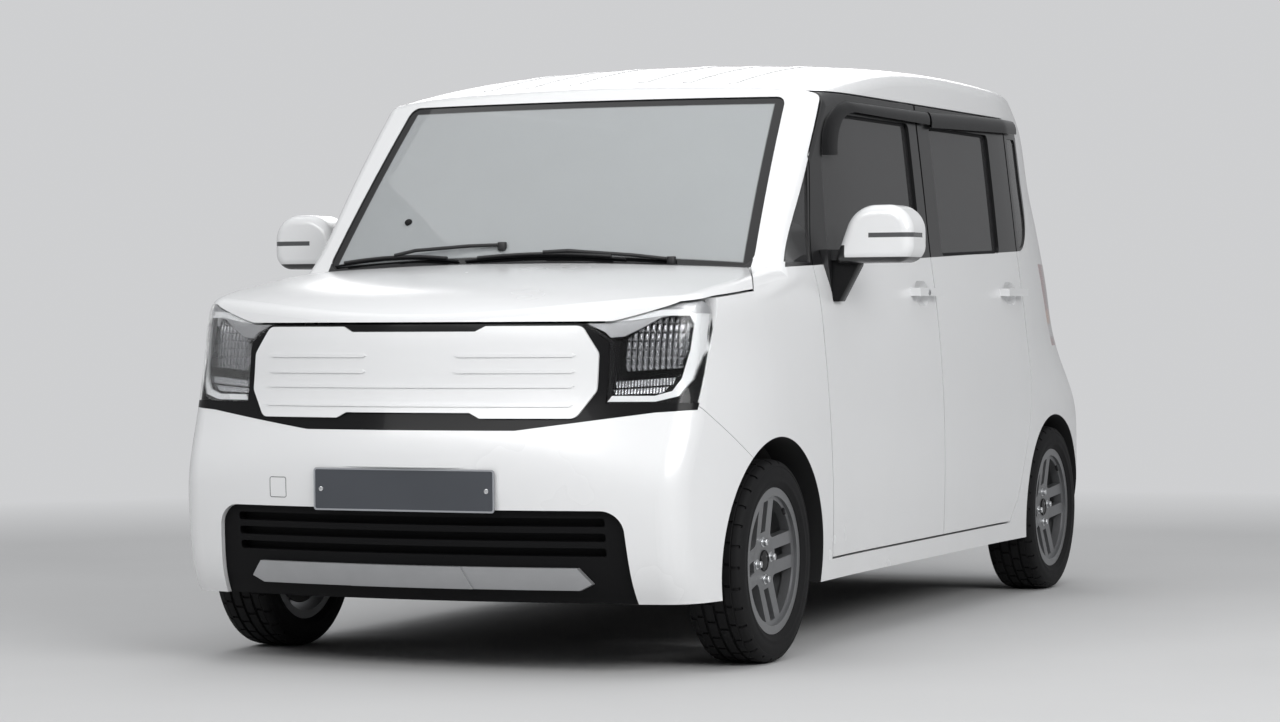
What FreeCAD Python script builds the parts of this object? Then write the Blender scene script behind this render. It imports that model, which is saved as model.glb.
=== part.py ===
import FreeCAD, Part
import math
import os

V = FreeCAD.Vector
os.makedirs("parts", exist_ok=True)

# A tall five-door mini car. +Z is up, the nose points along -Y, the car's left side along +X.
# The origin lies on the ground under the middle of the body.

# Overall sizes
LENGTH = 3595.0
WIDTH = 1595.0
HEIGHT = 1700.0
WHEELBASE = 2520.0
FRONT_OVERHANG = 635.0
TRACK_FRONT = 1406.0
TRACK_REAR = 1420.0
BODY_FLOOR = 190.0
OVERRUN = 300.0
PANEL_GAP = 6.0
SEAM_GAP = 2.0
SEAT_GAP = 0.3

NOSE_Y = -LENGTH / 2
TAIL_Y = LENGTH / 2
FRONT_AXLE_Y = NOSE_Y + FRONT_OVERHANG
REAR_AXLE_Y = FRONT_AXLE_Y + WHEELBASE
FAR_X = WIDTH / 2 + OVERRUN
FAR_Y = LENGTH / 2 + OVERRUN
FAR_Z = HEIGHT + OVERRUN

# Wheels and tyres
TYRE_RADIUS = 270.0
TYRE_WIDTH = 165.0
RIM_RADIUS = 194.0
RIM_WIDTH = 140.0
HUB_Z = TYRE_RADIUS

# Wheel arches
FRONT_ARCH_RADIUS = 328.0
REAR_ARCH_RADIUS = 309.0
FRONT_LINER_X = 440.0
REAR_LINER_X = 520.0
LINER_WALL = 8.0

# Side surface: half widths and how far they draw in
HALF_WAIST = 785.0
WAIST_Z = 500.0
SHOULDER_Z = 1090.0
SHOULDER_TUCK = 43.0
SILL_TUCK = 9.0
GLASS_LEAN = 61.0
GLASS_BOW = 8.0
BARREL = 5.0
FLARE = 14.4
FLARE_RADIUS = 440.0
FLARE_SHARPNESS = 5
FLARE_Z = 300.0
NOSE_PINCH = 103.0
NOSE_PINCH_Y = -1150.0
NOSE_UPPER_PINCH = 157.0
NOSE_UPPER_Y = -300.0
NOSE_UPPER_LOW_Z = 950.0
NOSE_UPPER_HIGH_Z = 1150.0
TAIL_PINCH = 27.0
TAIL_PINCH_Y = 1450.0
TAIL_TAPER = 180.0
TAIL_TAPER_Y = 1000.0
# Height share of HEIGHT, then share of TAIL_TAPER
TAIL_TAPER_SHARES = [(0.353, 0.0), (0.427, 0.25), (0.475, 0.46), (0.664, 0.57), (0.786, 0.77),
                     (0.867, 0.81), (0.923, 1.0)]

# Front surface: height share of HEIGHT, then setback share of NOSE_DEPTH
NOSE_DEPTH = 160.0
NOSE_SHARES = [(0.088, 0.61), (0.129, 0.31), (0.188, 0.14), (0.259, 0.034), (0.318, 0.0), (0.376, 0.11),
               (0.412, 0.247), (0.471, 0.322), (0.532, 0.434), (0.588, 0.672), (0.647, 0.984)]
FRONT_BOW = 200.0
FRONT_BOW_SHARES = [(0.059, 0.67), (0.265, 0.70), (0.382, 0.955), (0.647, 1.02)]

# Rear surface: height share of HEIGHT, then setback share of TAIL_DEPTH
TAIL_DEPTH = 182.0
TAIL_SHARES = [(0.088, 0.415), (0.129, 0.18), (0.188, 0.041), (0.265, 0.0), (0.353, 0.014), (0.412, 0.107),
               (0.447, 0.195), (0.635, 0.288), (0.765, 0.453), (0.882, 0.645), (0.971, 0.81), (1.06, 1.0)]
TAIL_BOW = 108.0

# Hood surface: length share of half LENGTH, then height share of HOOD_RISE above HOOD_FRONT_Z
HOOD_FRONT_Z = 905.0
HOOD_RISE = 195.0
HOOD_SHARES = [(-1.001, -0.18), (-0.961, 0.0), (-0.918, 0.272), (-0.834, 0.508), (-0.723, 0.692),
               (-0.612, 0.826), (-0.501, 0.923), (-0.389, 1.0)]
HOOD_CROWN = 40.0
HOOD_CORNER_LIFT = 22.0

# Roof surface: length share of half LENGTH, then drop share of ROOF_DROP below ROOF_TOP_Z
ROOF_TOP_Z = 1695.0
ROOF_DROP = 222.0
ROOF_SHARES = [(-0.556, 1.0), (-0.445, 0.75), (-0.348, 0.57), (-0.223, 0.375), (-0.056, 0.162),
               (0.139, 0.04), (0.334, 0.004), (0.556, 0.03), (0.779, 0.094), (0.946, 0.17), (1.057, 0.238)]
ROOF_CROWN = 52.0
ROOF_EDGE_DROOP = 40.0
ROOF_EDGE_SHARE = 0.72

# Windscreen surface
SCREEN_BASE_Y = -1088.0
SCREEN_BASE_Z = 1050.0
SCREEN_TOP_Y = -635.5
SCREEN_TOP_Z = 1550.0
SCREEN_BOW = 134.0
SCREEN_SAG = 12.0

# Edge rounding
FRONT_CORNER_RADIUS = 100.0
REAR_CORNER_RADIUS = 70.0
EDGE_RADIUS = 45.0

# Walls
DOOR_INNER_X = 690.0
DOORWAY_IN_X = 625.0
UPPER_WALL = 45.0
ROOF_WALL = 40.0
SCREEN_WALL = 45.0
TAIL_WALL = 65.0
NOSE_WALL = 60.0
HOOD_WALL = 28.0
FLOOR_Z = 250.0
LEDGE_Z = 1048.0
FIREWALL_Y = -905.0
FIREWALL_WALL = 30.0
BAY_FRONT_Y = -1600.0
APERTURE_WALL = 45.0
CABIN_X = DOOR_INNER_X - APERTURE_WALL

# Door and window stations along the side
DOOR_BOTTOM_Z = 252.0
DOOR_LEAD_LOW_Y = -746.0
DOOR_LEAD_MID_Y = -757.0
DOOR_LEAD_MID_Z = 650.0
DOOR_LEAD_TOP_Y = -760.0
BELT_FRONT_Z = 1063.0
PILLAR_MEET_Y = -690.0
PILLAR_MEET_Z = 1362.0
DOOR_TOP_FRONT_Y = -520.0
DOOR_TOP_Z = 1548.0
DOOR_SPLIT_Y = 235.0
DOOR_TAIL_Y = 1130.0
ARCH_WRAP_TOP_Z = 700.0
# Door edge round the rear wheel arch: share of half LENGTH, then share of HEIGHT
ARCH_WRAP_SHARES = [(0.6031, 0.3294), (0.5636, 0.2471), (0.5313, 0.1882)]
ARCH_WRAP_END_Y = 885.0
DOOR_EDGE_LEAN = 0.08

# Window glass
GLASS = 4.0
GLASS_RECESS = 12.0
FIXED_GLASS_RECESS = 5.0
WINDOW_CORNER = 22.0
WINDOW_TOP_Z = 1490.0


def hermite_curve(points):
    """Return a smooth function through (place, value) points, straight beyond the ends."""
    places = [p for p, _ in points]
    values = [v for _, v in points]
    last = len(points) - 1
    slopes = []
    for i in range(last + 1):
        low, high = max(i - 1, 0), min(i + 1, last)
        slopes.append((values[high] - values[low]) / (places[high] - places[low]))

    def value_at(t):
        if t <= places[0]:
            return values[0] + slopes[0] * (t - places[0])
        if t >= places[last]:
            return values[last] + slopes[last] * (t - places[last])
        i = max(k for k in range(last) if places[k] <= t)
        step = places[i + 1] - places[i]
        s = (t - places[i]) / step
        start = (2 * s ** 3 - 3 * s ** 2 + 1) * values[i] + (s ** 3 - 2 * s ** 2 + s) * step * slopes[i]
        end = (3 * s ** 2 - 2 * s ** 3) * values[i + 1] + (s ** 3 - s ** 2) * step * slopes[i + 1]
        return start + end

    return value_at


def ease(value, low, high):
    """Rise smoothly from 0 at low to 1 at high."""
    s = max(0.0, min(1.0, (value - low) / (high - low)))
    return s * s * (3 - 2 * s)


def past(value, start, end):
    """Squared share of the way from start to end, zero before start."""
    s = max(0.0, (value - start) / (end - start))
    return s * s


tail_taper = hermite_curve([(z * HEIGHT, t * TAIL_TAPER) for z, t in TAIL_TAPER_SHARES])
nose_line = hermite_curve([(z * HEIGHT, NOSE_Y + t * NOSE_DEPTH) for z, t in NOSE_SHARES])
front_bow = hermite_curve([(z * HEIGHT, t * FRONT_BOW) for z, t in FRONT_BOW_SHARES])
tail_line = hermite_curve([(z * HEIGHT, TAIL_Y - t * TAIL_DEPTH) for z, t in TAIL_SHARES])
hood_line = hermite_curve([(y * LENGTH / 2, HOOD_FRONT_Z + t * HOOD_RISE) for y, t in HOOD_SHARES])
roof_line = hermite_curve([(y * LENGTH / 2, ROOF_TOP_Z - t * ROOF_DROP) for y, t in ROOF_SHARES])


def flare(y, z, arch_y):
    return FLARE / (1 + (math.hypot(y - arch_y, z - FLARE_Z) / FLARE_RADIUS) ** FLARE_SHARPNESS)


def side_x(y, z):
    """Half width of the body at a station and a height."""
    if z < WAIST_Z:
        x = HALF_WAIST - SILL_TUCK * past(z, WAIST_Z, BODY_FLOOR)
    elif z < SHOULDER_Z:
        x = HALF_WAIST - SHOULDER_TUCK * past(z, WAIST_Z, SHOULDER_Z)
    else:
        rise = (z - SHOULDER_Z) / (HEIGHT - SHOULDER_Z)
        x = HALF_WAIST - SHOULDER_TUCK - GLASS_LEAN * rise - GLASS_BOW * rise * rise
    x -= BARREL * (2 * y / LENGTH) ** 2
    x -= NOSE_PINCH * past(y, NOSE_PINCH_Y, NOSE_Y)
    x -= TAIL_PINCH * past(y, TAIL_PINCH_Y, TAIL_Y)
    x -= NOSE_UPPER_PINCH * past(y, NOSE_UPPER_Y, NOSE_Y) * ease(z, NOSE_UPPER_LOW_Z, NOSE_UPPER_HIGH_Z)
    x -= max(0.0, tail_taper(z)) * past(y, TAIL_TAPER_Y, TAIL_Y)
    return x + flare(y, z, FRONT_AXLE_Y) + flare(y, z, REAR_AXLE_Y)


def front_y(x, z):
    return nose_line(z) + front_bow(z) * (2 * x / WIDTH) ** 2


def rear_y(x, z):
    return tail_line(z) - TAIL_BOW * (2 * x / WIDTH) ** 2


def hood_z(x, y):
    across = (2 * x / WIDTH) ** 2
    forward = ease(-y, -NOSE_PINCH_Y, -NOSE_Y)
    return hood_line(y) - HOOD_CROWN * across + HOOD_CORNER_LIFT * across * across * forward


def roof_z(x, y):
    share = abs(2 * x / WIDTH)
    droop = past(share, ROOF_EDGE_SHARE, 1)
    return roof_line(y) - ROOF_CROWN * share * share - ROOF_EDGE_DROOP * droop


def screen_y(x, z):
    rise = (z - SCREEN_BASE_Z) / (SCREEN_TOP_Z - SCREEN_BASE_Z)
    line = SCREEN_BASE_Y + (SCREEN_TOP_Y - SCREEN_BASE_Y) * rise
    return line + SCREEN_BOW * (2 * x / WIDTH) ** 2 - 4 * SCREEN_SAG * rise * (1 - rise)


def steps(start, end, count):
    return [start + (end - start) * i / (count - 1) for i in range(count)]


def surface(rows):
    patch = Part.BSplineSurface()
    patch.interpolate(rows)
    return patch.toShape()


def box(x0, x1, y0, y1, z0, z1):
    """A block between two corners, given in any order."""
    low = V(min(x0, x1), min(y0, y1), min(z0, z1))
    return Part.makeBox(abs(x1 - x0), abs(y1 - y0), abs(z1 - z0), low)


def outline_wire(points, place):
    """Closed wire through (a, b) or (a, b, corner radius) points, put in space by place."""
    corners = []
    count = len(points)
    for i, point in enumerate(points):
        here = V(point[0], point[1], 0)
        radius = point[2] if len(point) > 2 else 0
        if radius == 0:
            corners.append((here, None, here))
            continue
        before, after = points[i - 1], points[(i + 1) % count]
        to_before = V(before[0], before[1], 0).sub(here).normalize()
        to_after = V(after[0], after[1], 0).sub(here).normalize()
        half_turn = to_before.getAngle(to_after) / 2
        reach = radius / math.tan(half_turn)
        bisector = to_before.add(to_after).normalize()
        middle = here + bisector * (radius / math.sin(half_turn) - radius)
        corners.append((here + to_before * reach, middle, here + to_after * reach))
    edges = []
    for i, (start, middle, end) in enumerate(corners):
        if middle is not None:
            edges.append(Part.Arc(place(start), place(middle), place(end)).toShape())
        follow = corners[(i + 1) % count][0]
        if end.distanceToPoint(follow) > 0:
            edges.append(Part.LineSegment(place(end), place(follow)).toShape())
    return Part.Wire(edges)


def side_prism(points, x0, x1):
    """Solid over a (y, z) outline between two x planes."""
    wire = outline_wire(points, lambda p: V(x0, p.x, p.y))
    return Part.Face(wire).extrude(V(x1 - x0, 0, 0))


def front_prism(points, y0, y1):
    """Solid over an (x, z) outline between two y planes."""
    wire = outline_wire(points, lambda p: V(p.x, y0, p.y))
    return Part.Face(wire).extrude(V(0, y1 - y0, 0))


def plan_prism(points, z0, z1):
    """Solid over an (x, y) outline between two heights."""
    wire = outline_wire(points, lambda p: V(p.x, p.y, z0))
    return Part.Face(wire).extrude(V(0, 0, z1 - z0))


def mirrored(shape):
    return shape.mirror(V(0, 0, 0), V(1, 0, 0))


def moved(shape, dx, dy, dz):
    copy = shape.copy()
    copy.translate(V(dx, dy, dz))
    return copy


def rod(start, end, radius):
    """Round bar between two points."""
    along = end.sub(start)
    return Part.makeCylinder(radius, along.Length, start, along)


def tube(start, end, radius, bore):
    return rod(start, end, radius).cut(rod(start, end, bore))


def joined(shapes):
    whole = shapes[0]
    if len(shapes) > 1:
        whole = whole.multiFuse(shapes[1:])
    return whole.removeSplitter()


def apart(shapes):
    """Several solids of one node that do not touch."""
    return Part.makeCompound([s for shape in shapes for s in shape.Solids])


def largest(shape):
    """The main solid of a cut, without the slivers that fall off at its rim."""
    return max(shape.Solids, key=lambda solid: solid.Volume)


def both_sides(shape):
    return apart([shape, mirrored(shape)])


NODES = {}


def keep(name, shape):
    NODES[name] = shape
    shape.exportStep("parts/" + name + ".step")

# Filled volumes behind each outer surface

SIDE_ROWS = [[V(side_x(y, z), y, z) for z in steps(0, HEIGHT + SILL_TUCK, 15)]
             for y in steps(-FAR_Y, FAR_Y, 23)]
LEFT_VOLUME = surface(SIDE_ROWS).extrude(V(-3 * FAR_X, 0, 0))
RIGHT_VOLUME = mirrored(LEFT_VOLUME)
FRONT_ROWS = [[V(x, front_y(x, z), z) for z in steps(0, SHOULDER_Z + NOSE_DEPTH, 16)]
              for x in steps(-FAR_X, FAR_X, 9)]
FRONT_VOLUME = surface(FRONT_ROWS).extrude(V(0, 2 * FAR_Y, 0))
REAR_ROWS = [[V(x, rear_y(x, z), z) for z in steps(0, FAR_Z, 16)] for x in steps(-FAR_X, FAR_X, 7)]
REAR_VOLUME = surface(REAR_ROWS).extrude(V(0, -2 * FAR_Y, 0))
HOOD_ROWS = [[V(x, y, hood_z(x, y)) for y in steps(-FAR_Y, NOSE_UPPER_Y, 13)]
             for x in steps(-FAR_X, FAR_X, 9)]
HOOD_VOLUME = surface(HOOD_ROWS).extrude(V(0, 0, -2 * FAR_Z))
ROOF_COLUMNS = [s * FAR_X for s in (-1, -0.75, -0.62, -0.52, -0.3, 0, 0.3, 0.52, 0.62, 0.75, 1)]
ROOF_ROWS = [[V(x, y, roof_z(x, y)) for y in steps(-FAR_Y, FAR_Y, 15)] for x in ROOF_COLUMNS]
ROOF_VOLUME = surface(ROOF_ROWS).extrude(V(0, 0, -2 * FAR_Z))
SCREEN_ROWS = [[V(x, screen_y(x, z), z) for z in steps(0, HEIGHT, 8)] for x in steps(-FAR_X, FAR_X, 8)]
SCREEN_VOLUME = surface(SCREEN_ROWS).extrude(V(0, 2 * FAR_Y, 0))


# Outer body: a nose under the hood surface and a cabin behind the windscreen surface
SIDES = LEFT_VOLUME.common(RIGHT_VOLUME)
ABOVE_FLOOR = box(-FAR_X, FAR_X, -FAR_Y, FAR_Y, BODY_FLOOR, FAR_Z)
NOSE_HALF = box(-FAR_X, FAR_X, -FAR_Y, FIREWALL_Y, 0, FAR_Z)
CABIN_HALF = box(-FAR_X, FAR_X, SCREEN_BASE_Y - NOSE_WALL, FAR_Y, 0, FAR_Z)


def outer_body():
    nose = SIDES.common(FRONT_VOLUME).common(HOOD_VOLUME).common(ABOVE_FLOOR.common(NOSE_HALF))
    cabin = SIDES.common(SCREEN_VOLUME).common(ROOF_VOLUME).common(REAR_VOLUME)
    cabin = cabin.common(ABOVE_FLOOR.common(CABIN_HALF))
    return nose.fuse(cabin).removeSplitter()


def edges_near(shape, places):
    """Edges whose middle lies nearest to each place."""
    found = []
    for place in places:
        def distance(edge):
            return edge.valueAt((edge.FirstParameter + edge.LastParameter) / 2).distanceToPoint(place)
        found.append(min(shape.Edges, key=distance))
    return found


def on_both(places):
    return places + [V(-p.x, p.y, p.z) for p in places if p.x > 0]


def rounded_body():
    """Outer body with its corners, roof edges, pillars and hood edges rounded."""
    low_z, high_z = WAIST_Z, LEDGE_Z - NOSE_DEPTH
    body = outer_body()
    front = on_both([V(side_x(NOSE_PINCH_Y, low_z) - EDGE_RADIUS, front_y(DOOR_INNER_X, low_z), low_z)])
    body = body.makeFillet(FRONT_CORNER_RADIUS, edges_near(body, front))
    rear = on_both([V(DOOR_INNER_X, rear_y(DOOR_INNER_X, high_z), high_z)])
    body = body.makeFillet(REAR_CORNER_RADIUS, edges_near(body, rear))
    hood_side_y = NOSE_PINCH_Y - FRONT_CORNER_RADIUS
    pillar_z = (SCREEN_BASE_Z + SCREEN_TOP_Z) / 2 - EDGE_RADIUS
    places = [V(0, front_y(0, hood_line(NOSE_Y)), hood_line(NOSE_Y)),
              V(0, rear_y(0, HEIGHT - ROOF_CROWN), HEIGHT - ROOF_CROWN),
              V(0, SCREEN_TOP_Y, SCREEN_TOP_Z)]
    places += on_both([V(side_x(hood_side_y, LEDGE_Z), hood_side_y, LEDGE_Z - HOOD_CROWN),
                       V(side_x(FIREWALL_Y, pillar_z), screen_y(DOOR_INNER_X, pillar_z), pillar_z),
                       V(DOOR_INNER_X, LENGTH / 8, HEIGHT - ROOF_CROWN)])
    return body.makeFillet(EDGE_RADIUS, edges_near(body, places))


BODY = rounded_body()


# Hollows inside the body

LOAD_BACK_Y = 1665.0
QUARTER_Y = 1250.0
QUARTER_INNER_X = 600.0


def cabin_ring(z):
    """Plan of the space inside the upper walls at one height."""
    front = screen_y(QUARTER_INNER_X, z) + SCREEN_WALL
    rear = rear_y(QUARTER_INNER_X, z) - TAIL_WALL
    half = [(side_x(y, z) - UPPER_WALL, y) for y in (front, DOOR_TOP_FRONT_Y, TAIL_TAPER_Y, rear)]
    other = [(-x, y) for x, y in reversed(half)]
    return outline_wire(half + other, lambda p: V(p.x, p.y, z))


def upper_space():
    space = Part.makeLoft([cabin_ring(LEDGE_Z), cabin_ring(HEIGHT)], True, True)
    stations = (-TAIL_TAPER_Y, DOOR_TOP_FRONT_Y, 0, TAIL_TAPER_Y, FAR_Y)
    top = [(y, roof_line(y) - ROOF_WALL) for y in stations]
    return space.common(side_prism(top + [(FAR_Y, 0), (-TAIL_TAPER_Y, 0)], -FAR_X, FAR_X))


def arch_cylinder(y, radius, inner_x, grow=0.0):
    """Space of one left wheel arch, or of its liner when grown by the liner's wall."""
    return Part.makeCylinder(radius + grow, FAR_X, V(inner_x - grow, y, HUB_Z), V(1, 0, 0))


UPPER_SPACE = upper_space()
FRONT_ARCH = arch_cylinder(FRONT_AXLE_Y, FRONT_ARCH_RADIUS, FRONT_LINER_X)
REAR_ARCH = arch_cylinder(REAR_AXLE_Y, REAR_ARCH_RADIUS, REAR_LINER_X)
FRONT_LINER = arch_cylinder(FRONT_AXLE_Y, FRONT_ARCH_RADIUS, FRONT_LINER_X, LINER_WALL)
REAR_LINER = arch_cylinder(REAR_AXLE_Y, REAR_ARCH_RADIUS, REAR_LINER_X, LINER_WALL)
ALL_ARCHES = [FRONT_ARCH, REAR_ARCH, mirrored(FRONT_ARCH), mirrored(REAR_ARCH)]
ALL_LINERS = [FRONT_LINER, REAR_LINER, mirrored(FRONT_LINER), mirrored(REAR_LINER)]

# Engine bay, open below
BAY_CORNER_Y = -1480.0
BAY_FRONT_Y = -1640.0
BAY_FRONT_X = 420.0


def bay_plan(half_width):
    half = [(half_width, FIREWALL_Y - FIREWALL_WALL), (half_width, BAY_CORNER_Y), (BAY_FRONT_X, BAY_FRONT_Y)]
    return plan_prism(half + [(-x, y) for x, y in reversed(half)], 0, FAR_Z)


HOOD_INNER_ROWS = [[V(x, y, hood_z(x, y) - HOOD_WALL) for y in steps(NOSE_Y, FIREWALL_Y, 6)]
                   for x in steps(-HALF_WAIST, HALF_WAIST, 5)]
UNDER_HOOD = surface(HOOD_INNER_ROWS).extrude(V(0, 0, -HEIGHT))
HOOD_SPACE = UNDER_HOOD.common(bay_plan(DOOR_INNER_X + UPPER_WALL / 2))
BAY_SPACE = UNDER_HOOD.common(bay_plan(DOOR_INNER_X)).cut(ALL_LINERS)

# Hood: shut line seen from the side, then its rear edge seen from above
HOOD_REAR_Y = -1118.0
HOOD_MIDDLE_X = 420.0
HOOD_MIDDLE_Y = -1084.0
HOOD_CORNER_X = 648.0
HOOD_CORNER_Y = -1022.0
HOOD_TAIL_X = 748.0
HOOD_TAIL_Y = -1237.0
HOOD_TAIL_Z = 989.0
HOOD_SIDE_Y = -1455.0
HOOD_SIDE_Z = 972.0
HOOD_LAMP_Y = -1560.0
HOOD_LAMP_Z = 958.0
HOOD_NOSE_Y = -1640.0
HOOD_LIP_Z = 908.0


def hood_region(gap):
    """Everything above the hood's shut line, wider all round by gap."""
    line = [(0, HOOD_TAIL_Z - gap), (HOOD_TAIL_Y, HOOD_TAIL_Z - gap), (HOOD_SIDE_Y, HOOD_SIDE_Z - gap),
            (HOOD_LAMP_Y, HOOD_LAMP_Z - gap), (HOOD_NOSE_Y, HOOD_LIP_Z - gap), (-FAR_Y, HOOD_LIP_Z - gap)]
    side = side_prism(line + [(-FAR_Y, FAR_Z), (0, FAR_Z)], -FAR_X, FAR_X)
    half = [(HOOD_MIDDLE_X, HOOD_MIDDLE_Y + gap), (HOOD_CORNER_X + gap, HOOD_CORNER_Y + gap),
            (HOOD_TAIL_X, HOOD_TAIL_Y + gap), (FAR_X, HOOD_TAIL_Y + gap), (FAR_X, -FAR_Y)]
    other = [(-x, y) for x, y in reversed(half)]
    return side.common(plan_prism(other + [(0, HOOD_REAR_Y + gap)] + half, 0, FAR_Z))


HOOD_CLEARANCE = hood_region(PANEL_GAP)
keep("hood", BODY.common(hood_region(0)).cut(HOOD_SPACE))

# Front lamps, dark surround and closed grille panel, seen from ahead
MASK_LOW_Z = 631.0
MASK_INNER_X = 300.0
MASK_CORNER_X = 640.0
MASK_CORNER_Z = 676.0
MASK_SIDE_Z = 705.0
MASK_REAR_LOW_Y = -1575.0
MASK_REAR_LOW_Z = 690.0
MASK_REAR_HIGH_Y = -1478.0
LAMP_INNER_X = 520.0
LAMP_TIP_X = 442.0
LAMP_LOW_Z = 700.0
LAMP_KNEE_Z = 855.0
LENS_WALL = 5.0
BUCKET_WALL = 8.0
GRILLE_LOW_Z = 662.0
GRILLE_TOP_Z = 897.0
GRILLE_HALF = 498.0
GRILLE_TOP_HALF = 452.0
GRILLE_CHAMFER = 70.0
NOTCH_HALF = 178.0
NOTCH_DEPTH = 14.0
GRILLE_CORNER = 26.0
GRILLE_PROUD = 7.0
RIB_HEIGHT = 9.0
RIB_PROUD = 3.0
RIB_OUT_X = 443.0
RIB_GAP_X = 128.0
# Height share of HEIGHT of each rib, and where it starts from the middle
RIB_SHARES = [(0.4094, 0.0), (0.4376, 0.0), (0.4594, RIB_GAP_X), (0.4835, RIB_GAP_X)]
NOSE_BACK_Y = FRONT_AXLE_Y - FRONT_ARCH_RADIUS


def mask_rear_edge(inset):
    """Rear edge of the lamps seen from the side, drawn forward by inset."""
    lean = (MASK_REAR_HIGH_Y - MASK_REAR_LOW_Y) / (HOOD_LIP_Z - MASK_REAR_LOW_Z)
    low = MASK_REAR_LOW_Y - lean * MASK_REAR_LOW_Z - inset
    high = MASK_REAR_LOW_Y + lean * (FAR_Z - MASK_REAR_LOW_Z) - inset
    return side_prism([(-FAR_Y, 0), (low, 0), (high, FAR_Z), (-FAR_Y, FAR_Z)], -FAR_X, FAR_X)


def mask_band(inset):
    """Front view of the band across the nose, its lower edge raised by inset."""
    half = [(MASK_INNER_X, MASK_LOW_Z + inset), (MASK_CORNER_X, MASK_CORNER_Z + inset),
            (FAR_X, MASK_SIDE_Z + inset), (FAR_X, HOOD_LIP_Z + OVERRUN)]
    other = [(-x, z) for x, z in reversed(half)]
    return front_prism(other + half, -FAR_Y, NOSE_BACK_Y)


def lamp_front(inset):
    """Left headlamp seen from ahead, drawn in by inset."""
    points = [(LAMP_TIP_X + inset, FAR_Z), (LAMP_TIP_X + inset, HOOD_LIP_Z),
              (LAMP_INNER_X + inset, LAMP_KNEE_Z), (LAMP_INNER_X + inset, LAMP_LOW_Z + inset),
              (FAR_X, LAMP_LOW_Z + inset), (FAR_X, FAR_Z)]
    return front_prism(points, -FAR_Y, NOSE_BACK_Y)


MASK = BODY.common(mask_band(0).common(mask_rear_edge(0))).cut(HOOD_CLEARANCE)
LAMP = MASK.common(lamp_front(0))
LAMP_INSIDE = moved(LAMP, -LENS_WALL, LENS_WALL, 0).common(LAMP)
LENS = LAMP.cut(LAMP_INSIDE)
LAMP_HOLE = moved(LAMP_INSIDE, 0, 0, -BUCKET_WALL).common(lamp_front(BUCKET_WALL).common(mask_rear_edge(BUCKET_WALL)))
BUCKET = LAMP_INSIDE.cut(LAMP_HOLE)
keep("headlamps", both_sides(BUCKET))
keep("headlamp_lenses", both_sides(LENS))
LAMP_PAIR = [lamp_front(0), mirrored(lamp_front(0))]
SURROUND = largest(MASK.cut(LAMP_PAIR + [BAY_SPACE]))
keep("grille_surround", SURROUND)


def grille_outline():
    """Closed grille panel seen from ahead: cut corners and a shallow notch above and below."""
    top = GRILLE_TOP_Z - NOTCH_DEPTH
    low = GRILLE_LOW_Z + NOTCH_DEPTH
    half = [(NOTCH_HALF, low), (NOTCH_HALF + 2 * NOTCH_DEPTH, GRILLE_LOW_Z),
            (GRILLE_TOP_HALF, GRILLE_LOW_Z, GRILLE_CORNER), (GRILLE_HALF, GRILLE_LOW_Z + GRILLE_CHAMFER, GRILLE_CORNER),
            (GRILLE_HALF, GRILLE_TOP_Z - GRILLE_CHAMFER, GRILLE_CORNER), (GRILLE_TOP_HALF, GRILLE_TOP_Z, GRILLE_CORNER),
            (NOTCH_HALF + 2 * NOTCH_DEPTH, GRILLE_TOP_Z), (NOTCH_HALF, top)]
    other = [(-p[0],) + p[1:] for p in reversed(half)]
    return half + other


GRILLE_BLOCK = SURROUND.common(front_prism(grille_outline(), -FAR_Y, NOSE_BACK_Y))


def grille_rib(share, start):
    """Slats of one height, tapered to their ends, either across or left and right of the middle."""
    z = share * HEIGHT
    points = [(RIB_OUT_X, z), (RIB_OUT_X - RIB_HEIGHT, z + RIB_HEIGHT / 2)]
    back = [(RIB_OUT_X - RIB_HEIGHT, z - RIB_HEIGHT / 2)]
    if start == 0:
        outline = points + [(-x, v) for x, v in reversed(points)] + [(-x, v) for x, v in back] + back
        return front_prism(outline, -FAR_Y, NOSE_BACK_Y)
    inner = [(start + RIB_HEIGHT, z + RIB_HEIGHT / 2), (start, z), (start + RIB_HEIGHT, z - RIB_HEIGHT / 2)]
    one = front_prism(points + inner + back, -FAR_Y, NOSE_BACK_Y)
    return one.fuse(mirrored(one))


GRILLE_FACE = moved(GRILLE_BLOCK, 0, -GRILLE_PROUD, 0)
RIB_LAYER = moved(GRILLE_FACE, 0, -RIB_PROUD, 0).cut(GRILLE_FACE)
RIBS = [RIB_LAYER.common(grille_rib(share, start)) for share, start in RIB_SHARES]
keep("grille_panel", GRILLE_FACE.cut(GRILLE_BLOCK).multiFuse(RIBS).removeSplitter())

# Front bumper with its intake and skid plate
SEAM_MID_Y = -1448.0
SEAM_MID_Z = 616.0
SEAM_ARCH_Y = -1332.0
SEAM_ARCH_Z = 547.0
INTAKE_TOP_Z = 430.0
INTAKE_TOP_HALF = 580.0
INTAKE_LOW_HALF = 613.0
INTAKE_CORNER = 60.0
INTAKE_RECESS = 18.0
SKID_TOP_Z = 283.0
SKID_LOW_Z = 225.0
SKID_HALF = 492.0
SKID_CHAMFER = 34.0
SKID_STEP = 5.0
SKID_FACET_HALF = 150.0
SKID_FACET_SLANT = 26.0
SLOT_COUNT = 3
SLOT_HEIGHT = 22.0
SLOT_PITCH = 38.0
SLOT_LOW_Z = 312.0
SLOT_HALF = 530.0
SLOT_DEPTH = 30.0
PLATE_Z = 478.0
PLATE_HOLE_X = 238.0
PLATE_HOLE_RADIUS = 3.5
PLATE_HOLE_DEPTH = 30.0
PLATE_HALF = 260.0
PLATE_HALF_HEIGHT = 55.0
PLATE_MARGIN = 4.0
PLATE_SEAT_Y = -1789.0
PLATE_PAD = 45.0
PLATE_INSET = 12.0


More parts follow.
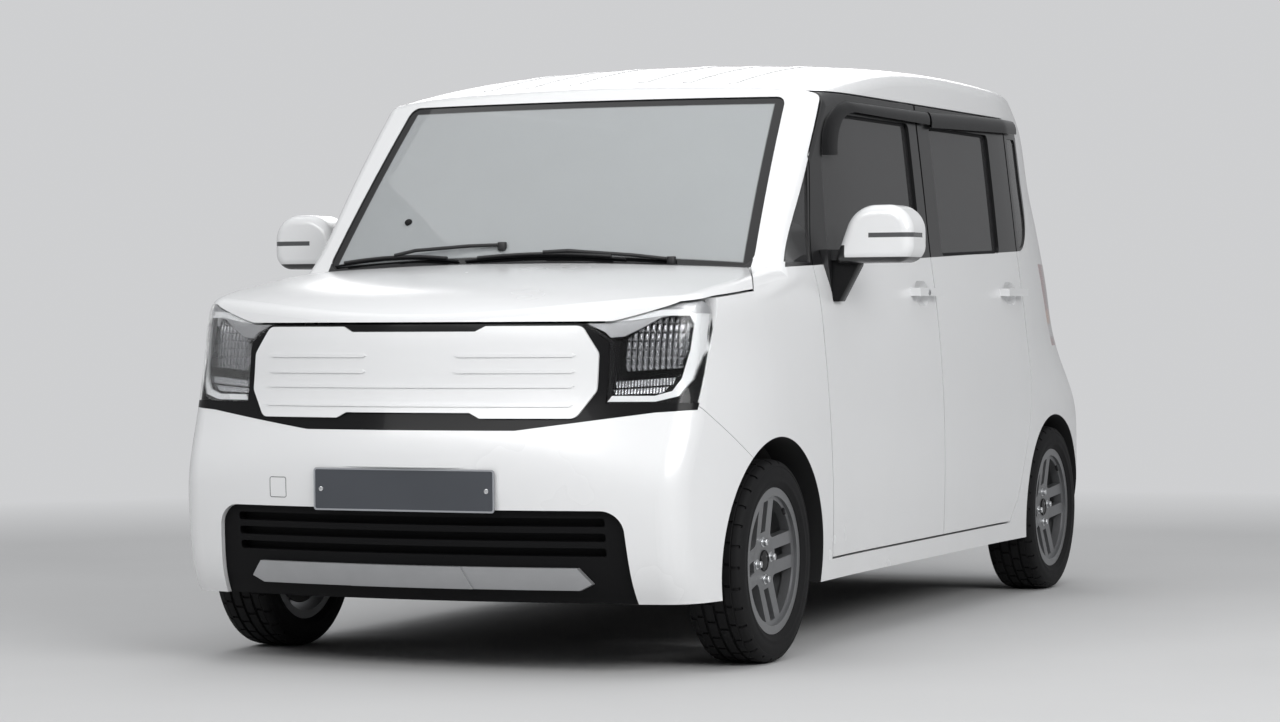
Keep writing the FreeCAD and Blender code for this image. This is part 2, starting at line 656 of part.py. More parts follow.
def bumper_region(gap):
    """Ahead of and below the seam that runs from the lamp to the wheel arch."""
    points = [(-FAR_Y, 0), (FRONT_AXLE_Y, 0), (FRONT_AXLE_Y, SEAM_ARCH_Z + gap), (SEAM_ARCH_Y, SEAM_ARCH_Z + gap),
              (SEAM_MID_Y, SEAM_MID_Z + gap), (MASK_REAR_LOW_Y, MASK_REAR_LOW_Z + gap),
              (MASK_REAR_LOW_Y - SEAM_GAP, FAR_Z), (-FAR_Y, FAR_Z)]
    return side_prism(points, -FAR_X, FAR_X)


INTAKE_PRISM = front_prism([(INTAKE_LOW_HALF, 0), (INTAKE_TOP_HALF, INTAKE_TOP_Z, INTAKE_CORNER),
                            (-INTAKE_TOP_HALF, INTAKE_TOP_Z, INTAKE_CORNER), (-INTAKE_LOW_HALF, 0)],
                           -FAR_Y, NOSE_BACK_Y)
MASK_ZONE = mask_band(0).common(mask_rear_edge(0))
NOSE = BODY.common(bumper_region(0)).cut([BAY_SPACE, FRONT_ARCH, mirrored(FRONT_ARCH), MASK_ZONE, HOOD_CLEARANCE])
INTAKE = largest(NOSE.common(INTAKE_PRISM))
PLATE_LOW_Z = PLATE_Z - PLATE_HALF_HEIGHT
PLATE_HIGH_Z = PLATE_Z + PLATE_HALF_HEIGHT
PLATE_ROOM = box(-PLATE_HALF - PLATE_MARGIN, PLATE_HALF + PLATE_MARGIN, -FAR_Y, PLATE_SEAT_Y,
                 PLATE_LOW_Z - PLATE_MARGIN, PLATE_HIGH_Z + PLATE_MARGIN)
PLATE_SEAT = box(PLATE_INSET - PLATE_HALF, PLATE_HALF - PLATE_INSET, PLATE_SEAT_Y, PLATE_SEAT_Y + PLATE_PAD,
                 PLATE_LOW_Z + PLATE_INSET, PLATE_HIGH_Z - PLATE_INSET)
PLATE_HOLES = [rod(V(x, -FAR_Y, PLATE_Z), V(x, PLATE_SEAT_Y + PLATE_HOLE_DEPTH, PLATE_Z), PLATE_HOLE_RADIUS)
               for x in (-PLATE_HOLE_X, PLATE_HOLE_X)]
BUMPER = NOSE.cut([INTAKE_PRISM, PLATE_ROOM]).fuse(PLATE_SEAT).removeSplitter()
keep("front_bumper", BUMPER.cut(PLATE_HOLES))
SLOTS = []
for i in range(SLOT_COUNT):
    low = SLOT_LOW_Z + i * SLOT_PITCH
    outline = [(-SLOT_HALF, low, SLOT_HEIGHT / 3), (SLOT_HALF, low, SLOT_HEIGHT / 3),
               (SLOT_HALF, low + SLOT_HEIGHT, SLOT_HEIGHT / 3), (-SLOT_HALF, low + SLOT_HEIGHT, SLOT_HEIGHT / 3)]
    SLOTS.append(front_prism(outline, -FAR_Y, NOSE_BACK_Y))
INTAKE_BLOCK = moved(INTAKE, 0, INTAKE_RECESS, 0)
SLOT_FLOOR = moved(INTAKE_BLOCK, 0, SLOT_DEPTH, 0)
keep("lower_intake", INTAKE_BLOCK.cut([slot.cut(SLOT_FLOOR) for slot in SLOTS]))
SKID_PRISM = front_prism([(SKID_HALF - SKID_CHAMFER, SKID_LOW_Z), (SKID_HALF, SKID_LOW_Z + SKID_CHAMFER / 2),
                          (SKID_HALF - SKID_CHAMFER, SKID_TOP_Z), (SKID_CHAMFER - SKID_HALF, SKID_TOP_Z),
                          (-SKID_HALF, SKID_LOW_Z + SKID_CHAMFER / 2), (SKID_CHAMFER - SKID_HALF, SKID_LOW_Z)],
                         -FAR_Y, NOSE_BACK_Y)
SKID_BLOCK = INTAKE.common(SKID_PRISM)
SKID_PLATE = SKID_BLOCK.cut(moved(SKID_BLOCK, 0, INTAKE_RECESS, 0))
FACET = front_prism([(-SKID_FACET_HALF - SKID_FACET_SLANT, SKID_LOW_Z), (-SKID_FACET_HALF, SKID_TOP_Z),
                     (SKID_FACET_HALF, SKID_TOP_Z), (SKID_FACET_HALF + SKID_FACET_SLANT, SKID_LOW_Z)],
                    -FAR_Y, NOSE_BACK_Y)
RAISED = moved(SKID_PLATE, 0, -SKID_STEP, 0).common(FACET)
keep("skid_plate", SKID_PLATE.fuse(RAISED).removeSplitter())


# Windscreen, seen from ahead
SCREEN_TOP_HALF = 590.0
SCREEN_LOW_HALF = 653.0
SCREEN_EDGE_Z = 1535.0
SCREEN_SIDE_Z = 1053.0
SCREEN_MIDDLE_Z = 1072.0
SCREEN_CORNER = 30.0
SCREEN_GLASS = 7.0

SCREEN_PRISM = front_prism([(0, SCREEN_MIDDLE_Z), (SCREEN_LOW_HALF, SCREEN_SIDE_Z, SCREEN_CORNER),
                            (SCREEN_TOP_HALF, SCREEN_EDGE_Z, SCREEN_CORNER),
                            (-SCREEN_TOP_HALF, SCREEN_EDGE_Z, SCREEN_CORNER),
                            (-SCREEN_LOW_HALF, SCREEN_SIDE_Z, SCREEN_CORNER)], -FAR_Y, SCREEN_TOP_Y + NOSE_DEPTH)
SCREEN_BLOCK = BODY.common(SCREEN_PRISM)
keep("windshield", moved(SCREEN_BLOCK.cut(moved(SCREEN_BLOCK, 0, SCREEN_GLASS, 0)), 0, LENS_WALL, 0))

# Cowl between the hood and the windscreen
COWL_LOW_Z = 930.0
COWL_BOX = box(-HOOD_CORNER_X, HOOD_CORNER_X, HOOD_REAR_Y, FIREWALL_Y, COWL_LOW_Z, SCREEN_MIDDLE_Z)
keep("cowl_panel", BODY.common(COWL_BOX).cut([HOOD_CLEARANCE, BAY_SPACE, SCREEN_PRISM, UPPER_SPACE]))

# Front fenders, from the lamps to the front doors
FENDER_REAR_Y = -700.0


def door_lead(gap):
    """Leading edge of the front door from below up to its top front corner, moved out by gap."""
    return [(DOOR_LEAD_LOW_Y - gap, DOOR_BOTTOM_Z - gap), (DOOR_LEAD_MID_Y - gap, DOOR_LEAD_MID_Z),
            (DOOR_LEAD_TOP_Y - gap, BELT_FRONT_Z), (PILLAR_MEET_Y - gap, PILLAR_MEET_Z),
            (DOOR_TOP_FRONT_Y - gap, DOOR_TOP_Z + gap)]


def door_tail(gap, shift):
    """Trailing edge of the rear door from its top down round the wheel arch, moved out by gap."""
    reach = gap + shift
    wrap = [(y * LENGTH / 2 + reach, z * HEIGHT) for y, z in ARCH_WRAP_SHARES]
    return ([(DOOR_TAIL_Y + reach, DOOR_TOP_Z + gap), (DOOR_TAIL_Y + reach, ARCH_WRAP_TOP_Z)] + wrap
            + [(ARCH_WRAP_END_Y + reach, DOOR_BOTTOM_Z - gap)])


def door_split(side, shift):
    """Edge between the doors, from the top down; side is -1 for the front door, 1 for the rear one."""
    y = DOOR_SPLIT_Y + side * PANEL_GAP / 2 + shift
    return [(y, DOOR_TOP_Z), (y, DOOR_BOTTOM_Z)]


def edge_shift(x):
    """How far a trailing edge draws forward at x, so that the door's inner corner swings clear."""
    return (x - HALF_WAIST) * DOOR_EDGE_LEAN


def leaning_prism(outline_at):
    """Solid through the side whose outline changes with x."""
    wires = []
    for x in (DOORWAY_IN_X, FAR_X):
        wires.append(outline_wire(outline_at(edge_shift(x)), lambda p: V(x, p.x, p.y)))
    return Part.makeLoft(wires, True, True)


DOORWAY = side_prism(door_lead(PANEL_GAP) + door_tail(PANEL_GAP, 0), DOORWAY_IN_X, FAR_X)
FENDER_BOX = box(DOOR_INNER_X, FAR_X, -FAR_Y, FENDER_REAR_Y, 0, LEDGE_Z)
FENDER_TOP_BOX = box(HOOD_CORNER_X, FAR_X, HOOD_TAIL_Y - OVERRUN, FIREWALL_Y, COWL_LOW_Z, LEDGE_Z)
FENDER_ZONE = FENDER_BOX.fuse(FENDER_TOP_BOX)
FENDER = BODY.common(FENDER_ZONE).cut([DOORWAY, HOOD_CLEARANCE, FRONT_ARCH, bumper_region(SEAM_GAP), BAY_SPACE,
                                       mask_rear_edge(-SEAM_GAP)])
keep("front_fenders", both_sides(FENDER))

# Tailgate, tail lamps and rear bumper
TAILGATE_TOP_Y = 1560.0
TAILGATE_LOW_Z = 606.0
TAILGATE_LOW_HALF = 575.0
TAILGATE_MID_HALF = 560.0
TAILGATE_TOP_HALF = 480.0
TAILGATE_CORNER = 60.0
RECESS_HALF = 275.0
RECESS_LOW_Z = 668.0
RECESS_TOP_Z = 852.0
RECESS_ROUND = 28.0
RECESS_DEPTH = 14.0
REAR_GLASS_LOW_Z = 1105.0
REAR_GLASS_TOP_Z = 1500.0
REAR_GLASS_LOW_HALF = 500.0
REAR_GLASS_TOP_HALF = 440.0
TAIL_LAMP_LOW_Z = 807.0
TAIL_LAMP_TOP_Z = 1080.0
TAIL_LAMP_LOW_Y = 1500.0
TAIL_LAMP_TOP_Y = 1450.0
TAIL_LAMP_DEPTH = 45.0
REAR_BUMPER_SIDE_Y = 1575.0
REAR_BUMPER_INNER_X = 690.0
REAR_BUMPER_TOP_Z = 600.0


def tailgate_region(gap):
    points = [(TAILGATE_LOW_HALF + gap, TAILGATE_LOW_Z - gap), (TAILGATE_MID_HALF + gap, TAIL_LAMP_TOP_Z),
              (TAILGATE_TOP_HALF + gap, FAR_Z)]
    other = [(-x, z) for x, z in reversed(points)]
    return front_prism(points + other, TAILGATE_TOP_Y - gap, FAR_Y)


TAILGATE_CLEARANCE = tailgate_region(PANEL_GAP)
LOAD_BOX = box(-FAR_X, FAR_X, 0, LOAD_BACK_Y + SEAT_GAP, 0, LEDGE_Z)
TAILGATE_BLOCK = BODY.common(tailgate_region(0)).cut([UPPER_SPACE, LOAD_BOX])
REAR_WINDOW = front_prism([(REAR_GLASS_LOW_HALF, REAR_GLASS_LOW_Z, TAILGATE_CORNER),
                           (REAR_GLASS_TOP_HALF, REAR_GLASS_TOP_Z, TAILGATE_CORNER),
                           (-REAR_GLASS_TOP_HALF, REAR_GLASS_TOP_Z, TAILGATE_CORNER),
                           (-REAR_GLASS_LOW_HALF, REAR_GLASS_LOW_Z, TAILGATE_CORNER)], TAILGATE_TOP_Y - OVERRUN, FAR_Y)
REAR_PANE = TAILGATE_BLOCK.common(REAR_WINDOW)
RECESS = front_prism([(-RECESS_HALF, RECESS_LOW_Z, RECESS_ROUND), (RECESS_HALF, RECESS_LOW_Z, RECESS_ROUND),
                      (RECESS_HALF, RECESS_TOP_Z, RECESS_ROUND), (-RECESS_HALF, RECESS_TOP_Z, RECESS_ROUND)],
                     TAILGATE_TOP_Y, FAR_Y)
RECESS = RECESS.cut(moved(TAILGATE_BLOCK, 0, -RECESS_DEPTH, 0))
keep("tailgate", TAILGATE_BLOCK.cut([REAR_WINDOW, RECESS]))
keep("tailgate_glass", moved(REAR_PANE.cut(moved(REAR_PANE, 0, -LENS_WALL, 0)), 0, -LENS_WALL, 0))
LAMP_SIDE = side_prism([(TAIL_LAMP_TOP_Y, TAIL_LAMP_TOP_Z), (FAR_Y, TAIL_LAMP_TOP_Z), (FAR_Y, TAIL_LAMP_LOW_Z),
                        (TAIL_LAMP_LOW_Y, TAIL_LAMP_LOW_Z)], TAILGATE_MID_HALF, FAR_X)
TAIL_BLOCK = BODY.common(LAMP_SIDE).cut(TAILGATE_CLEARANCE)
TAIL_LAMP = TAIL_BLOCK.cut(moved(TAIL_BLOCK, -TAIL_LAMP_DEPTH, -TAIL_LAMP_DEPTH, 0))
keep("tail_lamps", both_sides(TAIL_LAMP))
REAR_BUMPER_ZONE = box(-FAR_X, FAR_X, REAR_BUMPER_SIDE_Y, FAR_Y, 0, REAR_BUMPER_TOP_Z)
REAR_BUMPER_ZONE = REAR_BUMPER_ZONE.cut(box(-REAR_BUMPER_INNER_X, REAR_BUMPER_INNER_X, 0, LOAD_BACK_Y, 0, FAR_Z))
keep("rear_bumper", BODY.common(REAR_BUMPER_ZONE).cut([REAR_ARCH, mirrored(REAR_ARCH)]))

# Roof panel between the side rails
ROOF_FRONT_HALF = 560.0
ROOF_MIDDLE_HALF = 596.0
ROOF_REAR_HALF = 500.0
ROOF_LOW_Z = 1536.0
BEAD_FRONT_Y = -500.0
BEAD_REAR_Y = 1400.0
BEAD_HALF = 14.0
BEAD_PROUD = 3.0
BEAD_PLACES = (110.0, 250.0, 390.0)
ROOF_ZONE = plan_prism([(-ROOF_FRONT_HALF, SCREEN_TOP_Y - NOSE_WALL), (ROOF_FRONT_HALF, SCREEN_TOP_Y - NOSE_WALL),
                        (ROOF_MIDDLE_HALF, DOOR_SPLIT_Y), (ROOF_REAR_HALF, TAILGATE_TOP_Y),
                        (-ROOF_REAR_HALF, TAILGATE_TOP_Y), (-ROOF_MIDDLE_HALF, DOOR_SPLIT_Y)], ROOF_LOW_Z, FAR_Z)
ROOF = BODY.common(ROOF_ZONE).cut([UPPER_SPACE, TAILGATE_CLEARANCE, SCREEN_PRISM])
BEAD_LAYER = moved(ROOF, 0, 0, BEAD_PROUD).cut(ROOF)
BEADS = []
for x in BEAD_PLACES:
    strip = plan_prism([(x - BEAD_HALF, BEAD_FRONT_Y, BEAD_HALF), (x + BEAD_HALF, BEAD_FRONT_Y, BEAD_HALF),
                        (x + BEAD_HALF, BEAD_REAR_Y, BEAD_HALF), (x - BEAD_HALF, BEAD_REAR_Y, BEAD_HALF)],
                       roof_z(x, BEAD_FRONT_Y) - 2 * BEAD_PROUD, FAR_Z)
    BEADS += [BEAD_LAYER.common(strip), BEAD_LAYER.common(mirrored(strip))]
keep("roof_panel", ROOF.multiFuse(BEADS).removeSplitter())

# Body side: pillars, rails, sill and quarter panel around the doorways
APERTURE_LOW_Z = 292.0
APERTURE_FRONT_Y = -705.0
POST_FRONT_Y = 190.0
POST_REAR_Y = 280.0
APERTURE_REAR_Y = 1090.0
POST_WALL = 32.0
RAIL_SLOT_FRONT_Y = 1136.0
RAIL_SLOT_REAR_Y = 1432.0
RAIL_SLOT_Z = 892.0
RAIL_SLOT_HEIGHT = 16.0
RAIL_SLOT_DEPTH = 14.0
QUARTER_GLASS_FRONT_Y = 1162.0
QUARTER_GLASS_REAR_Y = 1300.0
QUARTER_GLASS_LOW_Z = 1130.0
QUARTER_GLASS_CORNER = 110.0
PILLAR_GLASS_FRONT_Y = -950.0
PILLAR_GLASS_TOP_Y = -716.0
PILLAR_GLASS_TOP_Z = 1330.0
PILLAR_GLASS_LOW_Z = 1064.0
PILLAR_GLASS_REAR_Y = -774.0

SIDE_ZONES = [box(CABIN_X, FAR_X, FIREWALL_Y, QUARTER_Y, 0, LEDGE_Z),
              box(QUARTER_INNER_X, FAR_X, QUARTER_Y, FAR_Y, 0, LEDGE_Z),
              box(0, FAR_X, SCREEN_BASE_Y - OVERRUN, FAR_Y, LEDGE_Z, FAR_Z)]
QUARTER_WINDOW = side_prism([(QUARTER_GLASS_FRONT_Y, QUARTER_GLASS_LOW_Z, WINDOW_CORNER),
                             (QUARTER_GLASS_REAR_Y, QUARTER_GLASS_LOW_Z, QUARTER_GLASS_CORNER),
                             (QUARTER_GLASS_REAR_Y, WINDOW_TOP_Z, WINDOW_CORNER),
                             (QUARTER_GLASS_FRONT_Y, WINDOW_TOP_Z, WINDOW_CORNER)], TAIL_LAMP_DEPTH, FAR_X)
PILLAR_WINDOW = side_prism([(PILLAR_GLASS_FRONT_Y, PILLAR_GLASS_LOW_Z), (PILLAR_GLASS_REAR_Y, PILLAR_GLASS_LOW_Z),
                            (PILLAR_GLASS_TOP_Y, PILLAR_GLASS_TOP_Z)], QUARTER_INNER_X - UPPER_WALL, FAR_X)
APERTURE = box(QUARTER_INNER_X, DOOR_INNER_X, APERTURE_FRONT_Y, APERTURE_REAR_Y, APERTURE_LOW_Z, LEDGE_Z)
APERTURE = APERTURE.cut(REAR_LINER)
OUTER_DOORWAY = DOORWAY.cut(box(0, DOOR_INNER_X, -FAR_Y, FAR_Y, 0, LEDGE_Z))
SIDE_BLANK = BODY.common(SIDE_ZONES[0].multiFuse(SIDE_ZONES[1:]))
SIDE_SHELL = SIDE_BLANK.cut([UPPER_SPACE, ROOF_ZONE, TAILGATE_CLEARANCE, SCREEN_PRISM, COWL_BOX, FENDER_ZONE,
                             REAR_BUMPER_ZONE, OUTER_DOORWAY, REAR_ARCH, FRONT_ARCH, APERTURE, TAIL_LAMP])

SIDE_SHELL = largest(SIDE_SHELL)


def skin_pane(block, thickness, recess):
    """Pane of a side window: the outer skin of the wall in the window, set inwards."""
    return moved(block.cut(moved(block, -thickness, 0, 0)), -recess, 0, 0)


QUARTER_PANE = skin_pane(SIDE_SHELL.common(QUARTER_WINDOW), GLASS, FIXED_GLASS_RECESS)
PILLAR_PANE = skin_pane(SIDE_SHELL.common(PILLAR_WINDOW), GLASS, FIXED_GLASS_RECESS)
SIDE_SHELL = SIDE_SHELL.cut([QUARTER_WINDOW, PILLAR_WINDOW])


def centre_post():
    """Post behind the meeting edges of the two left doors, from the sill to the roof rail."""
    sections = []
    for z in (LEDGE_Z - POST_WALL, DOOR_TOP_Z + POST_WALL):
        outer = min(side_x(DOOR_SPLIT_Y, z) - UPPER_WALL - PANEL_GAP, DOOR_INNER_X)
        ring = [(outer, POST_FRONT_Y), (outer, POST_REAR_Y), (outer - POST_WALL, POST_REAR_Y),
                (outer - POST_WALL, POST_FRONT_Y)]
        sections.append(outline_wire(ring, lambda p: V(p.x, p.y, z)))
    post = Part.makeLoft(sections, True, True).fuse(box(CABIN_X, DOOR_INNER_X, POST_FRONT_Y, POST_REAR_Y,
                                                        APERTURE_LOW_Z, LEDGE_Z))
    cap_x = side_x(DOOR_SPLIT_Y, DOOR_TOP_Z) - UPPER_WALL - PANEL_GAP - POST_WALL
    cap = box(cap_x, cap_x + UPPER_WALL, POST_FRONT_Y, POST_REAR_Y, DOOR_TOP_Z, roof_z(cap_x, 0) - ROOF_WALL / 2)
    return post.fuse(cap)


RAIL_SLOT = box(side_x(RAIL_SLOT_REAR_Y, RAIL_SLOT_Z) - RAIL_SLOT_DEPTH, FAR_X, RAIL_SLOT_FRONT_Y, RAIL_SLOT_REAR_Y,
                RAIL_SLOT_Z, RAIL_SLOT_Z + RAIL_SLOT_HEIGHT)
keep("side_frame_right", mirrored(SIDE_SHELL.cut(RAIL_SLOT)))
keep("side_frame_left", SIDE_SHELL.fuse(centre_post()).removeSplitter())

# Doors
# Window corners: share of half LENGTH, then share of HEIGHT
FRONT_GLASS_SHARES = [(-0.3583, 0.6282), (-0.3405, 0.8006), (-0.2809, 0.8765),
                      (0.0862, 0.8765), (0.0846, 0.6400)]
REAR_GLASS_SHARES = [(0.1919, 0.6435), (0.1919, 0.8765), (0.5202, 0.8765), (0.5185, 0.6529)]


def front_door_outline(shift):
    return door_lead(0) + door_split(-1, shift)


def rear_door_outline(shift):
    split = door_split(1, 0)
    return [split[1], split[0]] + door_tail(0, shift)


def door_pieces(outline_at, glass_shares):
    """One door: its shell with the window cut, and its pane."""
    zone = leaning_prism(outline_at)
    inside = box(0, DOOR_INNER_X + SEAT_GAP, -FAR_Y, FAR_Y, 0, LEDGE_Z)
    shell = largest(BODY.common(zone).cut([UPPER_SPACE, inside]))
    corners = [(y * LENGTH / 2, z * HEIGHT, WINDOW_CORNER) for y, z in glass_shares]
    window = side_prism(corners, QUARTER_INNER_X - UPPER_WALL, FAR_X)
    pane = skin_pane(shell.common(window), GLASS, GLASS_RECESS)
    return shell.cut(window), pane


FRONT_DOOR, FRONT_PANE = door_pieces(front_door_outline, FRONT_GLASS_SHARES)
REAR_DOOR, REAR_PANE_SIDE = door_pieces(rear_door_outline, REAR_GLASS_SHARES)

# Door mirror on the front door
MIRROR_LOW_Z = 1062.0
MIRROR_HIGH_Z = 1222.0
MIRROR_IN_X = 768.0
MIRROR_OUT_X = 1000.0
MIRROR_FRONT_Y = -698.0
MIRROR_REAR_Y = -572.0
MIRROR_TIP = 12.0
MIRROR_SLANT = 62.0
MIRROR_TOP_ROUND = 90.0
MIRROR_END_ROUND = 74.0
MIRROR_LOW_ROUND = 48.0
MIRROR_EDGE_ROUND = 30.0
MIRROR_POCKET = 8.0
MIRROR_RIM = 9.0
FOOT_LOW_Z = 957.0
FOOT_TOP_Z = 1100.0
FOOT_FRONT_Y = -700.0
FOOT_REAR_Y = -600.0
FOOT_TIP_FRONT_Y = -655.0
FOOT_TIP_REAR_Y = -610.0
FOOT_WALL = 22.0
ARM_LOW_Z = 1070.0


def mirror_outline(inset):
    """Housing seen from ahead: a slanted inner end, a round outer end and a flat foot."""
    return [(MIRROR_IN_X + inset, MIRROR_LOW_Z + inset, MIRROR_TIP),
            (MIRROR_IN_X + MIRROR_SLANT + inset, MIRROR_HIGH_Z - inset, MIRROR_TOP_ROUND - inset),
            (MIRROR_OUT_X - inset, MIRROR_HIGH_Z - inset, MIRROR_END_ROUND - inset),
            (MIRROR_OUT_X - inset, MIRROR_LOW_Z + inset, MIRROR_LOW_ROUND - inset)]


def mirror_shell():
    block = front_prism(mirror_outline(0), MIRROR_FRONT_Y, MIRROR_REAR_Y)
    front_edges = [e for e in block.Edges if all(abs(v.Y - MIRROR_FRONT_Y) < SEAT_GAP for v in e.Vertexes)]
    pocket = front_prism(mirror_outline(MIRROR_RIM), MIRROR_REAR_Y - MIRROR_POCKET, 0)
    return block.makeFillet(MIRROR_EDGE_ROUND, front_edges).cut(pocket)


def mirror_foot():
    """Arm from the door skin to the housing, tapering down the door."""
    points = [(FOOT_TIP_FRONT_Y, FOOT_LOW_Z, MIRROR_TIP / 2), (FOOT_TIP_REAR_Y, FOOT_LOW_Z, MIRROR_TIP / 2),
              (FOOT_REAR_Y, FOOT_TOP_Z), (FOOT_FRONT_Y, FOOT_TOP_Z)]
    outer = side_x(FOOT_TIP_FRONT_Y, FOOT_TOP_Z) + FOOT_WALL
    blade = side_prism(points, DOOR_INNER_X + UPPER_WALL, outer)
    arm = box(outer - FOOT_WALL, MIRROR_IN_X + 2 * FOOT_WALL, MIRROR_FRONT_Y + MIRROR_EDGE_ROUND, FOOT_REAR_Y,
              ARM_LOW_Z, FOOT_TOP_Z)
    return blade.fuse(arm).cut(FRONT_DOOR)


MIRROR = largest(joined([mirror_shell(), mirror_foot()]))

# Door handles: a bar on two posts
HANDLE_Z = 984.0
HANDLE_HEIGHT = 24.0
HANDLE_PROUD = 34.0
HANDLE_BAR = 14.0
HANDLE_LENGTH = 205.0
FRONT_HANDLE_Y = 5.0
CUP_RADIUS = 48.0
CUP_DEPTH = 18.0
REAR_HANDLE_Y = 885.0


def handle(y0):
    x0 = side_x(y0, HANDLE_Z) - SEAM_GAP
    x1 = x0 + HANDLE_PROUD
    y1 = y0 + HANDLE_LENGTH
    low, high = HANDLE_Z - HANDLE_HEIGHT / 2, HANDLE_Z + HANDLE_HEIGHT / 2
    bar = box(x1 - HANDLE_BAR, x1, y0, y1, low, high)
    posts = [box(x0, x1 - HANDLE_BAR, y, y + HANDLE_HEIGHT, low, high) for y in (y0, y1 - HANDLE_HEIGHT)]
    return bar.multiFuse(posts).removeSplitter()


def handle_cup(y0):
    """Rounded hollow in the skin behind the middle of a handle's bar."""
    x = side_x(y0, HANDLE_Z) + CUP_RADIUS - CUP_DEPTH
    ends = (y0 + HANDLE_LENGTH / 2 - CUP_RADIUS / 2, y0 + HANDLE_LENGTH / 2 + CUP_RADIUS / 2)
    balls = [Part.makeSphere(CUP_RADIUS, V(x, y, HANDLE_Z)) for y in ends]
    return joined([rod(V(x, ends[0], HANDLE_Z), V(x, ends[1], HANDLE_Z), CUP_RADIUS)] + balls)


FRONT_DOOR = FRONT_DOOR.cut(handle_cup(FRONT_HANDLE_Y)).fuse(handle(FRONT_HANDLE_Y)).removeSplitter()
REAR_DOOR = REAR_DOOR.cut(handle_cup(REAR_HANDLE_Y)).fuse(handle(REAR_HANDLE_Y)).removeSplitter()
keep("front_door_left", FRONT_DOOR)
keep("front_door_glass_left", FRONT_PANE)
keep("mirror_left", MIRROR)
keep("rear_door_left", REAR_DOOR)
keep("rear_door_glass_left", REAR_PANE_SIDE)
keep("front_door_right", mirrored(FRONT_DOOR))
keep("front_door_glass_right", mirrored(FRONT_PANE))
keep("mirror_right", mirrored(MIRROR))
keep("sliding_door_right", mirrored(REAR_DOOR))
keep("fixed_side_glass", apart([QUARTER_PANE, mirrored(QUARTER_PANE), PILLAR_PANE, mirrored(PILLAR_PANE),
                                mirrored(REAR_PANE_SIDE)]))

# Floor, firewall, wheel housings and rails
SEAT_STEP_Y = 560.0
STEP_WALL = 40.0
LOAD_FLOOR_Z = 400.0
UNDER_FLOOR_Z = 340.0
REAR_SILL_Z = 640.0
REAR_SILL_Y = 1605.0
RAIL_IN_X = 372.0
RAIL_OUT_X = 436.0
RAIL_LOW_Z = 320.0
RAIL_TOP_Z = 420.0
RAIL_FRONT_Y = -1540.0
TUNNEL_HALF = 90.0
TUNNEL_TOP_Z = 330.0
TUNNEL_WALL = 12.0
TOWER_RADIUS = 78.0
TOWER_WALL = 8.0
TOWER_TOP_Z = 800.0
BEAM_WALL = 40.0
SUPPORT_TOP_Z = 850.0
SUPPORT_HALF = 430.0
STOP_RADIUS = 16.0
STOP_X = 390.0
STOP_Y = -1560.0

# Steering axis of the left front wheel, leaning inwards as it rises
KINGPIN_LOW = V(630.0, FRONT_AXLE_Y, 170.0)
KINGPIN_TOP = V(545.0, FRONT_AXLE_Y, 760.0)
STRUT_RADIUS = 24.0
STRUT_LOW_Z = 372.0


def on_kingpin(z):
    share = (z - KINGPIN_LOW.z) / (KINGPIN_TOP.z - KINGPIN_LOW.z)
    return KINGPIN_LOW + (KINGPIN_TOP - KINGPIN_LOW) * share


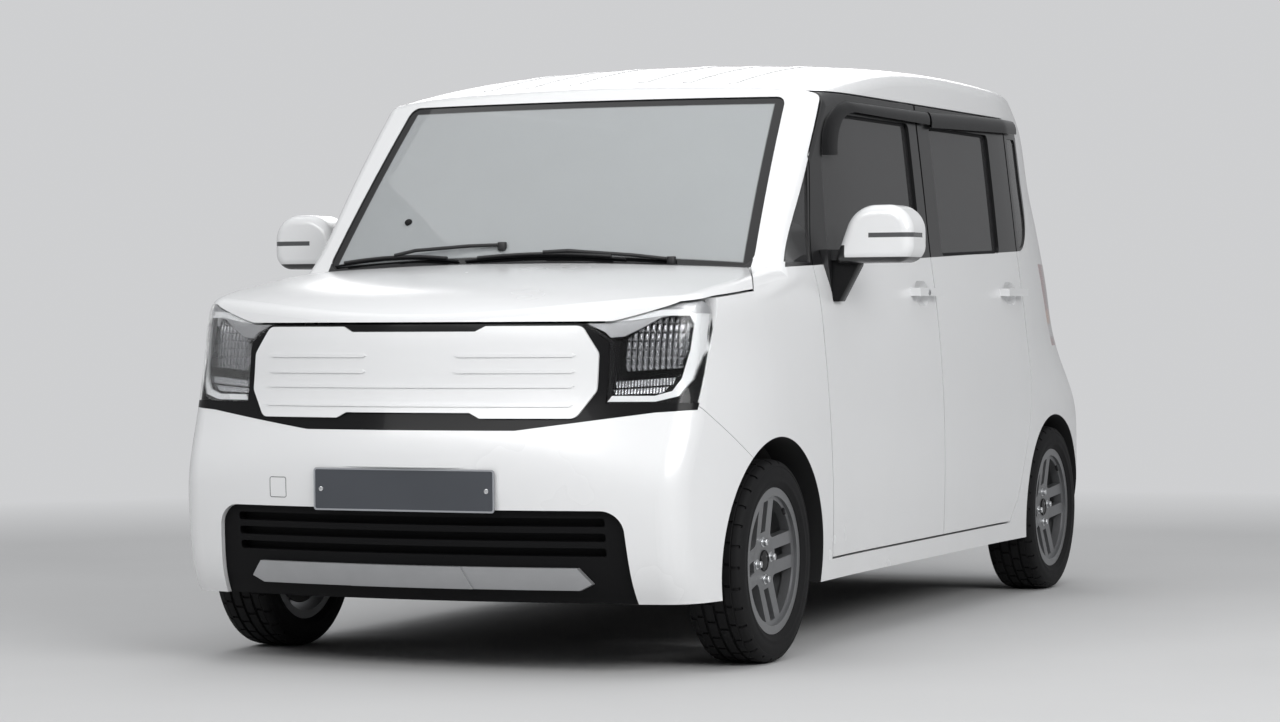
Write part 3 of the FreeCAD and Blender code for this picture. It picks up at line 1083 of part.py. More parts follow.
def floor_pan():
    deck = [box(-CABIN_X, CABIN_X, FIREWALL_Y - FIREWALL_WALL, SEAT_STEP_Y, BODY_FLOOR, FLOOR_Z),
            box(-CABIN_X, CABIN_X, SEAT_STEP_Y - STEP_WALL, SEAT_STEP_Y, BODY_FLOOR, LOAD_FLOOR_Z),
            box(-CABIN_X, CABIN_X, SEAT_STEP_Y, QUARTER_Y, UNDER_FLOOR_Z, LOAD_FLOOR_Z),
            box(-QUARTER_INNER_X, QUARTER_INNER_X, QUARTER_Y, LOAD_BACK_Y, UNDER_FLOOR_Z, LOAD_FLOOR_Z),
            box(-QUARTER_INNER_X, QUARTER_INNER_X, REAR_SILL_Y, LOAD_BACK_Y, UNDER_FLOOR_Z, REAR_SILL_Z),
            box(-DOOR_INNER_X, DOOR_INNER_X, FIREWALL_Y - FIREWALL_WALL, FIREWALL_Y, BODY_FLOOR, COWL_LOW_Z),
            box(-TUNNEL_HALF, TUNNEL_HALF, FIREWALL_Y, SEAT_STEP_Y, BODY_FLOOR, TUNNEL_TOP_Z)]
    edge = box(0, DOOR_INNER_X, -FAR_Y, 0, 0, FAR_Z).fuse(box(0, CABIN_X, 0, QUARTER_Y, 0, FAR_Z))
    edge = edge.fuse(box(0, QUARTER_INNER_X, QUARTER_Y, LOAD_BACK_Y - 2 * LINER_WALL, 0, FAR_Z))
    above = box(0, FAR_X, -FAR_Y, FAR_Y, BODY_FLOOR, FAR_Z)
    rear_liner = REAR_LINER.cut(box(0, REAR_LINER_X, -FAR_Y, FAR_Y, 0, UNDER_FLOOR_Z))
    left = [liner.common(edge).common(above) for liner in (FRONT_LINER, rear_liner)]
    left[0] = left[0].common(box(0, FAR_X, -FAR_Y, FIREWALL_Y, 0, FAR_Z).fuse(box(0, CABIN_X, -FAR_Y, 0, 0, FAR_Z)))
    left.append(box(RAIL_IN_X, RAIL_OUT_X, RAIL_FRONT_Y, FIREWALL_Y, RAIL_LOW_Z, RAIL_TOP_Z))
    left.append(rod(on_kingpin(STRUT_LOW_Z + TOWER_RADIUS), on_kingpin(TOWER_TOP_Z), TOWER_RADIUS))
    cross = [box(-SUPPORT_HALF, SUPPORT_HALF, RAIL_FRONT_Y - BEAM_WALL, RAIL_FRONT_Y, z, z + 2 * BEAM_WALL)
             for z in (RAIL_LOW_Z, SUPPORT_TOP_Z - 2 * BEAM_WALL)]
    uprights = [box(x, x + 2 * BEAM_WALL, RAIL_FRONT_Y - BEAM_WALL, RAIL_FRONT_Y, RAIL_LOW_Z, SUPPORT_TOP_Z)
                for x in (-SUPPORT_HALF, SUPPORT_HALF - 2 * BEAM_WALL)]
    stops = [Part.makeCylinder(STOP_RADIUS, HOOD_RISE, V(x, STOP_Y, SUPPORT_TOP_Z)).cut(hood_region(SEAT_GAP))
             for x in (-STOP_X, STOP_X)]
    whole = joined(deck + left + [mirrored(s) for s in left] + cross + uprights + stops)
    hollow = [box(TUNNEL_WALL - TUNNEL_HALF, TUNNEL_HALF - TUNNEL_WALL, FIREWALL_Y - FIREWALL_WALL, SEAT_STEP_Y,
                  0, TUNNEL_TOP_Z - TUNNEL_WALL)]
    bore = rod(on_kingpin(0), on_kingpin(TOWER_TOP_Z - TOWER_WALL), TOWER_RADIUS - TOWER_WALL)
    return whole.cut(ALL_ARCHES + hollow + [bore, mirrored(bore), NOSE])


FLOOR = floor_pan()
keep("floor_pan", FLOOR)


# Engine, exhaust and fuel tank
ENGINE_REAR_Y = -1010.0
ENGINE_FRONT_Y = -1470.0
ENGINE_LOW_Z = 262.0
ENGINE_TOP_Z = 760.0
TANK_HALF = 400.0
TANK_FRONT_Y = 612.0
TANK_REAR_Y = 960.0
TANK_DEPTH = 130.0
TANK_ROUND = 40.0
PIPE_RADIUS = 24.0
PIPE_Z = 262.0
PIPE_SIDE_X = -440.0
PIPE_ARCH_Z = 296.0
MUFFLER_RADIUS = 62.0
MUFFLER_Y = 1480.0
MUFFLER_END_X = -150.0
HANGER = 14.0

keep("engine_block", box(-RAIL_IN_X, RAIL_IN_X, ENGINE_FRONT_Y, ENGINE_REAR_Y, ENGINE_LOW_Z, ENGINE_TOP_Z))
TANK = box(-TANK_HALF, TANK_HALF, TANK_FRONT_Y, TANK_REAR_Y, UNDER_FLOOR_Z - TANK_DEPTH, UNDER_FLOOR_Z)
TANK_LOW_EDGES = [e for e in TANK.Edges if e.CenterOfMass.z < UNDER_FLOOR_Z - SEAT_GAP]
keep("fuel_tank", TANK.makeFillet(TANK_ROUND, TANK_LOW_EDGES))


def pipe(points, radius):
    """Round pipe through points with ball corners."""
    runs = [rod(a, b, radius) for a, b in zip(points, points[1:])]
    corners = [Part.makeSphere(radius, p) for p in points[1:-1]]
    return joined(runs + corners)


def exhaust():
    """Pipe down the tunnel, round the tank and over the rear beam, to the muffler under the load floor."""
    side_y = (SEAT_STEP_Y + TANK_FRONT_Y) / 2
    route = [V(0, ENGINE_REAR_Y, PIPE_Z), V(0, side_y, PIPE_Z), V(PIPE_SIDE_X, side_y, PIPE_Z),
             V(PIPE_SIDE_X, TANK_REAR_Y, PIPE_Z), V(PIPE_SIDE_X, REAR_PIVOT_Y, PIPE_ARCH_Z),
             V(PIPE_SIDE_X, MUFFLER_Y, PIPE_ARCH_Z)]
    muffler_z = UNDER_FLOOR_Z - MUFFLER_RADIUS - HANGER
    muffler = rod(V(PIPE_SIDE_X - MUFFLER_RADIUS / 2, MUFFLER_Y, muffler_z), V(MUFFLER_END_X, MUFFLER_Y, muffler_z),
                  MUFFLER_RADIUS)
    tail = pipe([V(MUFFLER_END_X - MUFFLER_RADIUS, MUFFLER_Y, muffler_z - PIPE_RADIUS),
                 V(MUFFLER_END_X - MUFFLER_RADIUS, LOAD_BACK_Y - PIPE_RADIUS, muffler_z - PIPE_RADIUS)], PIPE_RADIUS)
    hangers = [box(x, x + HANGER, MUFFLER_Y - HANGER, MUFFLER_Y + HANGER, muffler_z, UNDER_FLOOR_Z)
               for x in (PIPE_SIDE_X, MUFFLER_END_X - MUFFLER_RADIUS)]
    return joined([pipe(route, PIPE_RADIUS), muffler, tail] + hangers)


# Front suspension: cross beam and lower arms
BEAM_FRONT_Y = -1215.0
BEAM_REAR_Y = -1095.0
BEAM_LOW_Z = 198.0
BEAM_TOP_Z = 250.0
BALL_RADIUS = 22.0
BALL_TOP_Z = 184.0
ARM_WALL = 24.0
ARM_ROOT_HALF = 95.0


def front_suspension():
    beam = box(-RAIL_IN_X, RAIL_IN_X, BEAM_FRONT_Y, BEAM_REAR_Y, BEAM_LOW_Z, BEAM_TOP_Z)
    hangers = [box(x, x + BEAM_WALL, BEAM_FRONT_Y, BEAM_REAR_Y, BEAM_LOW_Z, RAIL_LOW_Z)
               for x in (RAIL_IN_X, -RAIL_IN_X - BEAM_WALL)]
    ball = on_kingpin(KINGPIN_LOW.z - BALL_RADIUS)
    low = BEAM_LOW_Z
    arm = plan_prism([(RAIL_IN_X, FRONT_AXLE_Y - ARM_ROOT_HALF), (ball.x, FRONT_AXLE_Y - BALL_RADIUS),
                      (ball.x, FRONT_AXLE_Y + BALL_RADIUS), (RAIL_IN_X, FRONT_AXLE_Y + ARM_ROOT_HALF)],
                     low - ARM_WALL * 2, low - ARM_WALL)
    drop = box(RAIL_IN_X, RAIL_IN_X + BEAM_WALL, FRONT_AXLE_Y - ARM_ROOT_HALF / 2, FRONT_AXLE_Y + ARM_ROOT_HALF / 2,
               low - ARM_WALL * 2, low)
    boss = rod(on_kingpin(low - ARM_WALL * 2), on_kingpin(BALL_TOP_Z), BALL_RADIUS)
    left = [arm, drop, boss]
    return joined([beam] + hangers + left + [mirrored(s) for s in left])


SUSPENSION = front_suspension()
keep("front_suspension", SUSPENSION)

# Knuckle with its strut, turning on the steering axis
SPINDLE_RADIUS = 14.0
BEARING_GAP = 0.3
HUB_RADIUS = 34.0
HUB_IN = 46.0
KNUCKLE_TOP_Z = 400.0
SPRING_TOP_Z = 770.0
DISC_RADIUS = 118.0
DISC_WALL = 12.0
WHEEL_FRONT_X = TRACK_FRONT / 2
WHEEL_REAR_X = TRACK_REAR / 2


def knuckle():
    upright = rod(on_kingpin(BALL_TOP_Z + BEARING_GAP), on_kingpin(KNUCKLE_TOP_Z), STRUT_RADIUS)
    strut = rod(on_kingpin(STRUT_LOW_Z), on_kingpin(SPRING_TOP_Z), STRUT_RADIUS)
    spindle = rod(V(on_kingpin(HUB_Z).x, FRONT_AXLE_Y, HUB_Z), V(WHEEL_FRONT_X - BEARING_GAP, FRONT_AXLE_Y, HUB_Z),
                  SPINDLE_RADIUS)
    hub_end = V(WHEEL_FRONT_X - HUB_IN - BEARING_GAP, FRONT_AXLE_Y, HUB_Z)
    carrier = rod(V(on_kingpin(HUB_Z).x, FRONT_AXLE_Y, HUB_Z), hub_end, HUB_RADIUS + SPINDLE_RADIUS)
    return joined([upright, strut, spindle, carrier])


KNUCKLE = knuckle()
keep("knuckle_left", KNUCKLE)
keep("knuckle_right", mirrored(KNUCKLE))

# Rear axle: a twist beam with two trailing arms
REAR_BEAM_Y = 1120.0
REAR_BEAM_Z = 240.0
REAR_BEAM_RADIUS = 26.0
REAR_ARM_X = 560.0
REAR_ARM_WALL = 36.0
REAR_ARM_HEIGHT = 60.0
REAR_PIVOT_Y = 1010.0
REAR_PIVOT_X = 480.0


def rear_axle():
    beam = rod(V(-REAR_ARM_X, REAR_BEAM_Y, REAR_BEAM_Z), V(REAR_ARM_X, REAR_BEAM_Y, REAR_BEAM_Z), REAR_BEAM_RADIUS)
    arm = box(REAR_ARM_X - REAR_ARM_WALL / 2, REAR_ARM_X + REAR_ARM_WALL / 2, REAR_BEAM_Y - REAR_ARM_HEIGHT,
              REAR_AXLE_Y + REAR_ARM_HEIGHT, REAR_BEAM_Z - REAR_ARM_HEIGHT / 2, REAR_BEAM_Z + REAR_ARM_HEIGHT / 2)
    pivot = rod(V(REAR_PIVOT_X, REAR_PIVOT_Y, REAR_BEAM_Z), V(REAR_ARM_X, REAR_PIVOT_Y, REAR_BEAM_Z),
                REAR_BEAM_RADIUS)
    link = box(REAR_PIVOT_X, REAR_PIVOT_X + REAR_ARM_WALL, REAR_PIVOT_Y, REAR_BEAM_Y,
               REAR_BEAM_Z - REAR_BEAM_RADIUS, REAR_BEAM_Z + REAR_BEAM_RADIUS)
    hanger = box(REAR_PIVOT_X, REAR_PIVOT_X + REAR_ARM_WALL, REAR_PIVOT_Y - REAR_BEAM_RADIUS,
                 REAR_PIVOT_Y + REAR_BEAM_RADIUS, REAR_BEAM_Z, UNDER_FLOOR_Z)
    spindle = rod(V(REAR_ARM_X, REAR_AXLE_Y, HUB_Z), V(WHEEL_REAR_X - BEARING_GAP, REAR_AXLE_Y, HUB_Z),
                  SPINDLE_RADIUS)
    carrier = rod(V(REAR_ARM_X, REAR_AXLE_Y, HUB_Z), V(WHEEL_REAR_X - HUB_IN - BEARING_GAP, REAR_AXLE_Y, HUB_Z),
                  HUB_RADIUS + SPINDLE_RADIUS)
    left = [arm, pivot, link, hanger, spindle, carrier]
    return joined([beam] + left + [mirrored(s) for s in left])


REAR_AXLE = rear_axle()
EXHAUST = exhaust()
keep("exhaust", EXHAUST)
keep("rear_axle", REAR_AXLE)

# Wheels
SEAT_RADIUS = 182.0
BARREL_RADIUS = 172.0
FLANGE_WALL = 5.0
FACE_OUT = 60.0
FACE_IN = 16.0
DISH = 18.0
ARM_SPAN = 100.0
SPOKE = 34.0
SLOT_START = 76.0
SLOT_END = 160.0
ARM_TURN = 8.0
SHOULDER_ROUND = 26.0
SIDEWALL_BULGE_RADIUS = 238.0
TREAD_WIDTH = 128.0
BEAD_GAP = 0.3


def turned(profile):
    """Solid of revolution about the X axis from (x, radius) points."""
    wire = outline_wire(profile, lambda p: V(p.x, 0, p.y))
    return Part.Face(wire).revolve(V(0, 0, 0), V(1, 0, 0), 360)


def tyre():
    bead = RIM_WIDTH / 2 - FLANGE_WALL - BEAD_GAP
    inner = SEAT_RADIUS + BEAD_GAP
    half = [(bead, inner), (bead, RIM_RADIUS + BEAD_GAP), (TYRE_WIDTH / 2, SIDEWALL_BULGE_RADIUS, SHOULDER_ROUND),
            (TREAD_WIDTH / 2 + SHOULDER_ROUND / 2, TYRE_RADIUS, SHOULDER_ROUND / 2)]
    other = [(-p[0],) + p[1:] for p in reversed(half)]
    return turned(half + other)


def rim():
    half = RIM_WIDTH / 2
    barrel = turned([(-half, BARREL_RADIUS), (half, BARREL_RADIUS), (half, RIM_RADIUS),
                     (half - FLANGE_WALL, RIM_RADIUS), (half - FLANGE_WALL, SEAT_RADIUS),
                     (FLANGE_WALL - half, SEAT_RADIUS), (FLANGE_WALL - half, RIM_RADIUS), (-half, RIM_RADIUS)])
    face = turned([(FACE_IN, 0), (FACE_OUT - DISH, 0), (FACE_OUT - DISH, 2 * HUB_RADIUS), (FACE_OUT, BARREL_RADIUS),
                   (FACE_IN + DISH, BARREL_RADIUS), (FACE_IN, 2 * HUB_RADIUS)])
    hub = rod(V(-HUB_IN, 0, 0), V(FACE_OUT - DISH, 0, 0), HUB_RADIUS)
    disc = rod(V(-HUB_IN, 0, 0), V(DISC_WALL - HUB_IN, 0, 0), DISC_RADIUS)
    near = ARM_SPAN / 2
    far = 2 * BARREL_RADIUS
    corner = [(near, near, DISH), (far, near, DISH / 2), (near, far, DISH / 2)]
    window = side_prism(corner, -TYRE_WIDTH, TYRE_WIDTH)
    window = window.common(rod(V(FACE_IN - FACE_OUT, 0, 0), V(TYRE_WIDTH, 0, 0), BARREL_RADIUS - DISH / 2))
    slot_half = (ARM_SPAN - 2 * SPOKE) / 2
    slot = box(FACE_IN - FACE_OUT, TYRE_WIDTH, -slot_half, slot_half, SLOT_START, SLOT_END)
    windows = []
    for i in range(4):
        for cut in (window, slot):
            copy = cut.copy()
            copy.rotate(V(0, 0, 0), V(1, 0, 0), i * 90 + ARM_TURN)
            windows.append(copy)
    face = face.cut(windows)
    bore = rod(V(-TYRE_WIDTH, 0, 0), V(0, 0, 0), SPINDLE_RADIUS + BEARING_GAP)
    return joined([barrel, face, hub, disc]).cut(bore)


TYRE = tyre()
RIM = rim()
for place, x, y in (("front", WHEEL_FRONT_X, FRONT_AXLE_Y), ("rear", WHEEL_REAR_X, REAR_AXLE_Y)):
    for kind, shape in (("tyre", TYRE), ("rim", RIM)):
        keep(kind + "_" + place + "_left", moved(shape, x, y, HUB_Z))
        keep(kind + "_" + place + "_right", mirrored(moved(shape, x, y, HUB_Z)))

# Dashboard and steering wheel
DASH_TOP_Z = 1044.0
DASH_LOW_Z = 690.0
DASH_REAR_Y = -650.0
DASH_ROUND = 40.0
DASH_HALF = 640.0
CONSOLE_HALF = 120.0
WHEEL_X = 350.0
WHEEL_Y = -520.0
WHEEL_Z = 940.0
WHEEL_RADIUS = 178.0
WHEEL_GRIP = 14.0
WHEEL_HUB = 60.0
WHEEL_TILT = 26.0
WHEEL_HUB_WALL = 42.0
COLUMN_RADIUS = 34.0
COLUMN_LENGTH = 150.0
COLUMN_AXIS = V(0, math.cos(math.radians(WHEEL_TILT)), math.sin(math.radians(WHEEL_TILT)))
WHEEL_CENTRE = V(WHEEL_X, WHEEL_Y, WHEEL_Z)


def dashboard():
    profile = [(FIREWALL_Y, DASH_LOW_Z), (FIREWALL_Y, DASH_TOP_Z),
               (DASH_REAR_Y - 4 * DASH_ROUND, DASH_TOP_Z, DASH_ROUND),
               (DASH_REAR_Y, DASH_TOP_Z - DASH_ROUND, DASH_ROUND),
               (DASH_REAR_Y - DASH_ROUND, DASH_LOW_Z + 2 * DASH_ROUND),
               (DASH_REAR_Y - 3 * DASH_ROUND, DASH_LOW_Z, DASH_ROUND)]
    body = side_prism(profile, -DASH_HALF, DASH_HALF)
    console = box(-CONSOLE_HALF, CONSOLE_HALF, DASH_REAR_Y - 3 * DASH_ROUND, DASH_REAR_Y - DASH_ROUND,
                  TUNNEL_TOP_Z, DASH_LOW_Z + DASH_ROUND)
    start = WHEEL_CENTRE - COLUMN_AXIS * (WHEEL_HUB_WALL / 2 + BEARING_GAP)
    column = rod(start, start - COLUMN_AXIS * COLUMN_LENGTH, COLUMN_RADIUS)
    liners = [FRONT_LINER, mirrored(FRONT_LINER)]
    return joined([body, console, column]).cut(liners)


def steering_wheel():
    grip = Part.makeTorus(WHEEL_RADIUS - WHEEL_GRIP, WHEEL_GRIP, V(0, 0, 0), V(0, 0, 1))
    hub = Part.makeCylinder(WHEEL_HUB, WHEEL_HUB_WALL, V(0, 0, -WHEEL_HUB_WALL / 2))
    reach = WHEEL_RADIUS - WHEEL_GRIP
    spokes = [box(-reach, reach, -WHEEL_GRIP * 1.5, WHEEL_GRIP * 1.5, -WHEEL_GRIP / 2, WHEEL_GRIP / 2),
              box(-WHEEL_GRIP * 1.5, WHEEL_GRIP * 1.5, -reach, 0, -WHEEL_GRIP / 2, WHEEL_GRIP / 2)]
    wheel = grip.multiFuse([hub] + spokes).removeSplitter()
    wheel.rotate(V(0, 0, 0), V(1, 0, 0), WHEEL_TILT - 90)
    return moved(wheel, WHEEL_X, WHEEL_Y, WHEEL_Z)


DASH = dashboard()
STEER = steering_wheel()
keep("dashboard", DASH)
keep("steering_wheel", STEER)

# Seats
SEAT_X = 345.0
SEAT_HALF = 245.0
CUSHION_FRONT_Y = -330.0
CUSHION_REAR_Y = 190.0
CUSHION_LOW_Z = 430.0
CUSHION_TOP_Z = 575.0
SEAT_ROUND = 45.0
BACK_WALL = 120.0
BACK_TOP_Z = 1085.0
BACK_LEAN = 130.0
HEAD_HALF = 125.0
HEAD_HEIGHT = 150.0
HEAD_WALL = 90.0
HEAD_GAP = 12.0
PEG = 6.0
REAR_SEAT_HALF = 500.0
REAR_CUSHION_FRONT_Y = 640.0
REAR_CUSHION_REAR_Y = 1120.0
REAR_CUSHION_TOP_Z = 575.0
REAR_BACK_TOP_Z = 1060.0


def seat(half_width, front, rear, low, cushion_top, back_top):
    """Cushion and back in one, seen from the side."""
    profile = [(front, low, SEAT_ROUND), (front, cushion_top, SEAT_ROUND),
               (rear - BACK_WALL, cushion_top, SEAT_ROUND),
               (rear - BACK_WALL + BACK_LEAN, back_top, SEAT_ROUND), (rear + BACK_LEAN, back_top, SEAT_ROUND),
               (rear, low, SEAT_ROUND)]
    return side_prism(profile, -half_width, half_width)


def headrest(half_width, rear, back_top):
    low = back_top + HEAD_GAP
    middle_y = rear + BACK_LEAN - BACK_WALL / 2
    pad = box(-half_width, half_width, middle_y - HEAD_WALL / 2, middle_y + HEAD_WALL / 2, low, low + HEAD_HEIGHT)
    return pad.makeFillet(SEAT_ROUND / 2, pad.Edges)


FRONT_SEAT = seat(SEAT_HALF, CUSHION_FRONT_Y, CUSHION_REAR_Y, CUSHION_LOW_Z, CUSHION_TOP_Z, BACK_TOP_Z)
keep("front_seats", both_sides(moved(FRONT_SEAT, SEAT_X, 0, 0)))
FRONT_HEAD = moved(headrest(HEAD_HALF, CUSHION_REAR_Y, BACK_TOP_Z), SEAT_X, 0, 0)
keep("rear_seat", seat(REAR_SEAT_HALF, REAR_CUSHION_FRONT_Y, REAR_CUSHION_REAR_Y, LOAD_FLOOR_Z,
                       REAR_CUSHION_TOP_Z, REAR_BACK_TOP_Z))
REAR_HEADS = [moved(headrest(HEAD_HALF, REAR_CUSHION_REAR_Y, REAR_BACK_TOP_Z), x, 0, 0)
              for x in (-REAR_SEAT_HALF / 2, REAR_SEAT_HALF / 2)]


def head_posts(x, rear, back_top):
    middle_y = rear + BACK_LEAN - BACK_WALL / 2
    return [Part.makeCylinder(PEG, HEAD_GAP, V(x + s * HEAD_HALF / 2, middle_y, back_top)) for s in (-1, 1)]


keep("headrests", apart([FRONT_HEAD, mirrored(FRONT_HEAD)] + REAR_HEADS))
POSTS = head_posts(SEAT_X, CUSHION_REAR_Y, BACK_TOP_Z) + head_posts(-SEAT_X, CUSHION_REAR_Y, BACK_TOP_Z)
for x in (-REAR_SEAT_HALF / 2, REAR_SEAT_HALF / 2):
    POSTS += head_posts(x, REAR_CUSHION_REAR_Y, REAR_BACK_TOP_Z)
BASE_HALF = SEAT_HALF - UPPER_WALL
BASES = [box(x - BASE_HALF, x + BASE_HALF, CUSHION_FRONT_Y + 2 * SEAT_ROUND, CUSHION_REAR_Y - 2 * SEAT_ROUND,
             FLOOR_Z, CUSHION_LOW_Z) for x in (-SEAT_X, SEAT_X)]
keep("seat_frames", apart(BASES + POSTS))
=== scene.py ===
"""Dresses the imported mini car: finishes for its pieces, and the small parts modelled on them."""

import math

import bpy
from bpy.props import FloatProperty, FloatVectorProperty, IntProperty, PointerProperty
from mathutils import Matrix, Vector


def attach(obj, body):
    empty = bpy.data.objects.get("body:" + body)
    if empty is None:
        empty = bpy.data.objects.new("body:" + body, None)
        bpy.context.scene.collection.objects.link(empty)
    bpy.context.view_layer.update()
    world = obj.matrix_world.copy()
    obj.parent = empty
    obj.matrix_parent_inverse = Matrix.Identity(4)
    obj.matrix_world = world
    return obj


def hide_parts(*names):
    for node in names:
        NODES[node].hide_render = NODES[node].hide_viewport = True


bl_info = {
    "name": "Tall Mini Car",
    "version": (1, 0, 0),
    "blender": (4, 5, 0),
    "location": "View3D > Sidebar > Mini Car",
    "description": "Finishes, trim, lamps, wheels and cabin of a tall five-door mini car",
    "category": "Object",
}

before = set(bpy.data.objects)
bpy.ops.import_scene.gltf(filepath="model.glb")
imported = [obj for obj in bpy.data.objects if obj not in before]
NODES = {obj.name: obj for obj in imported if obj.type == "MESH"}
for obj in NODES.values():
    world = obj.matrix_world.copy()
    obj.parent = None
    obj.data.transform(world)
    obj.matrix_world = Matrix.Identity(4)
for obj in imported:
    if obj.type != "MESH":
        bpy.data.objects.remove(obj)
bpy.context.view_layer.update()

# The photograph in pixels, and the camera's sensor in millimetres
PHOTO_WIDTH = 1280
PHOTO_HEIGHT = 722
FOCAL_PIXELS = 3380
AXIS_PIXEL = (673.5, 364.2)
SENSOR = 36

# Distances under which doubled points are merged, of a new piece, of a packed one and of a spun one
NEW_MERGE = 0.00002
PACKED_MERGE = 0.00001
SPUN_MERGE = 0.0001


# Selecting and shaping

def settings():
    return bpy.context.scene.mini_car


def deselect_all():
    if bpy.context.mode != "OBJECT":
        bpy.ops.object.mode_set(mode="OBJECT")
    bpy.ops.object.select_all(action="DESELECT")


def select_only(obj):
    deselect_all()
    obj.select_set(True)
    bpy.context.view_layer.objects.active = obj


def apply_place(obj):
    select_only(obj)
    bpy.ops.object.transform_apply(location=True, rotation=True, scale=True)
    return obj


def apply_all(obj):
    select_only(obj)
    for modifier in list(obj.modifiers):
        bpy.ops.object.modifier_apply(modifier=modifier.name)
    return obj


def named(obj, name):
    obj.name = name
    obj.data.name = name
    return obj


def block(name, low, high, bevel=0.0, segments=2):
    """A box between two corners, its edges rounded."""
    deselect_all()
    middle = [(a + b) / 2 for a, b in zip(low, high)]
    size = [abs(b - a) for a, b in zip(low, high)]
    bpy.ops.mesh.primitive_cube_add(size=1, location=middle, scale=size)
    obj = apply_place(named(bpy.context.object, name))
    if bevel:
        round_edges(obj, bevel, segments)
    return obj


def round_edges(obj, width, segments=2, angle=40):
    bevel = obj.modifiers.new("Rounding", "BEVEL")
    bevel.width = width
    bevel.segments = segments
    bevel.limit_method = "ANGLE"
    bevel.angle_limit = math.radians(angle)
    apply_all(obj)
    return smooth(obj)


def smooth(obj, angle=35):
    select_only(obj)
    bpy.ops.object.shade_smooth_by_angle(angle=math.radians(angle))
    return obj


def rod(name, start, end, radius, sides=24, bevel=0.0):
    """Round bar between two points."""
    deselect_all()
    start, end = Vector(start), Vector(end)
    along = end - start
    bpy.ops.mesh.primitive_cylinder_add(vertices=sides, radius=radius, depth=along.length,
                                        location=(start + end) / 2)
    obj = named(bpy.context.object, name)
    obj.rotation_euler = along.to_track_quat("Z", "Y").to_euler()
    apply_place(obj)
    if bevel:
        return round_edges(obj, bevel, 2)
    return smooth(obj)


def rounded_outline(points, steps=5):
    """Outline points with each (a, b, radius) corner turned into an arc."""
    result = []
    count = len(points)
    for i, point in enumerate(points):
        here = Vector(point[:2])
        radius = point[2] if len(point) > 2 else 0
        if not radius:
            result.append(here)
            continue
        before = (Vector(points[i - 1][:2]) - here).normalized()
        after = (Vector(points[(i + 1) % count][:2]) - here).normalized()
        half = before.angle(after) / 2
        centre = here + (before + after).normalized() * (radius / math.sin(half))
        start = here + before * (radius / math.tan(half)) - centre
        turn = start.angle_signed(here + after * (radius / math.tan(half)) - centre)
        for k in range(steps + 1):
            swing = Matrix.Rotation(-turn * k / steps, 2)
            result.append(centre + swing @ start)
    return result


VIEW_AXES = {
    "front": Matrix(((1, 0, 0), (0, 0, -1), (0, 1, 0))),
    "side": Matrix(((0, 0, 1), (1, 0, 0), (0, 1, 0))),
}


def cut_plate(name, points, view, near, far, bevel=0.0):
    """Plate over an outline seen from the front (x, z) or the side (y, z)."""
    curve = bpy.data.curves.new(name, "CURVE")
    curve.dimensions = "2D"
    curve.fill_mode = "BOTH"
    spline = curve.splines.new("POLY")
    outline = rounded_outline(points)
    spline.points.add(len(outline) - 1)
    for corner, place in zip(spline.points, outline):
        corner.co = (place.x, place.y, 0, 1)
    spline.use_cyclic_u = True
    curve.extrude = abs(far - near) / 2 - bevel
    curve.bevel_depth = bevel
    curve.offset = -bevel
    curve.bevel_resolution = 1
    obj = bpy.data.objects.new(name, curve)
    bpy.context.collection.objects.link(obj)
    select_only(obj)
    bpy.ops.object.convert(target="MESH")
    obj = bpy.context.object
    middle = (near + far) / 2
    shift = (0, middle, 0) if view == "front" else (middle, 0, 0)
    obj.matrix_world = Matrix.Translation(shift) @ VIEW_AXES[view].to_4x4()
    apply_place(obj)
    return closed(named(obj, name))


def closed(obj):
    """Merge doubles and turn the faces outwards."""
    select_only(obj)
    bpy.ops.object.mode_set(mode="EDIT")
    bpy.ops.mesh.select_all(action="SELECT")
    bpy.ops.mesh.remove_doubles(threshold=NEW_MERGE)
    bpy.ops.mesh.normals_make_consistent(inside=False)
    bpy.ops.object.mode_set(mode="OBJECT")
    return obj


def copy_of(node, name, shift=(0, 0, 0)):
    """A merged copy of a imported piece, moved by shift."""
    source = NODES[node]
    obj = bpy.data.objects.new(name, source.data.copy())
    bpy.context.collection.objects.link(obj)
    obj.data.name = name
    obj.matrix_world = Matrix.Translation(shift)
    apply_place(obj)
    obj.data.materials.clear()
    select_only(obj)
    bpy.ops.object.mode_set(mode="EDIT")
    bpy.ops.mesh.select_all(action="SELECT")
    bpy.ops.mesh.remove_doubles(threshold=PACKED_MERGE)
    bpy.ops.object.mode_set(mode="OBJECT")
    return obj


def combine(obj, tool, how):
    """Boolean of two pieces; the tool is used up."""
    boolean = obj.modifiers.new("Cut", "BOOLEAN")
    boolean.operation = how
    boolean.solver = "EXACT"
    boolean.object = tool
    apply_all(obj)
    bpy.data.objects.remove(tool, do_unlink=True)
    return obj


def skin_part(name, node, points, view, near, far, shift):
    """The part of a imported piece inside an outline, lifted off it by shift."""
    obj = copy_of(node, name, shift)
    return smooth(combine(obj, cut_plate(name + "_outline", points, view, near, far), "INTERSECT"), 30)


def inset(points, width):
    """The outline moved inwards (an anticlockwise one) by width."""
    result = []
    count = len(points)
    for i, (a, b) in enumerate(points):
        before = (Vector((a, b)) - Vector(points[i - 1])).normalized()
        after = (Vector(points[(i + 1) % count]) - Vector((a, b))).normalized()
        first, second = Vector((-before.y, before.x)), Vector((-after.y, after.x))
        move = (first + second) * (width / (1 + first.dot(second)))
        result.append((a + move.x, b + move.y))
    return result


def rounded(points, radius):
    return [(a, b, radius) for a, b in points]


RING_OVERCUT = 0.01
SMALLEST_CORNER = 0.001


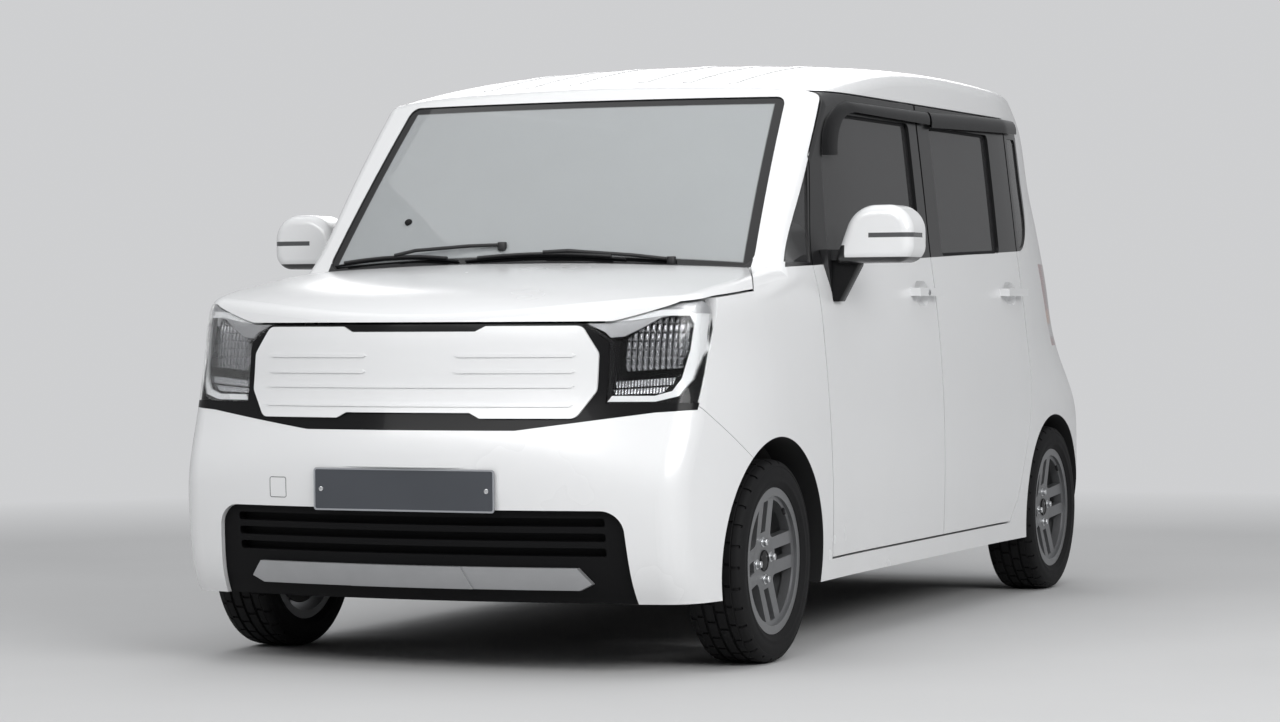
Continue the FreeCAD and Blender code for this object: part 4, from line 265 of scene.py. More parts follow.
def skin_ring(name, node, points, radius, width, view, near, far, shift):
    """A frame of one width along an outline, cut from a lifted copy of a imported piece."""
    outer = cut_plate(name + "_outer", rounded(points, radius), view, near, far)
    inner = cut_plate(name + "_inner", rounded(inset(points, width), max(SMALLEST_CORNER, radius - width)),
                      view, near - RING_OVERCUT, far + RING_OVERCUT)
    tool = combine(outer, inner, "DIFFERENCE")
    return smooth(combine(copy_of(node, name, shift), tool, "INTERSECT"), 30)


# Where lines are cast at the car from, ahead of it and behind it
AHEAD = -3
BEHIND = 3


def surface_at(start, way, nodes):
    """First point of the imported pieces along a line."""
    start, way = Vector(start), Vector(way)
    found = [NODES[name].ray_cast(start, way) for name in nodes]
    places = [place for hit, place, normal, index in found if hit]
    if not places:
        raise ValueError("nothing on the line from %s" % (tuple(start),))
    return min(places, key=lambda place: (place - start).length)


def lofted(name, rows, thick=0.0):
    """Sheet through rows of points, given a thickness."""
    mesh = bpy.data.meshes.new(name)
    obj = bpy.data.objects.new(name, mesh)
    bpy.context.collection.objects.link(obj)
    count = len(rows[0])
    faces = [(i * count + k, i * count + k + 1, (i + 1) * count + k + 1, (i + 1) * count + k)
             for i in range(len(rows) - 1) for k in range(count - 1)]
    mesh.from_pydata([tuple(point) for row in rows for point in row], [], faces)
    if thick:
        solid = obj.modifiers.new("Thickness", "SOLIDIFY")
        solid.thickness = thick
        solid.offset = 0
        apply_all(obj)
    return smooth(closed(obj), 50)


def resampled(points, count):
    """Points spread evenly along a broken line."""
    points = [Vector(point) for point in points]
    lengths = [(b - a).length for a, b in zip(points, points[1:])]
    result = []
    for i in range(count):
        left = sum(lengths) * i / (count - 1)
        for a, b, length in zip(points, points[1:], lengths):
            if left <= length + 0.000001:
                result.append(a.lerp(b, left / length))
                break
            left -= length
    return result


def tube(name, points, radius, sides=12):
    """Round bar along a broken line."""
    curve = bpy.data.curves.new(name, "CURVE")
    curve.dimensions = "3D"
    curve.bevel_depth = radius
    curve.bevel_resolution = sides // 4
    curve.use_fill_caps = True
    spline = curve.splines.new("POLY")
    spline.points.add(len(points) - 1)
    for corner, place in zip(spline.points, points):
        corner.co = (*place, 1)
    obj = bpy.data.objects.new(name, curve)
    bpy.context.collection.objects.link(obj)
    select_only(obj)
    bpy.ops.object.convert(target="MESH")
    return smooth(closed(named(bpy.context.object, name)), 50)


def mirrored_copy(obj, name):
    """The same piece on the other side of the car, with its own mesh."""
    twin = obj.copy()
    twin.data = obj.data.copy()
    bpy.context.collection.objects.link(twin)
    twin.matrix_world = Matrix.Scale(-1, 4, (1, 0, 0))
    apply_place(named(twin, name))
    select_only(twin)
    bpy.ops.object.mode_set(mode="EDIT")
    bpy.ops.mesh.select_all(action="SELECT")
    bpy.ops.mesh.flip_normals()
    bpy.ops.object.mode_set(mode="OBJECT")
    return twin


def joined(objects, name):
    deselect_all()
    for obj in objects:
        obj.select_set(True)
    bpy.context.view_layer.objects.active = objects[0]
    bpy.ops.object.join()
    return named(bpy.context.object, name)


def fitted(obj, body, material):
    """Give a finished piece its material and the body it moves with."""
    obj.data.materials.clear()
    obj.data.materials.append(material)
    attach(obj, body)
    return obj


# Shader groups

# The limit of a band that is open at its low or its high end, and the width of a sharp edge
BELOW_ALL = -9.0
ABOVE_ALL = 9.0
BAND_SOFTNESS = 0.001


def group_socket(tree, name, in_out, kind, default=None):
    socket = tree.interface.new_socket(name=name, in_out=in_out, socket_type=kind)
    if default is not None:
        socket.default_value = default
    return socket


def node(tree, kind, label, inputs=None, **values):
    """Add a shader node; inputs are sockets to link from, or plain values."""
    made = tree.nodes.new(kind)
    made.label = label
    for key, value in values.items():
        setattr(made, key, value)
    for key, value in (inputs or {}).items():
        if isinstance(value, bpy.types.NodeSocket):
            tree.links.new(value, made.inputs[key])
        else:
            made.inputs[key].default_value = value
    return made


def object_place(tree):
    return node(tree, "ShaderNodeTexCoord", "Place").outputs["Object"]


def math_node(tree, operation, first, second=None, label="", clamp=False):
    made = node(tree, "ShaderNodeMath", label or operation.title(), {0: first}, operation=operation,
                use_clamp=clamp)
    if second is not None:
        if isinstance(second, bpy.types.NodeSocket):
            tree.links.new(second, made.inputs[1])
        else:
            made.inputs[1].default_value = second
    return made.outputs[0]


def new_group(name, inputs, outputs):
    tree = bpy.data.node_groups.new(name, "ShaderNodeTree")
    for socket, kind, default in inputs:
        group_socket(tree, socket, "INPUT", kind, default)
    for socket, kind in outputs:
        group_socket(tree, socket, "OUTPUT", kind)
    return tree, tree.nodes.new("NodeGroupInput"), tree.nodes.new("NodeGroupOutput")


def grain_group():
    """Fine noise: a mask for colour and roughness, and a height for bump."""
    tree, start, end = new_group("Fine grain", [("Vector", "NodeSocketVector", None),
                                                ("Scale", "NodeSocketFloat", 400.0),
                                                ("Patches", "NodeSocketFloat", 6.0)],
                                 [("Height", "NodeSocketFloat"), ("Mask", "NodeSocketFloat")])
    fine = node(tree, "ShaderNodeTexNoise", "Fine", {"Vector": start.outputs["Vector"],
                                                     "Scale": start.outputs["Scale"],
                                                     "Detail": 3.0, "Roughness": 0.6})
    broad = node(tree, "ShaderNodeTexNoise", "Broad", {"Vector": start.outputs["Vector"],
                                                       "Scale": start.outputs["Patches"],
                                                       "Detail": 4.0, "Roughness": 0.55})
    tree.links.new(fine.outputs["Fac"], end.inputs["Height"])
    tree.links.new(broad.outputs["Fac"], end.inputs["Mask"])
    return tree


def dust_group():
    """Road dust that thins out with height, broken up by noise."""
    tree, start, end = new_group("Road dust", [("Vector", "NodeSocketVector", None),
                                               ("Low", "NodeSocketFloat", 0.15),
                                               ("High", "NodeSocketFloat", 0.6),
                                               ("Amount", "NodeSocketFloat", 0.4)],
                                 [("Mask", "NodeSocketFloat")])
    split = node(tree, "ShaderNodeSeparateXYZ", "Axes", {0: start.outputs["Vector"]})
    fade = node(tree, "ShaderNodeMapRange", "Fade with height",
                {"Value": split.outputs["Z"], "From Min": start.outputs["High"],
                 "From Max": start.outputs["Low"]})
    cloud = node(tree, "ShaderNodeTexNoise", "Cloud", {"Vector": start.outputs["Vector"],
                                                       "Scale": 9.0, "Detail": 6.0, "Roughness": 0.65})
    broken = math_node(tree, "MULTIPLY", fade.outputs["Result"], cloud.outputs["Fac"], "Broken up")
    amount = math_node(tree, "MULTIPLY", broken, start.outputs["Amount"], "Amount", clamp=True)
    tree.links.new(amount, end.inputs["Mask"])
    return tree


def band_group():
    """Mask that is 1 where a value lies between two limits, with soft edges."""
    tree, start, end = new_group("Band", [("Value", "NodeSocketFloat", 0.0),
                                          ("Low", "NodeSocketFloat", 0.0),
                                          ("High", "NodeSocketFloat", 1.0),
                                          ("Softness", "NodeSocketFloat", BAND_SOFTNESS)],
                                 [("Mask", "NodeSocketFloat")])
    value = start.outputs["Value"]
    above = math_node(tree, "SUBTRACT", value, start.outputs["Low"], "Above low")
    above = math_node(tree, "DIVIDE", above, start.outputs["Softness"], "Low edge", clamp=True)
    below = math_node(tree, "SUBTRACT", start.outputs["High"], value, "Below high")
    below = math_node(tree, "DIVIDE", below, start.outputs["Softness"], "High edge", clamp=True)
    tree.links.new(math_node(tree, "MULTIPLY", above, below, "Band"), end.inputs["Mask"])
    return tree


def wear_group():
    """Edge wear: a thin broken line where the surface turns sharply."""
    tree, start, end = new_group("Edge wear", [("Vector", "NodeSocketVector", None),
                                               ("Width", "NodeSocketFloat", 0.004),
                                               ("Amount", "NodeSocketFloat", 0.5)],
                                 [("Mask", "NodeSocketFloat")])
    edge = node(tree, "ShaderNodeBevel", "Rounded", {"Radius": start.outputs["Width"]}, samples=4)
    flat = node(tree, "ShaderNodeNewGeometry", "Flat")
    likeness = node(tree, "ShaderNodeVectorMath", "Likeness", {0: edge.outputs["Normal"],
                                                               1: flat.outputs["Normal"]},
                    operation="DOT_PRODUCT")
    turned = math_node(tree, "SUBTRACT", 1.0, likeness.outputs["Value"], "Turned")
    strong = math_node(tree, "MULTIPLY", turned, 12.0, "Strong", clamp=True)
    cloud = node(tree, "ShaderNodeTexNoise", "Broken", {"Vector": start.outputs["Vector"],
                                                        "Scale": 60.0, "Detail": 4.0})
    broken = math_node(tree, "MULTIPLY", strong, cloud.outputs["Fac"], "Broken line")
    tree.links.new(math_node(tree, "MULTIPLY", broken, start.outputs["Amount"], "Amount", clamp=True),
                   end.inputs["Mask"])
    return tree


GROUPS = {}


def shared(tree, name, label, inputs):
    """Place one of the shared groups in a material."""
    makers = {"Fine grain": grain_group, "Road dust": dust_group, "Band": band_group,
              "Edge wear": wear_group}
    if name not in GROUPS:
        GROUPS[name] = makers[name]()
    made = tree.nodes.new("ShaderNodeGroup")
    made.node_tree = GROUPS[name]
    made.label = label
    for key, value in inputs.items():
        if isinstance(value, bpy.types.NodeSocket):
            tree.links.new(value, made.inputs[key])
        else:
            made.inputs[key].default_value = value
    return made


def blended(tree, mask, first, second, label):
    """Mix two colours by a mask."""
    made = node(tree, "ShaderNodeMix", label, data_type="RGBA")
    for index, value in ((0, mask), (6, first), (7, second)):
        if isinstance(value, bpy.types.NodeSocket):
            tree.links.new(value, made.inputs[index])
        elif index == 0:
            made.inputs[0].default_value = value
        else:
            made.inputs[index].default_value = (*value[:3], 1)
    return made.outputs[2]


def ranged(tree, value, low, high, label):
    """Stretch a 0 to 1 value between two limits."""
    made = node(tree, "ShaderNodeMapRange", label, {"Value": value, "To Min": low, "To Max": high})
    return made.outputs["Result"]


def bumped(tree, height, strength, distance):
    made = node(tree, "ShaderNodeBump", "Relief", {"Height": height, "Strength": strength,
                                                   "Distance": distance})
    return made.outputs["Normal"]


def start_material(name):
    material = bpy.data.materials.new(name)
    material.use_nodes = True
    tree = material.node_tree
    surface = tree.nodes["Principled BSDF"]
    return material, tree, surface


# Finishes

WHEEL_HEIGHT = 0.27
FRONT_AXLE_Y = -1.1625
REAR_AXLE_Y = 1.3575
# Each wheel arch's axle and radius, and how far its dark inner side reaches past that
ARCHES = ((FRONT_AXLE_Y, 0.328), (REAR_AXLE_Y, 0.309))
ARCH_EDGE = 0.0012
ARCH_SOFTNESS = 0.0008


def between(tree, label, value, low=BELOW_ALL, high=ABOVE_ALL, softness=BAND_SOFTNESS):
    """Mask of the places where a value lies between two limits."""
    return shared(tree, "Band", label, {"Value": value, "Low": low, "High": high,
                                        "Softness": softness}).outputs["Mask"]


def added(tree, value, mask, amount, label, clamp=False):
    """Add an amount to a value where the mask is white."""
    return math_node(tree, "ADD", value, math_node(tree, "MULTIPLY", mask, amount), label, clamp=clamp)


def window_band(tree, place):
    """Mask of the black band round the side windows, from the windscreen pillar to the quarter glass."""
    car = settings()
    split = node(tree, "ShaderNodeSeparateXYZ", "Axes", {0: place})
    y, z = split.outputs["Y"], split.outputs["Z"]
    rise = math_node(tree, "MULTIPLY", y, car.belt_slope, "Rise")
    sloped = math_node(tree, "SUBTRACT", z, rise, "Belt height")
    back = math_node(tree, "MAXIMUM", math_node(tree, "SUBTRACT", y, car.band_rear - car.band_corner), 0.0,
                     "Past the corner")
    corner_height = car.belt_height + car.band_corner
    down = math_node(tree, "MAXIMUM", math_node(tree, "SUBTRACT", corner_height, sloped), 0.0,
                     "Below the corner")
    squares = math_node(tree, "ADD", math_node(tree, "POWER", back, 2.0), math_node(tree, "POWER", down, 2.0))
    reach = math_node(tree, "SQRT", squares, label="Reach")
    inside = between(tree, "Inside the corner", reach, high=car.band_corner)
    below_rail = between(tree, "Below the roof rail", z, high=car.band_top)
    pillar = math_node(tree, "SUBTRACT", y, math_node(tree, "MULTIPLY", z, car.pillar_slope), "Pillar line")
    behind = between(tree, "Behind the pillar", pillar, low=car.pillar_place)
    both = math_node(tree, "MULTIPLY", inside, below_rail)
    return math_node(tree, "MULTIPLY", both, behind, "Window band")


def facing_in(tree, place, axis):
    """Mask of the faces that look into the cabin: sideways, down or forwards."""
    normal = node(tree, "ShaderNodeTexCoord", "Facing").outputs["Normal"]
    out = node(tree, "ShaderNodeSeparateXYZ", "Facing axes", {0: normal}).outputs[axis]
    if axis == "X":
        where = node(tree, "ShaderNodeSeparateXYZ", "Side", {0: place}).outputs["X"]
        out = math_node(tree, "MULTIPLY", math_node(tree, "SIGN", where), out)
    value = math_node(tree, "MULTIPLY", out, -1.0)
    return between(tree, "Faces in", value, low=0.5, softness=0.05)


# Heights and places of the door mirror's black foot, its arm and its dark strip
FOOT_TOP_Z = 1.078
ARM_END_X = 0.806
ARM_TOP_Z = 1.112
STRIP_LOW_Z = 1.131
STRIP_TOP_Z = 1.145
STRIP_START_X = 0.876
STRIP_REAR_Y = -0.598


def mirror_marks(tree, place):
    """Masks of the door mirror's black foot and of the dark strip round its outer end."""
    split = node(tree, "ShaderNodeSeparateXYZ", "Axes", {0: place})
    out = math_node(tree, "ABSOLUTE", split.outputs["X"])
    foot = between(tree, "Black foot", split.outputs["Z"], high=FOOT_TOP_Z)
    near = between(tree, "Near the door", out, high=ARM_END_X)
    low = between(tree, "Arm height", split.outputs["Z"], high=ARM_TOP_Z)
    arm = math_node(tree, "MULTIPLY", near, low, "Arm")
    strip = between(tree, "Strip height", split.outputs["Z"], STRIP_LOW_Z, STRIP_TOP_Z)
    reach = between(tree, "Strip length", out, low=STRIP_START_X)
    ahead = between(tree, "Strip ahead", split.outputs["Y"], high=STRIP_REAR_Y)
    line = math_node(tree, "MULTIPLY", strip, reach)
    black = math_node(tree, "MAXIMUM", foot, arm, "Black parts")
    return black, math_node(tree, "MULTIPLY", line, ahead, "Strip")


def arch_mask(tree, place):
    """Mask of the dark inner side of the wheel arches: what is nearer to a wheel than the arch's edge."""
    split = node(tree, "ShaderNodeSeparateXYZ", "Axes", {0: place})
    inside = 0.0
    for centre, radius in ARCHES:
        along = math_node(tree, "POWER", math_node(tree, "SUBTRACT", split.outputs["Y"], centre), 2.0)
        above = math_node(tree, "SUBTRACT", split.outputs["Z"], WHEEL_HEIGHT)
        high = math_node(tree, "POWER", above, 2.0)
        reach = math_node(tree, "SQRT", math_node(tree, "ADD", along, high), label="From the hub")
        near = between(tree, "Inside the arch", reach, high=radius + ARCH_EDGE, softness=ARCH_SOFTNESS)
        inside = math_node(tree, "MAXIMUM", near, inside, "Arches")
    return inside


# Weight of the clear coat, and the share of it that the window band goes without
COAT = 0.7
BAND_BARE = 0.7
SOFT_BLACK = (0.012, 0.012, 0.013)
STRIP_GREY = (0.07, 0.072, 0.075)
LINER_BLACK = (0.006, 0.006, 0.0065)


def white_paint(name, band=False, lining=None, mirror=False):
    """Clear-coated white paint with dark wheel arches, and a black window band, a cabin lining or the
    marks of a mirror where asked."""
    car = settings()
    material, tree, surface = start_material(name)
    place = object_place(tree)
    grain = shared(tree, "Fine grain", "Paint texture", {"Vector": place, "Scale": 900.0, "Patches": 1.5})
    dust = shared(tree, "Road dust", "Sill dust", {"Vector": place, "Low": 0.12, "High": 0.55,
                                                   "Amount": car.dust})
    colour = blended(tree, grain.outputs["Mask"], car.paint, [c * 0.965 for c in car.paint], "White paint")
    colour = blended(tree, dust.outputs["Mask"], colour, car.dust_colour, "Dusty paint")
    rough = ranged(tree, grain.outputs["Mask"], 0.22, 0.3, "Paint gloss")
    if band:
        mask = window_band(tree, place)
        colour = blended(tree, mask, colour, car.band_colour, "Black band")
        rough = added(tree, rough, mask, 0.03, "Band gloss")
    if mirror:
        foot, strip = mirror_marks(tree, place)
        colour = blended(tree, foot, colour, SOFT_BLACK, "Black foot")
        colour = blended(tree, strip, colour, STRIP_GREY, "Dark strip")
        rough = added(tree, rough, foot, 0.2, "Foot gloss")
    arch = arch_mask(tree, place)
    colour = blended(tree, arch, colour, LINER_BLACK, "Arch liner")
    rough = added(tree, rough, arch, 0.5, "Liner gloss", clamp=True)
    if lining:
        inside = facing_in(tree, place, lining)
        colour = blended(tree, inside, colour, car.lining_colour, "Cabin lining")
        rough = added(tree, rough, inside, 0.45, "Lining", clamp=True)
    tree.links.new(colour, surface.inputs["Base Color"])
    tree.links.new(rough, surface.inputs["Roughness"])
    bare = arch
    if band:
        bare = math_node(tree, "MAXIMUM", arch, math_node(tree, "MULTIPLY", mask, BAND_BARE), "Bare")
    coat = math_node(tree, "SUBTRACT", COAT, math_node(tree, "MULTIPLY", bare, COAT), "Coat")
    tree.links.new(coat, surface.inputs["Coat Weight"])
    surface.inputs["Coat Roughness"].default_value = 0.18
    tree.links.new(bumped(tree, grain.outputs["Height"], 0.02, 0.0003), surface.inputs["Normal"])
    return material


def plastic(name, colour, gloss, scale=700.0, relief=0.25, dusty=0.0, wear=0.0):
    """Moulded plastic with a fine grain, dust low down and pale worn edges."""
    material, tree, surface = start_material(name)
    place = object_place(tree)
    grain = shared(tree, "Fine grain", "Moulded grain", {"Vector": place, "Scale": scale, "Patches": 4.0})
    out = blended(tree, grain.outputs["Mask"], [c * 0.85 for c in colour], [min(1, c * 1.15) for c in colour],
                  "Plastic")
    if dusty:
        dust = shared(tree, "Road dust", "Dust", {"Vector": place, "Low": 0.05, "High": 0.7, "Amount": dusty})
        out = blended(tree, dust.outputs["Mask"], out, settings().dust_colour, "Dusty plastic")
    if wear:
        worn = shared(tree, "Edge wear", "Worn edges", {"Vector": place, "Width": 0.003, "Amount": wear})
        out = blended(tree, worn.outputs["Mask"], out, [min(1, c * 2 + 0.08) for c in colour], "Worn plastic")
    tree.links.new(out, surface.inputs["Base Color"])
    tree.links.new(ranged(tree, grain.outputs["Mask"], gloss, min(1, gloss + 0.12), "Gloss"),
                   surface.inputs["Roughness"])
    tree.links.new(bumped(tree, grain.outputs["Height"], relief, 0.0004), surface.inputs["Normal"])
    return material


def dull(material):
    """Hold back the shine of a plastic."""
    material.node_tree.nodes["Principled BSDF"].inputs["Specular IOR Level"].default_value = 0.15
    return material


def piano_black(name):
    """Black gloss plastic with a hard clear coat."""
    material = plastic(name, settings().band_colour, 0.12, 1200.0, 0.03)
    surface = material.node_tree.nodes["Principled BSDF"]
    surface.inputs["Specular IOR Level"].default_value = 0.1
    surface.inputs["Coat Weight"].default_value = 0.05
    surface.inputs["Coat Roughness"].default_value = 0.03
    return material


def metal(name, colour, gloss, scale=500.0, relief=0.1, dirty=0.0, metallic=1.0, wear=0.0):
    """Bare or painted metal with patchy gloss and grime."""
    material, tree, surface = start_material(name)
    place = object_place(tree)
    grain = shared(tree, "Fine grain", "Metal grain", {"Vector": place, "Scale": scale, "Patches": 12.0})
    out = blended(tree, grain.outputs["Mask"], [c * 0.9 for c in colour], [min(1, c * 1.08) for c in colour],
                  "Metal")
    if dirty:
        dust = shared(tree, "Road dust", "Grime", {"Vector": place, "Low": -0.2, "High": 1.0,
                                                   "Amount": dirty})
        out = blended(tree, dust.outputs["Mask"], out, [0.09, 0.08, 0.07], "Grimy metal")
    if wear:
        worn = shared(tree, "Edge wear", "Bright edges", {"Vector": place, "Width": 0.003, "Amount": wear})
        out = blended(tree, worn.outputs["Mask"], out, [min(1, c * 1.6 + 0.05) for c in colour], "Worn metal")
    tree.links.new(out, surface.inputs["Base Color"])
    surface.inputs["Metallic"].default_value = metallic
    tree.links.new(ranged(tree, grain.outputs["Mask"], gloss, min(1, gloss + 0.14), "Gloss"),
                   surface.inputs["Roughness"])
    tree.links.new(bumped(tree, grain.outputs["Height"], relief, 0.0004), surface.inputs["Normal"])
    return material


def fluted_metal(name, colour, gloss, pitch, rows=0.0):
    """Plated reflector with moulded upright flutes, crossed by rows where asked."""
    material = metal(name, colour, gloss, 250.0, 0.03)
    tree = material.node_tree
    surface = tree.nodes["Principled BSDF"]
    split = node(tree, "ShaderNodeSeparateXYZ", "Flute axes", {0: object_place(tree)})
    height = math_node(tree, "ABSOLUTE", math_node(tree, "SINE", math_node(
        tree, "MULTIPLY", split.outputs["X"], math.pi / pitch)), label="Flutes")
    if rows:
        across = math_node(tree, "ABSOLUTE", math_node(tree, "SINE", math_node(
            tree, "MULTIPLY", split.outputs["Z"], math.pi / rows)))
        height = math_node(tree, "MINIMUM", height, math_node(tree, "ADD", across, 0.25), "Rows")
    tree.links.new(bumped(tree, height, 1.0, pitch * 0.35), surface.inputs["Normal"])
    return material


def glass(name, colour, transmission, rough=0.02, border=None, solid=1.0):
    """Tinted glass; border makes the mask of a printed black edge, and solid is the glass's opacity."""
    material, tree, surface = start_material(name)
    place = object_place(tree)
    grain = shared(tree, "Fine grain", "Film", {"Vector": place, "Scale": 60.0, "Patches": 1.2})
    out = blended(tree, grain.outputs["Mask"], colour, [c * 0.85 for c in colour], "Tint")
    if border:
        out = blended(tree, border(tree, place), out, SOFT_BLACK, "Printed edge")
    tree.links.new(out, surface.inputs["Base Color"])
    tree.links.new(ranged(tree, grain.outputs["Mask"], rough, rough + 0.03, "Polish"),
                   surface.inputs["Roughness"])
    surface.inputs["Transmission Weight"].default_value = transmission
    surface.inputs["IOR"].default_value = 1.5
    surface.inputs["Alpha"].default_value = solid
    return material


# The windscreen's printed border: its leaning sides, its top and its bowed foot
SCREEN_SIDE = 0.757
SCREEN_SIDE_LEAN = 0.129
SCREEN_TOP_Z = 1.512
SCREEN_FOOT_Z = 1.088
SCREEN_FOOT_BOW = 0.06


def screen_border(tree, place):
    """Printed border of the windscreen."""
    split = node(tree, "ShaderNodeSeparateXYZ", "Axes", {0: place})
    x = math_node(tree, "ABSOLUTE", split.outputs["X"])
    z = split.outputs["Z"]
    lean = math_node(tree, "ADD", x, math_node(tree, "MULTIPLY", z, SCREEN_SIDE_LEAN), "Side line")
    side = between(tree, "Side border", lean, low=SCREEN_SIDE, softness=0.004)
    top = between(tree, "Top border", z, low=SCREEN_TOP_Z, softness=0.003)
    bow = math_node(tree, "MULTIPLY", math_node(tree, "POWER", x, 2.0), SCREEN_FOOT_BOW, "Foot curve")
    foot = math_node(tree, "ADD", z, bow, "Foot line")
    low = between(tree, "Foot border", foot, high=SCREEN_FOOT_Z, softness=0.004)
    return math_node(tree, "MAXIMUM", math_node(tree, "MAXIMUM", side, top), low, "Border")


def rubber(name, colour):
    """Matt rubber with a fine grain and a little road dust."""
    material, tree, surface = start_material(name)
    place = object_place(tree)
    grain = shared(tree, "Fine grain", "Rubber grain", {"Vector": place, "Scale": 500.0, "Patches": 14.0})
    dust = shared(tree, "Road dust", "Road dust", {"Vector": place, "Low": -0.3, "High": 0.62,
                                                   "Amount": 0.04})
    out = blended(tree, grain.outputs["Mask"], colour, [c * 1.6 for c in colour], "Rubber")
    out = blended(tree, dust.outputs["Mask"], out, [0.17, 0.16, 0.15], "Dusty rubber")
    tree.links.new(out, surface.inputs["Base Color"])
    tree.links.new(ranged(tree, grain.outputs["Mask"], 0.6, 0.8, "Sheen"), surface.inputs["Roughness"])
    surface.inputs["Specular IOR Level"].default_value = 0.16
    tree.links.new(bumped(tree, grain.outputs["Height"], 0.3, 0.0006), surface.inputs["Normal"])
    return material


# Threads of the cloth, in radians for each metre, and the pitch of the seats' sewn ribs
THREADS = 1800.0
RIB_PITCH = 0.055


def woven(name, colour, panels=None):
    """Cloth: crossed threads and fuzz; panels gives the half width of a ribbed seat middle and its centre."""
    material, tree, surface = start_material(name)
    place = object_place(tree)
    split = node(tree, "ShaderNodeSeparateXYZ", "Axes", {0: place})
    across = math_node(tree, "SINE", math_node(tree, "MULTIPLY", split.outputs["X"], THREADS), label="Weft")
    depth = math_node(tree, "ADD", split.outputs["Y"], split.outputs["Z"], "Along")
    along = math_node(tree, "SINE", math_node(tree, "MULTIPLY", depth, THREADS), label="Warp")
    threads = math_node(tree, "MULTIPLY", across, along, "Threads")
    grain = shared(tree, "Fine grain", "Fuzz", {"Vector": place, "Scale": 800.0, "Patches": 7.0})
    out = blended(tree, grain.outputs["Mask"], colour, [c * 1.5 for c in colour], "Cloth")
    height = added(tree, grain.outputs["Height"], threads, 0.3, "Weave")
    if panels:
        half, middle = panels
        off = math_node(tree, "SUBTRACT", math_node(tree, "ABSOLUTE", split.outputs["X"]), middle)
        off = math_node(tree, "ABSOLUTE", off, label="From the seat's middle")
        insert = between(tree, "Seat middle", off, high=half, softness=0.003)
        seam = between(tree, "Seam", off, half - 0.002, half + 0.004, 0.002)
        out = blended(tree, insert, out, [c * 2.6 for c in colour], "Pale middle")
        out = blended(tree, seam, out, [c * 0.3 for c in colour], "Seam")
        wave = math_node(tree, "SINE", math_node(tree, "MULTIPLY", depth, math.pi / RIB_PITCH))
        ribs = math_node(tree, "POWER", math_node(tree, "ABSOLUTE", wave, label="Ribs"), 0.4)
        height = added(tree, height, math_node(tree, "MULTIPLY", ribs, insert, "Sewn ribs"), 9.0,
                       "Ribbed weave")
    tree.links.new(out, surface.inputs["Base Color"])
    surface.inputs["Roughness"].default_value = 0.85
    surface.inputs["Sheen Weight"].default_value = 0.3
    tree.links.new(bumped(tree, height, 0.35, 0.0006), surface.inputs["Normal"])
    return material


# Heights that bound the tail lamps' clear window, and then the amber one above it
TAIL_WINDOWS = (0.835, 0.88, 0.925)


def lamp_red(name, windows=None):
    """Red lamp lens with moulded flutes, and a clear and an amber window where asked."""
    car = settings()
    material, tree, surface = start_material(name)
    place = object_place(tree)
    z = node(tree, "ShaderNodeSeparateXYZ", "Axes", {0: place}).outputs["Z"]
    flutes = math_node(tree, "SINE", math_node(tree, "MULTIPLY", z, 900.0), label="Flutes")
    grain = shared(tree, "Fine grain", "Lens", {"Vector": place, "Scale": 300.0, "Patches": 9.0})
    out = blended(tree, grain.outputs["Mask"], car.lamp_red, [c * 0.6 for c in car.lamp_red], "Red")
    if windows:
        low, middle, top = windows
        out = blended(tree, between(tree, "Pale window", z, low, middle), out, (0.62, 0.62, 0.63),
                      "Clear window")
        out = blended(tree, between(tree, "Amber window", z, middle, top), out, (0.62, 0.2, 0.02),
                      "Amber window")
    tree.links.new(out, surface.inputs["Base Color"])
    surface.inputs["Roughness"].default_value = 0.08
    surface.inputs["Coat Weight"].default_value = 1.0
    tree.links.new(bumped(tree, flutes, 0.15, 0.0008), surface.inputs["Normal"])
    return material


MATERIALS = {}


